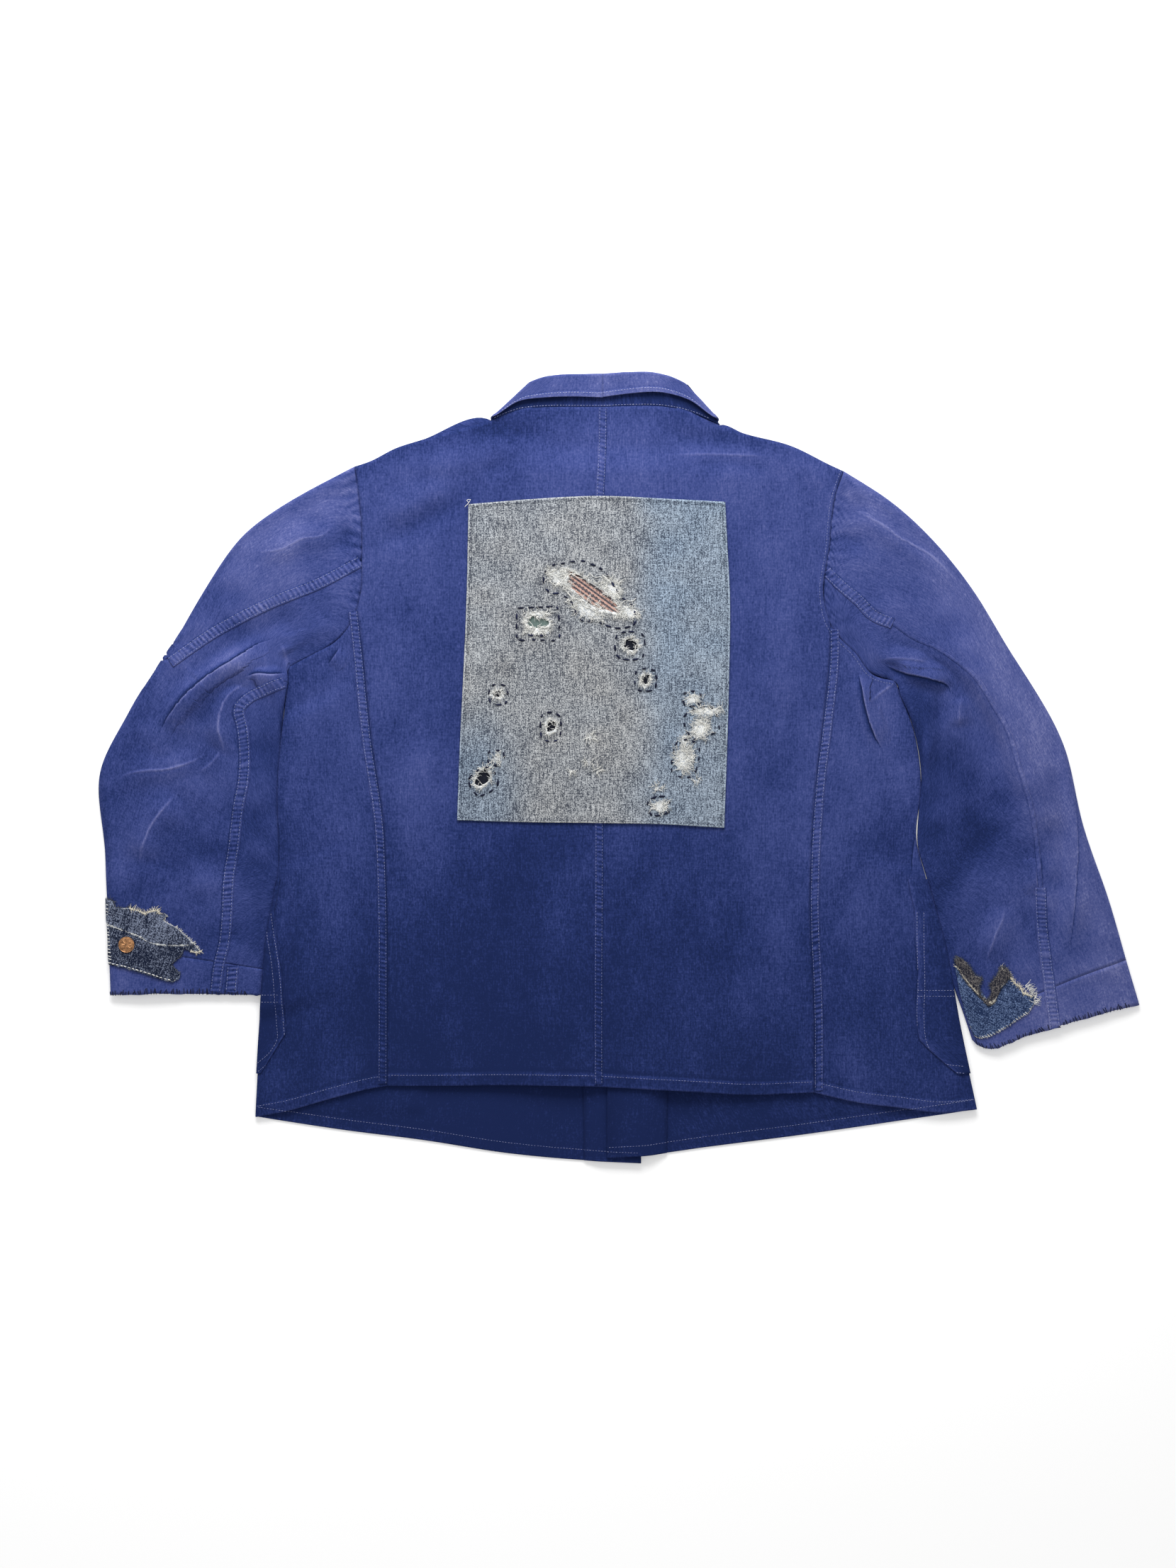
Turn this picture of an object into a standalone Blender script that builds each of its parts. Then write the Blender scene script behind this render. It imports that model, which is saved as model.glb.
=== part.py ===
"""A worn cotton work jacket mended with old denim, laid face down: one solid for each piece and each button.

Plan points are in millimetres from the back neck seam at the centre back: X towards the wearer's right, Y
towards the collar, and Z up from the table. Each wall is built inwards from the face named as its outer one.
"""

import math

import bpy
import numpy as np

MM = 0.001
CLOTH = 1.2  # wall of one layer of the work cloth
SCRAP = 1.0  # wall of the scraps set behind the patch
GAP = 0.3  # clearance between pieces that meet or lie on each other
LAYER = CLOTH + GAP
FOLD = 2.1  # outer radius of a fold pressed flat
TOP = 5.0  # height of the uppermost layer where only single layers lie under it
SLEEVE_HEIGHT = 2 * FOLD + 0.4  # what a flattened sleeve and its clearance lift
BUTTON_RADIUS, BUTTON_THICK, BUTTONS = 10.0, 2.4, 5
BUTTON_X, BUTTON_TOP, BUTTON_STEP = 25.5, -128.0, 132.0
TACK_RADIUS, TACK_THICK = 8.5, 3.0
CUFF_DEPTH = 49.0
TACK_AT = (-500.0, -568.5)
LAP_SPAN, LAP_RISE = (-22.0, 78.0), (-900.0, -72.0)  # X and Y between which the lap and buttons lift the back
LEFT_EDGE, RIGHT_EDGE = 43.5, 7.5  # free edges of the two fronts, which lap at the button line
POCKET_LOW, POCKET_HIGH, POCKET_WIDTH = -705.0, -500.0, 160.0

# The sewing lines of each half, in plan. Armholes run from the shoulder tip to the underarm.
LINES = {
    "left": {
        "centre": [(3, 0), (0, -94), (-1.5, -446), (-1.5, -718)],
        "neck": [(3, 0), (-52, 0), (-78, -1), (-98, -7), (-115, -14)],
        "shoulder": [(-115, -14), (-190, -35), (-215, -43), (-245, -58), (-260, -63)],
        "armhole_upper": [(-260, -63), (-253, -112), (-252, -166), (-253, -196), (-257, -213)],
        "armhole_lower": [(-257, -213), (-267, -234), (-281, -249), (-301, -260), (-331, -276)],
        "armhole_front": [(-260, -63), (-240, -115), (-236, -170), (-252, -225), (-288, -258), (-331, -276)],
        "side_seam": [(-257, -213), (-251, -260), (-241, -356), (-229, -440), (-226, -500), (-225, -718)],
        "fold": [(-331, -276), (-335, -329), (-341, -394), (-341, -500), (-351, -557), (-359, -649),
                 (-365, -751)],
        "hem_back": [(-1.5, -718), (-98, -717), (-178, -718), (-225, -718)],
        "hem_side": [(-225, -718), (-243, -721), (-283, -731), (-333, -745), (-365, -751)],
        "hem_front": [(-365, -751), (-273, -765), (-187, -776), (-96, -790), (-20, -797), (43.5, -800)],
        "neck_front": [(-115, -14), (-104, -22), (-85, -45), (-55, -72), (-15, -90), (22, -95), (43.5, -95)],
        "sleeve_outer": [(-262, -63), (-310, -88), (-376, -134), (-439, -229), (-502, -328), (-529, -385),
                         (-524, -472), (-521, -541), (-518, -622)],
        "sleeve_inner": [(-336, -277.5), (-338.5, -318), (-339, -346), (-335, -394), (-335, -500),
                         (-344, -557), (-352, -622)],
        "cuff_edge": [(-352, -622), (-400, -621), (-460, -620), (-518, -622)],
    },
    "right": {
        "centre": [(3, 0), (0, -94), (-1.5, -446), (-1.5, -718)],
        "neck": [(3, 0), (25, 1), (61, 1), (90, -3), (110, -12), (126, -19)],
        "shoulder": [(126, -19), (153, -28), (202, -41), (245, -62), (258, -68)],
        "armhole_upper": [(258, -68), (249, -94), (242, -153), (236, -198), (244, -232)],
        "armhole_lower": [(244, -232), (253, -244), (268, -258), (290, -284), (313, -290)],
        "armhole_front": [(258, -68), (236, -115), (230, -170), (240, -225), (270, -268), (313, -290)],
        "side_seam": [(244, -232), (243, -260), (236, -330), (228, -398), (222, -511), (226, -647),
                      (226, -725)],
        "fold": [(313, -290), (334, -349), (340, -401), (335, -456), (345, -498), (365, -571), (380, -654),
                 (399, -743)],
        "hem_back": [(-1.5, -718), (48, -721), (105, -724), (148, -727), (226, -725)],
        "hem_side": [(226, -725), (275, -736), (317, -741), (359, -746), (399, -743)],
        "hem_front": [(399, -743), (313, -756), (216, -770), (115, -783), (46, -792), (7.5, -794)],
        "neck_front": [(126, -19), (115, -28), (97, -50), (72, -75), (40, -92), (29, -95), (7.5, -95)],
        "sleeve_outer": [(259, -68), (298, -92), (380, -173), (429, -250), (493, -363), (511, -441),
                         (539, -523),
                         (559, -592), (571, -632)],
        "sleeve_inner": [(318, -291), (337, -349), (343, -401), (340, -456), (350, -498), (369, -571),
                         (377, -607),
                         (394, -670)],
        "cuff_edge": [(394, -670), (404, -677), (454, -664), (529, -642), (571, -632)],
    },
}

# Ridges that stand on the cloth: half width and height, then the points along the crest.
BODY_FOLDS = [
    {"width": 20, "height": 2.0, "crest": [(-214, -22), (-150, -36), (-64, -46)]},
    {"width": 22, "height": 2.2, "crest": [(-150, -84), (-190, -118), (-226, -150)]},
    {"width": 18, "height": 1.8, "crest": [(60, -45), (110, -50), (170, -62)]},
    {"width": 15, "height": 6.0, "crest": [(270, -300), (284, -335), (300, -372)]},
    {"width": 16, "height": 2.0, "crest": [(325, -430), (318, -473), (316, -501)]},
    {"width": 30, "height": 1.6, "crest": [(-300, -470), (-285, -600), (-300, -700)]},
    {"width": 30, "height": 1.4, "crest": [(170, -520), (180, -600), (172, -690)]},
]
SLEEVE_FOLDS = {
    "left": [
        {"width": 18, "height": 15.0, "crest": [(-352, -262), (-400, -290), (-440, -322), (-466, -362)]},
        {"width": 14, "height": 7.0, "crest": [(-345, -300), (-378, -302), (-402, -330), (-410, -372)]},
        {"width": 16, "height": 6.0, "crest": [(-300, -120), (-350, -160), (-392, -215)]},
        {"width": 20, "height": 7.0, "crest": [(-412, -376), (-452, -394), (-500, -400)]},
        {"width": 18, "height": 5.0, "crest": [(-445, -402), (-470, -440), (-490, -485)]},
        {"width": 22, "height": 3.5, "crest": [(-420, -450), (-432, -520), (-440, -585)]},
    ],
    "right": [
        {"width": 20, "height": 16.0,
         "crest": [(322, -246), (372, -276), (406, -312), (436, -380), (454, -440), (458, -500)]},
        {"width": 14, "height": 6.0, "crest": [(330, -318), (360, -330), (384, -360)]},
        {"width": 16, "height": 5.0, "crest": [(262, -100), (320, -135), (388, -196)]},
        {"width": 16, "height": 4.0, "crest": [(505, -420), (508, -500), (500, -600)]},
        {"width": 18, "height": 4.0, "crest": [(415, -490), (419, -540), (404, -600)]},
    ],
}

# Where the two seams of each sleeve run: the armhole point that each starts from, counted from the underarm over
# the upper face, then share of the length from armhole to cuff and share of the way round.
SLEEVE_SEAMS = {
    "left": {"back_point": 9,
             "back": [(0, 0.29), (0.15, 0.34), (0.3, 0.41), (0.45, 0.48), (0.6, 0.5), (1, 0.5)],
             "under_point": 3, "under": [(0, 0.2), (0.3, 0.12), (0.5, 0.1), (0.7, 0.11), (1, 0.13)]},
    "right": {"back_point": 9, "back": [(0, 0.29), (0.2, 0.28), (0.5, 0.26), (0.8, 0.25), (1, 0.24)],
              "under_point": -3, "under": [(0, -0.2), (0.4, -0.06), (0.6, -0.08), (1, -0.1)]},
}

# Collar stations from the centre back round to the front: roll line and free edge in plan, and the face each lies
# on (1 above, 0 round the side, -1 underneath). Its seam runs through the neck points of the back and the front.
COLLAR = {
    "left": [
        {"roll": (3, 34.5), "edge": (3, 9.5), "face": 1},
        {"roll": (-24, 34.5), "edge": (-28, 10.5), "face": 1},
        {"roll": (-46, 33), "edge": (-57, 9.5), "face": 1},
        {"roll": (-63, 30), "edge": (-86, 5.5), "face": 1},
        {"roll": (-76, 25), "edge": (-117, -10.5), "face": 1},
        {"roll": (-79, 27), "edge": (-120.5, -9), "face": 0},
        {"roll": (-76, 25), "edge": (-118, -11.5), "face": -1},
        {"roll": (-50, -24), "edge": (-104, -84), "face": -1},
        {"roll": (-12, -56), "edge": (-70, -130), "face": -1},
        {"roll": (4, -61), "edge": (-38, -148), "face": -1},
    ],
    "right": [
        {"roll": (3, 34.5), "edge": (3, 10), "face": 1},
        {"roll": (31, 36.5), "edge": (34, 14), "face": 1},
        {"roll": (58, 36), "edge": (64, 15), "face": 1},
        {"roll": (80, 29), "edge": (94, 7), "face": 1},
        {"roll": (94, 19), "edge": (127.5, -14.5), "face": 1},
        {"roll": (97, 21), "edge": (131, -13), "face": 0},
        {"roll": (94, 19), "edge": (128.5, -16), "face": -1},
        {"roll": (86, -10), "edge": (130, -76), "face": -1},
        {"roll": (56, -52), "edge": (98, -136), "face": -1},
        {"roll": (48, -60), "edge": (84, -148), "face": -1},
    ],
}

# The back patch: its four edges in plan.
PATCH_EDGES = {
    "bottom": [(-151, -437), (-80, -439), (-4, -440), (60, -441), (131, -445)],
    "top": [(-139, -103), (-70, -98), (0, -95), (70, -98), (132, -101)],
    "left": [(-151, -437), (-148, -354), (-145, -294), (-141, -198), (-139, -103)],
    "right": [(131, -445), (136, -294), (137, -198), (134, -140), (132, -101)],
}
# Holes worn through the patch: the scrap behind it, centre, half length, half width and slant in degrees.
HOLES = [
    {"scrap": "scrap_striped", "at": (-10, -197), "long": 39, "wide": 14, "slant": -27},
    {"scrap": "scrap_grey", "at": (-66, -228), "long": 13, "wide": 6, "slant": -8},
    {"scrap": "scrap_dark_1", "at": (32, -252), "long": 8, "wide": 7, "slant": -27},
    {"scrap": "scrap_dark_2", "at": (48, -289), "long": 6, "wide": 5, "slant": 60},
    {"scrap": "scrap_dark_3", "at": (-108, -304), "long": 5, "wide": 4, "slant": 0},
    {"scrap": "scrap_dark_4", "at": (-52, -338), "long": 7, "wide": 5, "slant": 70},
    {"scrap": "scrap_dark_5", "at": (-124, -392), "long": 11, "wide": 7, "slant": 55},
]
SCRAP_MARGIN = 3.0
TORN = 0.15  # how far the torn rims stray, as a share of the hole

# Torn scraps round the cuffs: millimetres round the sleeve from its outer fold (towards the body when positive
# on the upper face), and the heights of the scrap's lower and upper edge above the cuff's edge.
CUFF_SCRAPS = {
    "cuff_patch_left": {"side": "left", "lift": 0, "rows": [
        (-26, 36, 88), (-8, 34, 98), (6, 33, 100), (16, 31, 92), (40, 22, 90), (60, 17, 88), (72, 14, 80),
        (82, 36, 72), (104, 46, 52)]},
    "cuff_patch_right": {"side": "right", "lift": 0, "rows": [
        (78, 30, 52), (100, 20, 62), (122, 12, 72), (144, 8, 78), (162, 6, 84), (176, 4, 88)]},
    "cuff_patch_right_top": {"side": "right", "lift": 1, "rows": [
        (86, 38, 54), (108, 46, 68), (128, 54, 76), (150, 56, 84), (168, 60, 96)]},
}


def soft_line(points, fractions):
    """Positions at the given shares of the length of a soft curve through the points."""
    knots = np.array(points, float)
    reach = np.concatenate([[0], np.cumsum(np.linalg.norm(np.diff(knots, axis=0), axis=1))])
    slopes = np.gradient(knots, reach, axis=0)
    dense = np.linspace(0, reach[-1], 400)
    span = np.clip(np.searchsorted(reach, dense, side="right") - 1, 0, len(knots) - 2)
    width = (reach[span + 1] - reach[span])[:, None]
    t = (dense - reach[span])[:, None] / width
    curve = (
        (2 * t**3 - 3 * t**2 + 1) * knots[span]
        + (t**3 - 2 * t**2 + t) * width * slopes[span]
        + (3 * t**2 - 2 * t**3) * knots[span + 1]
        + (t**3 - t**2) * width * slopes[span + 1]
    )
    length = np.concatenate([[0], np.cumsum(np.linalg.norm(np.diff(curve, axis=0), axis=1))])
    places = np.asarray(fractions) * length[-1]
    return np.stack([np.interp(places, length, curve[:, axis]) for axis in range(curve.shape[1])], axis=1)


def joined(*lines):
    """One list of points from lines that follow on, each shared end kept once."""
    points = list(lines[0])
    for line in lines[1:]:
        points += list(line)[1:]
    return points


def shares_of(points):
    """Share of the whole length at which each point of a line lies."""
    reach = np.concatenate([[0], np.cumsum(np.linalg.norm(np.diff(points, axis=0), axis=1))])
    return reach / reach[-1]


def filled(bottom, top, left, right):
    """Plan points between four edges (a Coons patch): a row for each point of left and right."""
    low, high = shares_of(bottom)[None, :, None], shares_of(top)[None, :, None]
    along = (shares_of(left) + shares_of(right))[:, None, None] / 2
    across = (1 - along) * low + along * high
    return (
        (1 - across) * left[:, None] + across * right[:, None]
        + (1 - along) * (bottom - (1 - low) * bottom[0] - low * bottom[-1])
        + along * (top - (1 - high) * top[0] - high * top[-1])
    )


def ease(t):
    t = np.clip(t, 0, 1)
    return t * t * (3 - 2 * t)


def plateau(value, low, high, soft):
    """1 between low and high, falling to 0 over the distance soft on either side."""
    return ease((value - low) / soft + 1) * ease((high - value) / soft + 1)


def ridges(x, y, folds):
    """How far the folds raise the cloth at each plan point."""
    raised = np.zeros(np.shape(x))
    share = np.linspace(0, 1, 40)
    for fold in folds:
        crest = soft_line(fold["crest"], share)
        away = np.hypot(np.asarray(x)[..., None] - crest[:, 0], np.asarray(y)[..., None] - crest[:, 1])
        nearest = share[away.argmin(axis=-1)]
        ends = np.maximum(ease(nearest * 3) * ease((1 - nearest) * 3), 0.25)
        lift = np.exp(-((away.min(axis=-1) / fold["width"]) ** 2))
        raised = np.maximum(raised, fold["height"] * ends * lift)
    return raised


def front_low(x, y, side):
    """Height of a front's outer face over the table and whatever of the jacket lies under it."""
    fold = np.interp(y, *np.array(sorted((py, px) for px, py in LINES[side]["fold"])).T)
    inside = np.abs(fold - x)
    pocket = plateau(inside, 0, POCKET_WIDTH + 6, 20) * plateau(y, POCKET_LOW - 34, POCKET_HIGH + 4, 14)
    pocket = LAYER * pocket
    collar = LAYER * plateau(y, -160, 50, 30)
    if side == "left":
        sleeve = SLEEVE_HEIGHT * plateau(inside, -20, 24, 24) * plateau(y, -632, -340, 20)
        lap = (BUTTON_THICK + GAP) * plateau(x, BUTTON_X - 22, 100, 22)
    else:
        sleeve = 0
        lap = (BUTTON_THICK + GAP + 2 * LAYER) * plateau(x, -100, LEFT_EDGE + 3, 26)
    return np.maximum(np.maximum(pocket + sleeve, collar), lap)


def back_top(x, y):
    """Height of the outer face of the uppermost layer of the body."""
    crown = (BUTTON_THICK + 2 * LAYER) * plateau(x, *LAP_SPAN, 120) * plateau(y, *LAP_RISE, 34)
    return TOP + crown + ridges(x, y, BODY_FOLDS)


def trimmed(grid, edges, by=GAP / 2):
    """The grid drawn in at the named edges, so that a neighbour's edge stays clear."""
    grid = grid.copy()
    for edge in edges:
        view = {"first_row": grid, "last_row": grid[::-1], "first_column": grid.swapaxes(0, 1),
                "last_column": grid[:, ::-1].swapaxes(0, 1)}[edge]
        step = view[1] - view[0]
        view[0] += by * step / np.maximum(np.linalg.norm(step, axis=-1, keepdims=True), GAP)
    return grid


def normals(grid, keep=None, ring=False):
    """Unit normals at the points, from the cells that are kept."""
    rows, columns = grid.shape[:2]
    found = np.zeros_like(grid)
    for i in range(rows - 1):
        for j in range(columns if ring else columns - 1):
            if keep is None or keep[i][j]:
                corners = [(i, j), (i, (j + 1) % columns), (i + 1, (j + 1) % columns), (i + 1, j)]
                a, b, c, d = (grid[corner] for corner in corners)
                facing = np.cross(c - a, d - b)
                for corner in corners:
                    found[corner] += facing / np.linalg.norm(facing)
    size = np.linalg.norm(found, axis=-1, keepdims=True)
    return found / np.where(size > 0, size, 1)


def material(name, colour, roughness, metallic=0.0):
    made = bpy.data.materials.new(name)
    made.use_nodes = True
    shader = made.node_tree.nodes["Principled BSDF"]
    shader.inputs["Base Color"].default_value = (*colour, 1)
    shader.inputs["Roughness"].default_value = roughness
    shader.inputs["Metallic"].default_value = metallic
    return made


def add_object(name, points, faces, finish, smooth=False):
    """A mesh object from points in millimetres."""
    mesh = bpy.data.meshes.new(name)
    mesh.from_pydata((np.asarray(points) * MM).tolist(), [], faces)
    mesh.validate()
    if smooth:
        mesh.shade_smooth()
        mesh.set_sharp_from_angle(angle=math.radians(35))
    made = bpy.data.objects.new(name, mesh)
    made.data.materials.append(finish)
    bpy.context.scene.collection.objects.link(made)
    return made


def wall(name, outer, away, finish, thick=CLOTH, keep=None, ring=False, crossed=()):
    """A closed wall between the grid of its outer face and the same grid moved in, against away.

    Cells in the crossed columns are cut along their other diagonal.
    """
    rows, columns = outer.shape[:2]
    sheets = (outer, outer - away * thick)
    points, index, faces, edges = [], {}, [], set()
    facing = normals(outer, keep, ring)
    turned_over = (facing * away).sum() < 0

    def vertex(layer, corner):
        if (layer, corner) not in index:
            index[layer, corner] = len(points)
            points.append(sheets[layer][corner])
        return index[layer, corner]

    for i in range(rows - 1):
        for j in range(columns if ring else columns - 1):
            if keep is None or keep[i][j]:
                corners = [(i, j), (i, (j + 1) % columns), (i + 1, (j + 1) % columns), (i + 1, j)]
                if j in crossed:
                    corners = corners[1:] + corners[:1]
                a, b, c, d = corners
                if turned_over:
                    b, d = d, b
                for triangle in ((a, b, c), (a, c, d)):
                    faces.append([vertex(0, corner) for corner in triangle])
                    faces.append([vertex(1, corner) for corner in reversed(triangle)])
                edges.update([(a, b), (b, c), (c, d), (d, a)])
    for a, b in sorted(edges):
        if (b, a) not in edges:
            rim = [vertex(0, b), vertex(0, a), vertex(1, a), vertex(1, b)]
            if a < b:
                rim = rim[1:] + rim[:1]
            faces += [rim[:3], [rim[0], rim[2], rim[3]]]
    return add_object(name, points, faces, finish)


def turned(name, profile, at, finish, sides=20):
    """A turned solid from (radius, height) rows that start and end on its axis."""
    points = [(at[0], at[1], at[2] + profile[0][1])]
    for radius, height in profile[1:-1]:
        for k in range(sides):
            turn = 2 * math.pi * k / sides
            points.append((at[0] + radius * math.cos(turn), at[1] + radius * math.sin(turn), at[2] + height))
    points.append((at[0], at[1], at[2] + profile[-1][1]))
    rings = len(profile) - 2
    faces = []
    for k in range(sides):
        after = (k + 1) % sides
        faces.append([0, 1 + after, 1 + k])
        for ring in range(rings - 1):
            low, high = 1 + ring * sides, 1 + (ring + 1) * sides
            faces.append([low + k, low + after, high + after, high + k])
        last = 1 + (rings - 1) * sides
        faces.append([last + k, last + after, len(points) - 1])
    return add_object(name, points, faces, finish, smooth=True)


def with_height(plan, heights):
    return np.concatenate([plan, np.asarray(heights)[..., None]], axis=-1)


# Y of the rows between the hem and the underarm, where they cross the side fold.
FOLD_ROWS = [-728, -705, -668, -634, -602, -568, -534, -500, -460, -418, -376, -332]
ARMHOLE_ROWS = 6  # rows of the back and of a front beside the armhole
NECK_COLUMNS, SHOULDER_COLUMNS = 4, 5
EDGE_HEIGHT = 2 * LAYER + CLOTH  # the back's outer face where it meets the front at neck and shoulder


def fold_shares(side):
    """Where the rows between the hem and the underarm cross the side fold, as shares of its length."""
    line = soft_line(LINES[side]["fold"][::-1], np.linspace(0, 1, 200))
    return np.interp([line[0, 1], *FOLD_ROWS, line[-1, 1]], line[:, 1], np.linspace(0, 1, 200))


def make_back(side, finish):
    """Half of the back, from the centre seam to the side seam and armhole, and its outer face as a grid."""
    line = LINES[side]
    edge = np.concatenate([
        soft_line(line["side_seam"][::-1], fold_shares(side)),
        soft_line(line["armhole_upper"][::-1], np.linspace(0, 1, ARMHOLE_ROWS + 1))[1:],
    ])
    top = np.concatenate([
        soft_line(line["neck"], np.linspace(0, 1, NECK_COLUMNS + 1)),
        soft_line(line["shoulder"], np.linspace(0, 1, SHOULDER_COLUMNS + 1))[1:],
    ])
    hem = soft_line(line["hem_back"], np.linspace(0, 1, len(top)))
    plan = filled(hem, top, soft_line(line["centre"][::-1], shares_of(edge)), edge)
    heights = back_top(plan[..., 0], plan[..., 1])
    # The edge turns down to the front along the shoulder, and less and less along the neck.
    down = ease((np.arange(len(top)) - NECK_COLUMNS + 2) / 2)
    for row, share in ((-1, 1.0), (-2, 0.3)):
        heights[row] -= share * down * (heights[row] - EDGE_HEIGHT)
    grid = with_height(plan, heights)
    away = normals(grid)
    away *= np.sign(away[..., 2:])
    wall("back_" + side, trimmed(grid, ["first_column", "last_column", "last_row"]), away, finish)
    return grid, away


def fold_points(fold, low, inward):
    """The outer face round a pressed fold, from the tangent on top to the tangent below."""
    turns = np.radians([0, 45, 90, 135, 180])
    x = fold[:, None, 0] + inward * FOLD * (1 - np.sin(turns))
    z = low[:, None] + FOLD + FOLD * np.cos(turns)
    return np.stack([x, np.broadcast_to(fold[:, None, 1], x.shape), z], axis=-1)


# Columns between the side seam and the fold, as shares of the way.
SIDE_SHARES = {"left": [0, 0.26, 0.52, 0.76], "right": [0, 0.22, 0.44, 0.66]}
# Hem and top X of the columns between the fold and the free edge.
FRONT_COLUMNS = {
    "left": [(-342, -247), (-300, -225), (-250, -200), (-200, -170), (-140, -115), (-70, -70), (-16.5, -16.5),
             (8, 8)],
    "right": [(372, 246), (320, 225), (272, 200), (236, 170), (180, 126), (120, 98), (70.5, 70.5),
              (47.5, 47.5)],
}
NECK_POINTS = [-5, -4, -3, -2]  # columns of a front that the collar joins
FACING_COLUMNS = 3  # columns at the free edge that the facing backs


def front_grid(side):
    """Outer face of a front, over the side, round the fold and under; also which cells are cloth."""
    line, inward = LINES[side], 1 if side == "left" else -1
    shares = fold_shares(side)
    fold = soft_line(line["fold"][::-1], shares)
    rim = fold_points(fold, front_low(fold[:, 0], fold[:, 1], side), inward)
    rows = len(shares)
    # Over the side: from the side seam to the fold.
    across = np.append(SIDE_SHARES[side], 1)
    seam = soft_line(line["side_seam"][::-1], shares)
    hem, armhole = soft_line(line["hem_side"], across), soft_line(line["armhole_lower"], across)
    tangent = rim[:, 0, :2]
    hem[-1], armhole[-1] = tangent[0], tangent[-1]
    plan = filled(hem, armhole, seam, tangent)
    share = ease(across)[None, :]
    seam_height = back_top(seam[:, 0], seam[:, 1])[:, None]
    folds = ridges(plan[..., 0], plan[..., 1], BODY_FOLDS)
    folds = folds - ridges(seam[:, 0], seam[:, 1], BODY_FOLDS)[:, None]
    heights = (1 - share) * (seam_height + folds) + share * rim[:, :1, 2]
    side_part = with_height(plan, heights)[:, :-1]
    # Under the body: from the fold to the free edge, and on up to the shoulder.
    tip = soft_line(line["armhole_front"][::-1], np.linspace(0, 1, ARMHOLE_ROWS + 1))[1:]
    outer_edge = np.concatenate([rim[:, -1, :2], tip])
    free = LEFT_EDGE if side == "left" else RIGHT_EDGE
    hem_line = soft_line(line["hem_front"], np.linspace(0, 1, 300))
    top_line = soft_line(joined(line["shoulder"][::-1], line["neck_front"]), np.linspace(0, 1, 300))
    below, above = zip(*FRONT_COLUMNS[side])

    def at_x(curve, places):
        order = np.argsort(curve[:, 0])
        return np.stack([places, np.interp(places, curve[order, 0], curve[order, 1])], axis=1)

    bottom = np.concatenate([outer_edge[:1], at_x(hem_line, [*below, free])])
    upper = np.concatenate([outer_edge[-1:], at_x(top_line, [*above, free])])
    inner_edge = bottom[-1] + shares_of(outer_edge)[:, None] * (upper[-1] - bottom[-1])
    under = filled(bottom, upper, outer_edge, inner_edge)
    heights = front_low(under[..., 0], under[..., 1], side)
    heights[:rows, 0] = rim[:, -1, 2]
    under = with_height(under, heights)
    ahead = len(across) - 1 + 4
    grid = np.zeros((len(outer_edge), ahead + under.shape[1], 3))
    grid[:rows, : len(across) - 1] = side_part
    grid[:rows, len(across) - 1 : ahead] = rim[:, :4]
    grid[:, ahead:] = under
    grid[rows:, :ahead] = grid[rows - 1, :ahead]
    keep = [[i < rows - 1 or j >= ahead for j in range(grid.shape[1] - 1)]
            for i in range(len(outer_edge) - 1)]
    return grid, keep, len(across) - 1


def make_front(side, finish):
    """A front with its pocket and facing, which are made from its own points, moved out."""
    grid, keep, fold_column = front_grid(side)
    away = normals(grid, keep)
    away *= -np.sign(away[0, -1, 2])
    wall("front_" + side, trimmed(grid, ["first_column", "last_row"]), away, finish["cloth"], keep=keep)
    make_pocket(side, grid, away, fold_column, finish["pocket"])
    edge, inwards = grid[:, -FACING_COLUMNS:], -away[:, -FACING_COLUMNS:]
    facing = trimmed(edge + inwards * (LAYER + CLOTH), ["last_column"], LAYER)
    wall("facing_" + side, facing, inwards, finish["cloth"])
    return grid, away, fold_column


POCKET_EDGE = {  # how far the pocket's back edge lies from the fold, from its lowest row to its mouth
    "left": [4, 29, 24, 20, 12, 3.5, 3.5],
    "right": [12, 46, 43, 35, 31, 22.5, 20],
}


def make_pocket(side, grid, away, fold_column, finish):
    """A patch pocket that wraps round the side fold, from its short back edge to its far edge underneath."""
    low, high = 2, 2 + len(POCKET_EDGE[side])
    last = fold_column + 8
    part, away = grid[low:high], away[low:high]
    start, before = part[:, fold_column], part[:, fold_column - 1]
    step = (before - start) / np.linalg.norm(before - start, axis=1, keepdims=True)
    first = start + step * (np.array(POCKET_EDGE[side], float)[:, None] - FOLD)
    part = np.concatenate([first[:, None], part[:, fold_column : last + 1]], axis=1)
    away = np.concatenate([away[:, fold_column : fold_column + 1], away[:, fold_column : last + 1]], axis=1)
    wall("pocket_" + side, part + away * LAYER, away, finish)


def sleeve_loops(inner, outer, cuff, along):
    """The outer face of a tube pressed flat between two folds: a loop for each share of the way down.

    Each loop starts on the inner fold, crosses the upper face to the outer fold and comes back underneath.
    """
    turns = np.radians(np.linspace(0, 90, 6))
    loops = []
    for start, end, share in zip(inner, outer, along):
        width = np.linalg.norm(end - start)
        near = FOLD * (1 - np.cos(turns)) / width
        places = np.concatenate([near, np.linspace(near[-1], 1 - near[-1], 60)[1:-1], 1 - near[::-1]])
        from_edge = np.minimum(places, 1 - places) * width
        rise = np.sqrt(FOLD**2 - np.clip(FOLD - from_edge, 0, FOLD) ** 2)
        plan = start + places[:, None] * (end - start) + share * bulge(cuff, places)
        loops.append(np.concatenate([with_height(plan, FOLD + rise), with_height(plan, FOLD - rise)[-2::-1]]))
    return loops


def bulge(curve, places):
    """How far a curve lies from its chord, at the given shares of its length."""
    shares = shares_of(curve)
    off = curve - (1 - shares[:, None]) * curve[0] - shares[:, None] * curve[-1]
    return np.stack([np.interp(places, shares, off[:, axis]) for axis in (0, 1)], axis=1)


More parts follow.
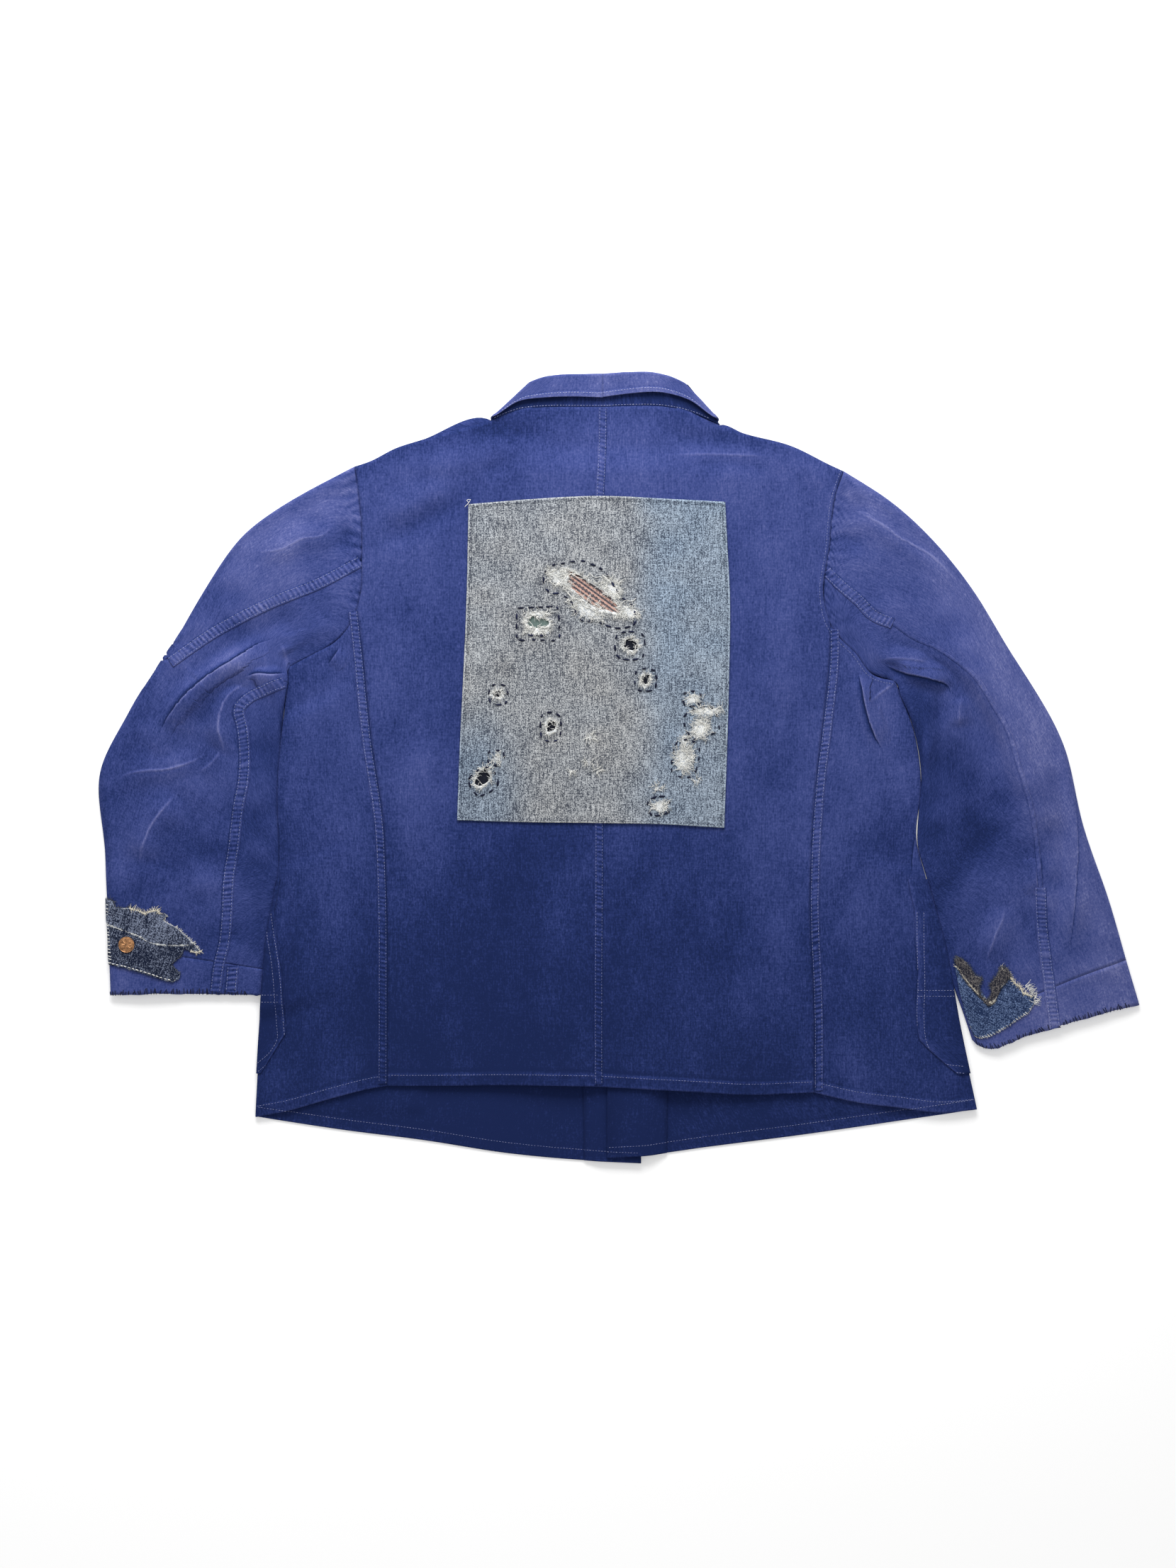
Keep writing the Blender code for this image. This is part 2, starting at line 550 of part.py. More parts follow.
def crowded(loop, start, end, columns):
    """Shares of the way round a loop, from start to end, that crowd where the cloth turns."""
    step = np.diff(loop, axis=0)
    length = np.linalg.norm(step, axis=1)
    way = step / length[:, None]
    turn = np.degrees(np.arccos(np.clip((way[1:] * way[:-1]).sum(axis=1), -1, 1)))
    around = shares_of(loop)
    effort = np.concatenate([[0], np.cumsum(length + 0.35 * np.append(turn, 0))])
    effort /= effort[-1]
    shares = np.concatenate([around - 1, around[1:], around[1:] + 1])
    cost = np.concatenate([effort - 1, effort[1:], effort[1:] + 1])
    wanted = np.linspace(np.interp(start, shares, cost), np.interp(end, shares, cost), columns + 1)
    return np.interp(wanted, cost, shares)


def armhole_ring(back, front, fold_column):
    """The body's own points round the armhole, from the underarm over the upper face and back underneath.

    One point is added on each face beside the underarm, about which the sleeve's cloth turns.
    """
    rows = len(FOLD_ROWS) + 1
    over = front[rows, fold_column + 2 :: -1]
    rise = back[rows + 1 :, -1]
    fall = front[:rows:-1, fold_column + 4]
    under = front[rows, [fold_column + 4, fold_column + 3]]
    beside = [0.94 * start + 0.06 * end for start, end in ((over[2], over[3]), (under[0], fall[-1]))]
    return np.concatenate([over[:3], beside[:1], over[3:], rise, fall, beside[1:], under])


def fan_shares(ring, tip, perimeter):
    """Shares of the way across and round at which the armhole's points arrive once the sleeve has turned.

    The cloth turns round the underarm, so the points beside the underarm arrive far from the inner fold.
    """
    across = np.zeros(len(ring))
    for columns in (range(3, tip + 1), range(len(ring) - 3, tip, -1)):
        path = np.concatenate([ring[:1], ring[list(columns)]])
        across[list(columns)] = FAN_START + (1 - FAN_START) * shares_of(path)[1:]
    quarter = FOLD * math.pi / 2 / perimeter
    round_fold = {0: 0, 1: quarter / 2, 2: quarter, tip: 0.5 - quarter, tip + 1: 0.5 + quarter,
                  len(ring) - 2: 1 - quarter, len(ring) - 1: 1 - quarter / 2}
    shares = np.where(np.arange(len(ring)) <= tip, across / 2, 1 - across / 2)
    for column, share in round_fold.items():
        shares[column] = share
    return across, shares


FAN_START = 0.4
TURN_ROWS = [0, 0.035, 0.08, 0.14, 0.2]  # rows over which a sleeve turns from the armhole to its own way
PLAIN_ROWS = 8  # rows from there to the cuff
PUFF, PUFF_EDGE = 2.0, 45.0  # how far the upper face stands off the lower one, and how far in from a fold


def make_sleeve(side, body, finish):
    """The two pieces of a sleeve and its cuff band, all on the same flattened tube."""
    seams = SLEEVE_SEAMS[side]
    ring = armhole_ring(*body)
    count, tip, turned_down = len(ring), len(ring) - ARMHOLE_ROWS - 4, len(TURN_ROWS) - 1
    lines = {key: soft_line(LINES[side][key], np.linspace(0, 1, 60)) for key in ("sleeve_outer", "cuff_edge")}
    length = np.linalg.norm(np.diff(lines["sleeve_outer"], axis=0), axis=1).sum()
    cuff = 1 - CUFF_DEPTH / length
    plain = np.linspace(TURN_ROWS[-1], cuff, PLAIN_ROWS + 1)[1:]
    along = np.concatenate([TURN_ROWS, plain, [(1 + cuff) / 2, 1]])
    outer = soft_line(LINES[side]["sleeve_outer"], along)
    inner = soft_line(LINES[side]["sleeve_inner"], np.maximum(along - along[1], 0) / (1 - along[1]))
    inner[0] = ring[0, :2]
    loops = sleeve_loops(inner, outer, lines["cuff_edge"], along)
    first, second = seams["under_point"], seams["back_point"]
    across, fan = fan_shares(ring, tip, 2 * np.linalg.norm(outer[turned_down] - inner[turned_down]))
    grid = []
    for share, loop in zip(along, loops):
        start, middle = (np.interp(share, *zip(*seams[key])) for key in ("under", "back"))
        upper = crowded(loop, start, middle, second - first)
        lower = crowded(loop, middle, start + 1, count - (second - first))
        spread = np.roll(np.concatenate([upper, lower[1:-1]]), first)
        spread += np.round(fan - spread)
        own = ease((share - TURN_ROWS[-1]) / 0.4)
        places = ((1 - own) * fan + own * spread) % 1.0
        around = shares_of(loop)
        grid.append(np.stack([np.interp(places, around, loop[:, axis]) for axis in range(3)], axis=1))
    grid = np.array(grid)
    for i, share in enumerate(TURN_ROWS[:-1]):
        done = share / TURN_ROWS[-1]
        grid[i] = ring + done * (grid[turned_down] - ring)
        for edge, weight in ((inner, 1 - across), (outer, across)):
            off = edge[i] - edge[0] - done * (edge[turned_down] - edge[0])
            grid[i, :, :2] += weight[:, None] * off
    for i, share in enumerate(along):
        x, y, z = grid[i].T
        from_edge = np.minimum(*(np.linalg.norm(grid[i, :, :2] - edge[i], axis=1) for edge in (inner, outer)))
        standing = ease(from_edge / PUFF_EDGE) * ease(share / 0.06) * (z > FOLD)
        z = z + standing * (PUFF + ridges(x, y, SLEEVE_FOLDS[side]))
        grid[i, :, 2] = z + (scrap_lift(x, y) if side == "left" else 0)
    away = normals(grid, ring=True)
    away *= np.sign((away[2] * (grid[2] - grid[2].mean(axis=0))).sum())
    cuff_row = turned_down + PLAIN_ROWS

    def piece(name, start, end):
        columns = np.arange(start, end + 1) % count
        part = trimmed(grid[: cuff_row + 1, columns],
                       ["first_row", "last_row", "first_column", "last_column"])
        crossed = np.flatnonzero(columns > tip)
        wall(name + side, part, away[: cuff_row + 1, columns], finish["cloth"], crossed=crossed)

    piece("under_sleeve_", first, second)
    piece("top_sleeve_", second, first + count)
    wall("cuff_" + side, trimmed(grid[cuff_row:], ["first_row"]), away[cuff_row:], finish["cuff"], ring=True)
    return grid, away, (1 - along) * length


def scrap_lift(x, y):
    """How far the left cuff's scrap, which wraps under the outer fold, keeps the sleeve off the table."""
    return (LAYER + GAP) * plateau(x, -700, -465, 25) * plateau(y, -700, -500, 30)


def make_cuff_scraps(sleeves, finish):
    """Torn denim laid on the sleeve end, on the sleeve's own columns moved out."""
    for name, scrap in CUFF_SCRAPS.items():
        grid, away, height = sleeves[scrap["side"]]
        end = grid[-1]
        around = np.concatenate([[0], np.cumsum(np.linalg.norm(np.diff(end, axis=0), axis=1))])
        outermost = np.abs(end[:, 0]).argmax()
        place = around[outermost] - around
        start, stop = scrap["rows"][0][0], scrap["rows"][-1][0]
        inside = [value for value in place[::-1] if start + 2 < value < stop - 2]
        wanted = np.array([start, *inside, stop])
        around, lower, upper = np.array(scrap["rows"], float).T
        low, high = np.interp(wanted, around, lower), np.interp(wanted, around, upper)
        column = np.interp(wanted, place[::-1], np.arange(len(place))[::-1])
        lift = LAYER * (1 + scrap["lift"]) + GAP
        rows, outward = [], []
        for level in np.linspace(0, 1, 4):
            row = np.interp(low + (high - low) * level, height[::-1], np.arange(len(height))[::-1])
            rows.append(between(grid, row, column))
            outward.append(between(away, row, column))
        outward = np.array(outward)
        outward /= np.linalg.norm(outward, axis=-1, keepdims=True)
        wall(name, np.array(rows) + outward * lift, outward, finish[name])


def between(grid, row, column):
    """Points of a grid at fractions of its rows and columns."""
    i, j = np.minimum(row.astype(int), grid.shape[0] - 2), np.minimum(column.astype(int), grid.shape[1] - 2)
    u, v = (row - i)[:, None], (column - j)[:, None]
    return (1 - u) * ((1 - v) * grid[i, j] + v * grid[i, j + 1]) + u * (
        (1 - v) * grid[i + 1, j] + v * grid[i + 1, j + 1])


def make_collar(side, back, front, finish):
    """Half a collar: up from the neck seam, over the roll line and back down to the free edge."""
    roll = 2.2
    seam = [(*point[:2], point[2] - CLOTH) for point in back[0][-1, : NECK_COLUMNS + 1]]
    corner = front[0][-1, NECK_POINTS[0]]
    seam.append((*corner[:2], corner[2] + CLOTH + GAP / 2))
    seam += [(*front[0][-1, column, :2], front[0][-1, column, 2] + CLOTH) for column in NECK_POINTS]
    grid = []
    for station, neck in zip(COLLAR[side], seam):
        top, edge = np.array(station["roll"], float), np.array(station["edge"], float)
        radius = roll if station["face"] > 0 else LAYER - GAP / 2
        level = {1: max(neck[2], TOP - CLOTH), 0: neck[2], -1: 2 * radius}[station["face"]]
        last = {1: level + 2 * radius, 0: level + 0.4, -1: 0.0}[station["face"]]
        way = (np.array(neck[:2]) - top) / np.linalg.norm(np.array(neck[:2]) - top)
        row = [neck]
        for turn in np.radians([0, 45, 90, 135, 180]):
            place = top + way * radius * (1 - math.sin(turn))
            row.append((*place, level + (last - level) * (1 - math.cos(turn)) / 2))
        row.append((*((top + edge) / 2), last))
        row.append((*edge, last))
        grid.append(row)
    grid = np.array(grid, float)
    away = normals(grid)
    away *= np.sign(away[1, -1, 2])
    wall("collar_" + side, trimmed(grid, ["first_row", "first_column"]), away, finish)


def make_patch(finish):
    """The large denim patch with its worn holes, and the scraps set behind them."""
    across = np.concatenate([[0, 0.02], np.linspace(0, 1, 10)[1:-1], [0.98, 1]])
    along = np.concatenate([[0, 0.016], np.linspace(0, 1, 13)[1:-1], [0.984, 1]])
    plan = filled(*(soft_line(PATCH_EDGES[key], at) for key, at in
                    (("bottom", across), ("top", across), ("left", along), ("right", along))))
    lift = np.full(plan.shape[:2], SCRAP + 2 * GAP + CLOTH + 0.3)
    lift[[0, -1]] = lift[:, [0, -1]] = 2 * GAP + CLOTH
    grid = with_height(plan, back_top(plan[..., 0], plan[..., 1]) + lift)
    patch = wall("back_patch", grid, normals(grid), finish["back_patch"])
    for number, hole in enumerate(HOLES):
        slant = math.radians(hole["slant"])
        way = np.array([(math.cos(slant), math.sin(slant)), (-math.sin(slant), math.cos(slant))])
        sides = 12
        rim = []
        for k in range(sides):
            turn = 2 * math.pi * k / sides
            reach = 1 + TORN * (0.65 * math.sin(3 * turn + number) + 0.35 * math.cos(5 * turn + 2 * number))
            spot = np.array([hole["long"] * math.cos(turn), hole["wide"] * math.sin(turn)]) * reach
            rim.append(np.array(hole["at"]) + spot @ way)
        middle = back_top(*hole["at"])
        points = [(*spot, middle + height) for height in (-3, 9) for spot in rim]
        faces = [list(range(sides))[::-1], list(range(sides, 2 * sides))]
        for k in range(sides):
            after = (k + 1) % sides
            faces.append([k, after, sides + after, sides + k])
        cutter = add_object(f"hole_{number}", points, faces, finish["back_patch"])
        cutter.hide_render = True
        cutter.display_type = "WIRE"
        cut = patch.modifiers.new(f"hole_{number}", "BOOLEAN")
        cut.operation, cut.solver, cut.object = "DIFFERENCE", "EXACT", cutter
        half = [hole[key] * (1 + TORN) + SCRAP_MARGIN for key in ("long", "wide")]
        count = [max(1, round(size / 12)) for size in half]
        spots = np.array([
            [np.array([u, v]) @ way + hole["at"] for u in np.linspace(-half[0], half[0], count[0] + 1)]
            for v in np.linspace(-half[1], half[1], count[1] + 1)
        ])
        scrap = with_height(spots, back_top(spots[..., 0], spots[..., 1]) + 1.5 * GAP + SCRAP)
        wall(hole["scrap"], scrap, normals(scrap), finish[hole["scrap"]], thick=SCRAP)


def make_buttons(sleeves, finish):
    """Five buttons under the lap, and the copper tack on the left cuff."""
    rim = [(0, 0.9), (BUTTON_RADIUS * 0.62, 0.9), (BUTTON_RADIUS * 0.75, 0), (BUTTON_RADIUS * 0.95, 0),
           (BUTTON_RADIUS, 0.5), (BUTTON_RADIUS, BUTTON_THICK * 0.7), (BUTTON_RADIUS * 0.8, BUTTON_THICK),
           (0, BUTTON_THICK)]
    for number in range(BUTTONS):
        place = (BUTTON_X, BUTTON_TOP - BUTTON_STEP * number, 0)
        turned(f"button_{number + 1}", rim, place, finish["button"])
    grid = sleeves["left"][0]
    steps = [np.arange(0, size - 1, 0.1) for size in grid.shape[:2]]
    row, column = (places.ravel() for places in np.meshgrid(*steps))
    surface = between(grid, row, column)
    under_tack = np.linalg.norm(surface[:, :2] - TACK_AT, axis=1) < TACK_RADIUS * 0.8
    height = surface[under_tack, 2].max() + LAYER + 2 * GAP
    dome = [(0, 0), (TACK_RADIUS * 0.8, 0), (TACK_RADIUS, 0.6), (TACK_RADIUS, 1.5), (TACK_RADIUS * 0.9, 2.1),
            (TACK_RADIUS * 0.72, 1.8), (TACK_RADIUS * 0.6, 2.2), (0, TACK_THICK)]
    turned("tack_button", dome, (*TACK_AT, height), finish["tack_button"], sides=24)


def set_down():
    """Moves the whole jacket so that its box is centred on the origin and stands on it."""
    shown = [thing for thing in bpy.context.scene.objects if not thing.hide_render]
    corners = np.array([vertex.co for thing in shown for vertex in thing.data.vertices])
    low, high = corners.min(axis=0), corners.max(axis=0)
    shift = np.array([-(low[0] + high[0]) / 2, -(low[1] + high[1]) / 2, -low[2]])
    for thing in bpy.context.scene.objects:
        for vertex in thing.data.vertices:
            vertex.co = np.array(vertex.co) + shift


def main():
    for thing in list(bpy.data.objects):
        bpy.data.objects.remove(thing, do_unlink=True)
    indigo, worn_indigo = (0.045, 0.060, 0.215), (0.085, 0.095, 0.26)
    denim, dark_denim = (0.27, 0.31, 0.38), (0.035, 0.045, 0.09)
    finish = {
        "back_patch": material("patch_denim", denim, 0.92),
        "scrap_striped": material("striped_cloth", (0.50, 0.20, 0.16), 0.9),
        "scrap_grey": material("grey_cloth", (0.16, 0.22, 0.20), 0.9),
        "cuff_patch_left": material("cuff_denim_dark", dark_denim, 0.92),
        "cuff_patch_right": material("cuff_denim_blue", (0.05, 0.075, 0.17), 0.92),
        "cuff_patch_right_top": material("cuff_denim_brown", (0.03, 0.035, 0.06), 0.92),
        "button": material("button_resin", (0.03, 0.035, 0.07), 0.45),
        "tack_button": material("tack_copper", (0.42, 0.20, 0.11), 0.4, 1.0),
    }
    for number in range(1, 6):
        finish[f"scrap_dark_{number}"] = material(f"dark_cloth_{number}", (0.01, 0.012, 0.02), 0.95)
    sleeves = {}
    for side in ("left", "right"):
        cloth = {"cloth": material("work_cloth_" + side, indigo, 0.9),
                 "cuff": material("cuff_cloth_" + side, worn_indigo, 0.9),
                 "pocket": material("pocket_cloth_" + side, worn_indigo, 0.9)}
        back = make_back(side, cloth["cloth"])
        front = make_front(side, cloth)
        sleeves[side] = make_sleeve(side, (back[0], front[0], front[2]), cloth)
        make_collar(side, back, front, material("collar_cloth_" + side, worn_indigo, 0.9))
    make_patch(finish)
    make_cuff_scraps(sleeves, finish)
    make_buttons(sleeves, finish)
    set_down()


main()
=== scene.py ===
import math

import bpy
import numpy as np
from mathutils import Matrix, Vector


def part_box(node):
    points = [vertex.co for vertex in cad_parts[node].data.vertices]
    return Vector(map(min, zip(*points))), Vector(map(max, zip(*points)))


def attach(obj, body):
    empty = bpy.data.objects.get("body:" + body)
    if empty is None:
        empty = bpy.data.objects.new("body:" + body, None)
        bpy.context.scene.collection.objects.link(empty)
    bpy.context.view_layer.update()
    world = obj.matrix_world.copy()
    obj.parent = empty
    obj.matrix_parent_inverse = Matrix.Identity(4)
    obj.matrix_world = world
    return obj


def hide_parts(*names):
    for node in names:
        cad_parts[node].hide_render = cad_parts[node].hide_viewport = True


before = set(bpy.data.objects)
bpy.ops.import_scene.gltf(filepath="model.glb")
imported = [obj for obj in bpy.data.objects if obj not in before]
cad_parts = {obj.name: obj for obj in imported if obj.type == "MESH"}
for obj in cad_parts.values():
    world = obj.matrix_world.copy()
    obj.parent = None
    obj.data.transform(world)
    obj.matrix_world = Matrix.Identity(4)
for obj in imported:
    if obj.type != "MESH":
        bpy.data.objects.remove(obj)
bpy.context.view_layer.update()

# ---- Camera, table and lamps ----------------------------------------------------------------------------------------
# The jacket lies face down on a white table and is seen from straight above. A pale sky lights it evenly, and one
# wide lamp beyond the collar brings out the folds.

VIEW_CENTRE, VIEW_HEIGHT, LENS, FILM_WIDTH = (-0.033, -0.017), 2.585, 56.0, 36.0
TABLE_HALF, TABLE_LOW, TABLE_GLOW = 6.0, -0.0004, 0.24
SKY_LEVEL, LAMP_WATTS, LAMP_SIZE = 0.56, 44.0, (1.6, 0.9)


class Wire:
    """An output of a shader node. Sums and products of wires make the nodes that work them out."""

    def __init__(self, tree, socket):
        self.tree, self.socket = tree, socket

    def math(self, operation, other=None):
        return node(self.tree, "Math", self, other, operation=operation)

    def __add__(self, other):
        return self.math("ADD", other)

    def __sub__(self, other):
        return self.math("SUBTRACT", other)

    def __mul__(self, other):
        return self.math("MULTIPLY", other)


def fill(socket, value):
    """A value, or the wire of another node, goes into a socket."""
    if isinstance(value, Wire):
        value.tree.links.new(value.socket, socket)
    elif value is not None:
        socket.default_value = value


def node(tree, kind, *values, out=0, **settings):
    """A shader node's output, or one for each name in out. Values fill its inputs in turn, and in_ names the others."""
    made = tree.nodes.new("ShaderNode" + kind)
    inputs = dict(enumerate(values))
    for key, value in settings.items():
        if key.startswith("in_"):
            inputs[int(key[3:]) if key[3:].isdigit() else key[3:].replace("_", " ")] = value
        else:
            setattr(made, key, value)
    for key, value in inputs.items():
        fill(made.inputs[key], value)
    wires = [Wire(tree, made.outputs[label]) for label in (out if isinstance(out, tuple) else (out,))]
    return wires if isinstance(out, tuple) else wires[0]


def new_finish(name, **settings):
    """A new material, its node tree and its shader's inputs, with the settings filled in."""
    made = bpy.data.materials.new(name)
    made.use_nodes = True
    inputs = made.node_tree.nodes["Principled BSDF"].inputs
    for key, value in settings.items():
        fill(inputs[key.replace("_", " ")], value)
    return made, made.node_tree, inputs


def put(name, data):
    """A new object in the scene."""
    made = bpy.data.objects.new(name, data)
    bpy.context.scene.collection.objects.link(made)
    return made


camera = put("camera", bpy.data.cameras.new("camera"))
camera.data.lens, camera.data.sensor_width = LENS, FILM_WIDTH
camera.location = (*VIEW_CENTRE, VIEW_HEIGHT)
bpy.context.scene.camera = camera
bpy.context.scene.view_settings.view_transform = "Standard"

# Seen straight from the camera the table shines a little, so that it is plain white up to the jacket's shadow.
table_white, tree, inputs = new_finish("table_white", Base_Color=(0.93, 0.93, 0.93, 1), Roughness=0.9,
                                       Specular_IOR_Level=0.1, Emission_Color=(1, 1, 1, 1))
fill(inputs["Emission Strength"], node(tree, "LightPath", out="Is Camera Ray") * TABLE_GLOW)
table_mesh = bpy.data.meshes.new("table")
table_mesh.from_pydata([(x * TABLE_HALF, y * TABLE_HALF, TABLE_LOW) for x, y in ((-1, -1), (1, -1), (1, 1), (-1, 1))],
                       [], [(0, 1, 2, 3)])
table_mesh.materials.append(table_white)
put("table", table_mesh)

sky = bpy.data.worlds.new("sky")
bpy.context.scene.world = sky
sky.use_nodes = True
from_camera, in_gloss = node(sky.node_tree, "LightPath", out=("Is Camera Ray", "Is Glossy Ray"))
background = sky.node_tree.nodes["Background"].inputs
background["Color"].default_value = (1, 1, 1, 1)
fill(background["Strength"], node(sky.node_tree, "MapRange", from_camera.math("MAXIMUM", in_gloss),
                                  in_To_Min=SKY_LEVEL, in_To_Max=1.0))

lamp = put("wide_lamp", bpy.data.lights.new("wide_lamp", "AREA"))
lamp.data.shape, lamp.data.energy = "RECTANGLE", LAMP_WATTS
lamp.data.size, lamp.data.size_y = LAMP_SIZE
lamp.location = (-0.25, 1.55, 1.05)
lamp.rotation_euler = (math.radians(-57), 0, math.radians(-9))

# ---- The back ---------------------------------------------------------------------------------------------------
# Two halves of blue cotton herringbone, faded over the shoulders and darker towards the hem. They are joined by a
# felled seam down the middle, which is folded to the wearer's right and sewn twice.

CLOTH = 1.2
GAP = 0.3
LAYER = CLOTH + GAP
FOLD = 2.1  # outer radius of a fold pressed flat
TOP = 5.0
BUTTON_AT, BUTTON_THICK = (25.5, -128.0), 2.4

button_low, button_high = (np.array(corner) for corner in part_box("button_1"))
neck_seam = np.append((button_low + button_high)[:2] / 2 - 0.001 * np.array(BUTTON_AT), 0.0)

# The sewing lines of each half in millimetres from the back neck seam: X to the wearer's right, Y to the collar.
LINES = {
    "left": {
        "centre": [(3, 0), (0, -94), (-1.5, -446), (-1.5, -718)],
        "neck": [(3, 0), (-52, 0), (-78, -1), (-98, -7), (-115, -14)],
        "shoulder": [(-115, -14), (-190, -35), (-215, -43), (-245, -58), (-260, -63)],
        "armhole_upper": [(-260, -63), (-253, -112), (-252, -166), (-253, -196), (-257, -213)],
        "armhole_lower": [(-257, -213), (-267, -234), (-281, -249), (-301, -260), (-331, -276)],
        "armhole_front": [(-260, -63), (-240, -115), (-236, -170), (-252, -225), (-288, -258), (-331, -276)],
        "side_seam": [(-257, -213), (-251, -260), (-241, -356), (-229, -440), (-226, -500), (-225, -718)],
        "fold": [(-331, -276), (-335, -329), (-341, -394), (-341, -500), (-351, -557), (-359, -649), (-365, -751)],
        "hem_back": [(-1.5, -718), (-98, -717), (-178, -718), (-225, -718)],
        "hem_side": [(-225, -718), (-243, -721), (-283, -731), (-333, -745), (-365, -751)],
        "hem_front": [(-365, -751), (-273, -765), (-187, -776), (-96, -790), (-20, -797), (43.5, -800)],
        "neck_front": [(-115, -14), (-104, -22), (-85, -45), (-55, -72), (-15, -90), (22, -95), (43.5, -95)],
        "sleeve_outer": [(-262, -63), (-310, -88), (-376, -134), (-439, -229), (-502, -328), (-529, -385),
                         (-524, -472), (-521, -541), (-518, -622)],
        "sleeve_inner": [(-332, -277.5), (-335.5, -318), (-337.5, -346), (-335, -394), (-335, -500), (-344, -557),
                         (-352, -622)],
        "cuff_edge": [(-352, -622), (-400, -621), (-460, -620), (-518, -622)],
    },
    "right": {
        "centre": [(3, 0), (0, -94), (-1.5, -446), (-1.5, -718)],
        "neck": [(3, 0), (25, 1), (61, 1), (90, -3), (110, -12), (126, -19)],
        "shoulder": [(126, -19), (153, -28), (202, -41), (245, -62), (258, -68)],
        "armhole_upper": [(258, -68), (249, -94), (242, -153), (236, -198), (244, -232)],
        "armhole_lower": [(244, -232), (253, -244), (268, -258), (290, -284), (313, -290)],
        "armhole_front": [(258, -68), (236, -115), (230, -170), (240, -225), (270, -268), (313, -290)],
        "side_seam": [(244, -232), (243, -260), (236, -330), (228, -398), (222, -511), (226, -647), (226, -725)],
        "fold": [(313, -290), (334, -349), (340, -401), (335, -456), (345, -498), (365, -571), (380, -654),
                 (399, -743)],
        "hem_back": [(-1.5, -718), (48, -721), (105, -724), (148, -727), (226, -725)],
        "hem_side": [(226, -725), (275, -736), (317, -741), (359, -746), (399, -743)],
        "hem_front": [(399, -743), (313, -756), (216, -770), (115, -783), (46, -792), (7.5, -794)],
        "neck_front": [(126, -19), (115, -28), (97, -50), (72, -75), (40, -92), (29, -95), (7.5, -95)],
        "sleeve_outer": [(259, -68), (298, -92), (380, -173), (429, -250), (493, -363), (511, -441), (539, -523),
                         (559, -592), (571, -632)],
        "sleeve_inner": [(315, -291), (334.6, -349), (340.6, -401), (336.4, -456), (347.3, -498), (359.2, -544),
                         (366.3, -573), (374, -607), (394, -670)],
        "cuff_edge": [(394, -670), (404, -677), (454, -664), (529, -642), (571, -632)],
    },
}
FREE_EDGE = {"left": 43.5, "right": 7.5}  # X of the free edges of the fronts, which lap at the button line
POCKET_LOW, POCKET_HIGH, POCKET_WIDTH = -705.0, -500.0, 160.0
SLEEVE_HEIGHT = 2 * FOLD + 0.4
HEM_DEPTH = 13.5
EDGE_HEIGHT = 2 * LAYER + CLOTH  # the back's outer face where it meets the front at neck and shoulder

# Folds of the body: half widths to the left and right of travel, height (a trough's is negative), mark and crest.
# A mark draws the crease itself: a painted shadow on the right of travel with a painted highlight on its left when
# positive, only a pale worn line when negative.
BODY_FOLDS = [
    (14, 16, 2.6, 0, [(-154, -79), (-203, -105), (-237, -120)]),
    (13, 13, -2.6, 0, [(-132, -90), (-184, -120), (-214, -136), (-244, -150)]),
    (11, 11, -2.2, 0, [(-150, -22), (-110, -26), (-67, -29), (-42, -38)]),
    (10, 10, -1.4, 0, [(-126, -71), (-92, -56)]),
    (14, 14, 2.0, 0, [(-214, -62), (-160, -58), (-100, -50)]),
    (10, 10, -2.6, 0, [(52, -14), (92, -32), (147, -35), (190, -47)]),
    (9, 9, -1.6, 0, [(88, -66), (137, -60), (190, -68)]),
    (5, 6, 0.9, -0.35, [(61, -52), (110, -50), (150, -51), (188, -52)]),
    (12, 12, 1.8, 0, [(200, -60), (224, -66), (240, -90)]),
    (26, 7, 8.0, 1.0, [(272, -273), (276, -295), (282, -324), (291, -349), (302, -367)]),
    (10, 10, -2.4, 0, [(300, -372), (314, -368), (336, -366)]),
    (8, 6, 2.0, -0.4, [(318, -287), (300, -300), (282, -315)]),
    (16, 9, 2.4, 0.35, [(339, -430), (331, -473), (330, -501)]),
    (8, 6, 1.8, 0.6, [(-275, -254), (-283, -266), (-288, -273)]),
    (30, 30, 1.6, 0, [(-300, -470), (-285, -600), (-300, -700)]),
    (30, 30, 1.4, 0, [(170, -520), (180, -600), (172, -690)]),
    (22, 18, 2.0, 0, [(-180, -330), (-200, -420), (-190, -500)]),
    (20, 24, 1.8, 0, [(180, -180), (196, -260), (186, -340)]),
]
# How faded the body is, from the hem upwards and from the left side to the right one: 0 is nearly as dyed.
FADE_X = [-370, -250, -130, 0, 130, 250, 380]
FADE_Y = [-760, -640, -520, -400, -280, -160, -40]
BODY_FADE = [
    [0.20, 0.18, 0.12, 0.14, 0.22, 0.26, 0.26],
    [0.18, 0.14, 0.08, 0.12, 0.20, 0.26, 0.24],
    [0.28, 0.34, 0.22, 0.26, 0.36, 0.42, 0.34],
    [0.36, 0.44, 0.42, 0.40, 0.48, 0.52, 0.44],
    [0.40, 0.44, 0.46, 0.50, 0.52, 0.52, 0.46],
    [0.58, 0.48, 0.52, 0.58, 0.58, 0.54, 0.58],
    [0.64, 0.50, 0.46, 0.56, 0.58, 0.60, 0.66],
]


def length_along(points):
    """How far along a line each of its points lies."""
    return np.append(0, np.cumsum(np.linalg.norm(np.diff(points, axis=0), axis=1)))


def picked(places, reach, points):
    """The points of a line at the given places along it."""
    return np.stack([np.interp(places, reach, column) for column in points.T], axis=1)


def hermite(t, width, start, end, slope, last_slope):
    """Places on soft curves between two points, at a share t of the way, with a slope at either end."""
    return ((2 * t**3 - 3 * t**2 + 1) * start + (t**3 - 2 * t**2 + t) * width * slope
            + (3 * t**2 - 2 * t**3) * end + (t**3 - t**2) * width * last_slope)


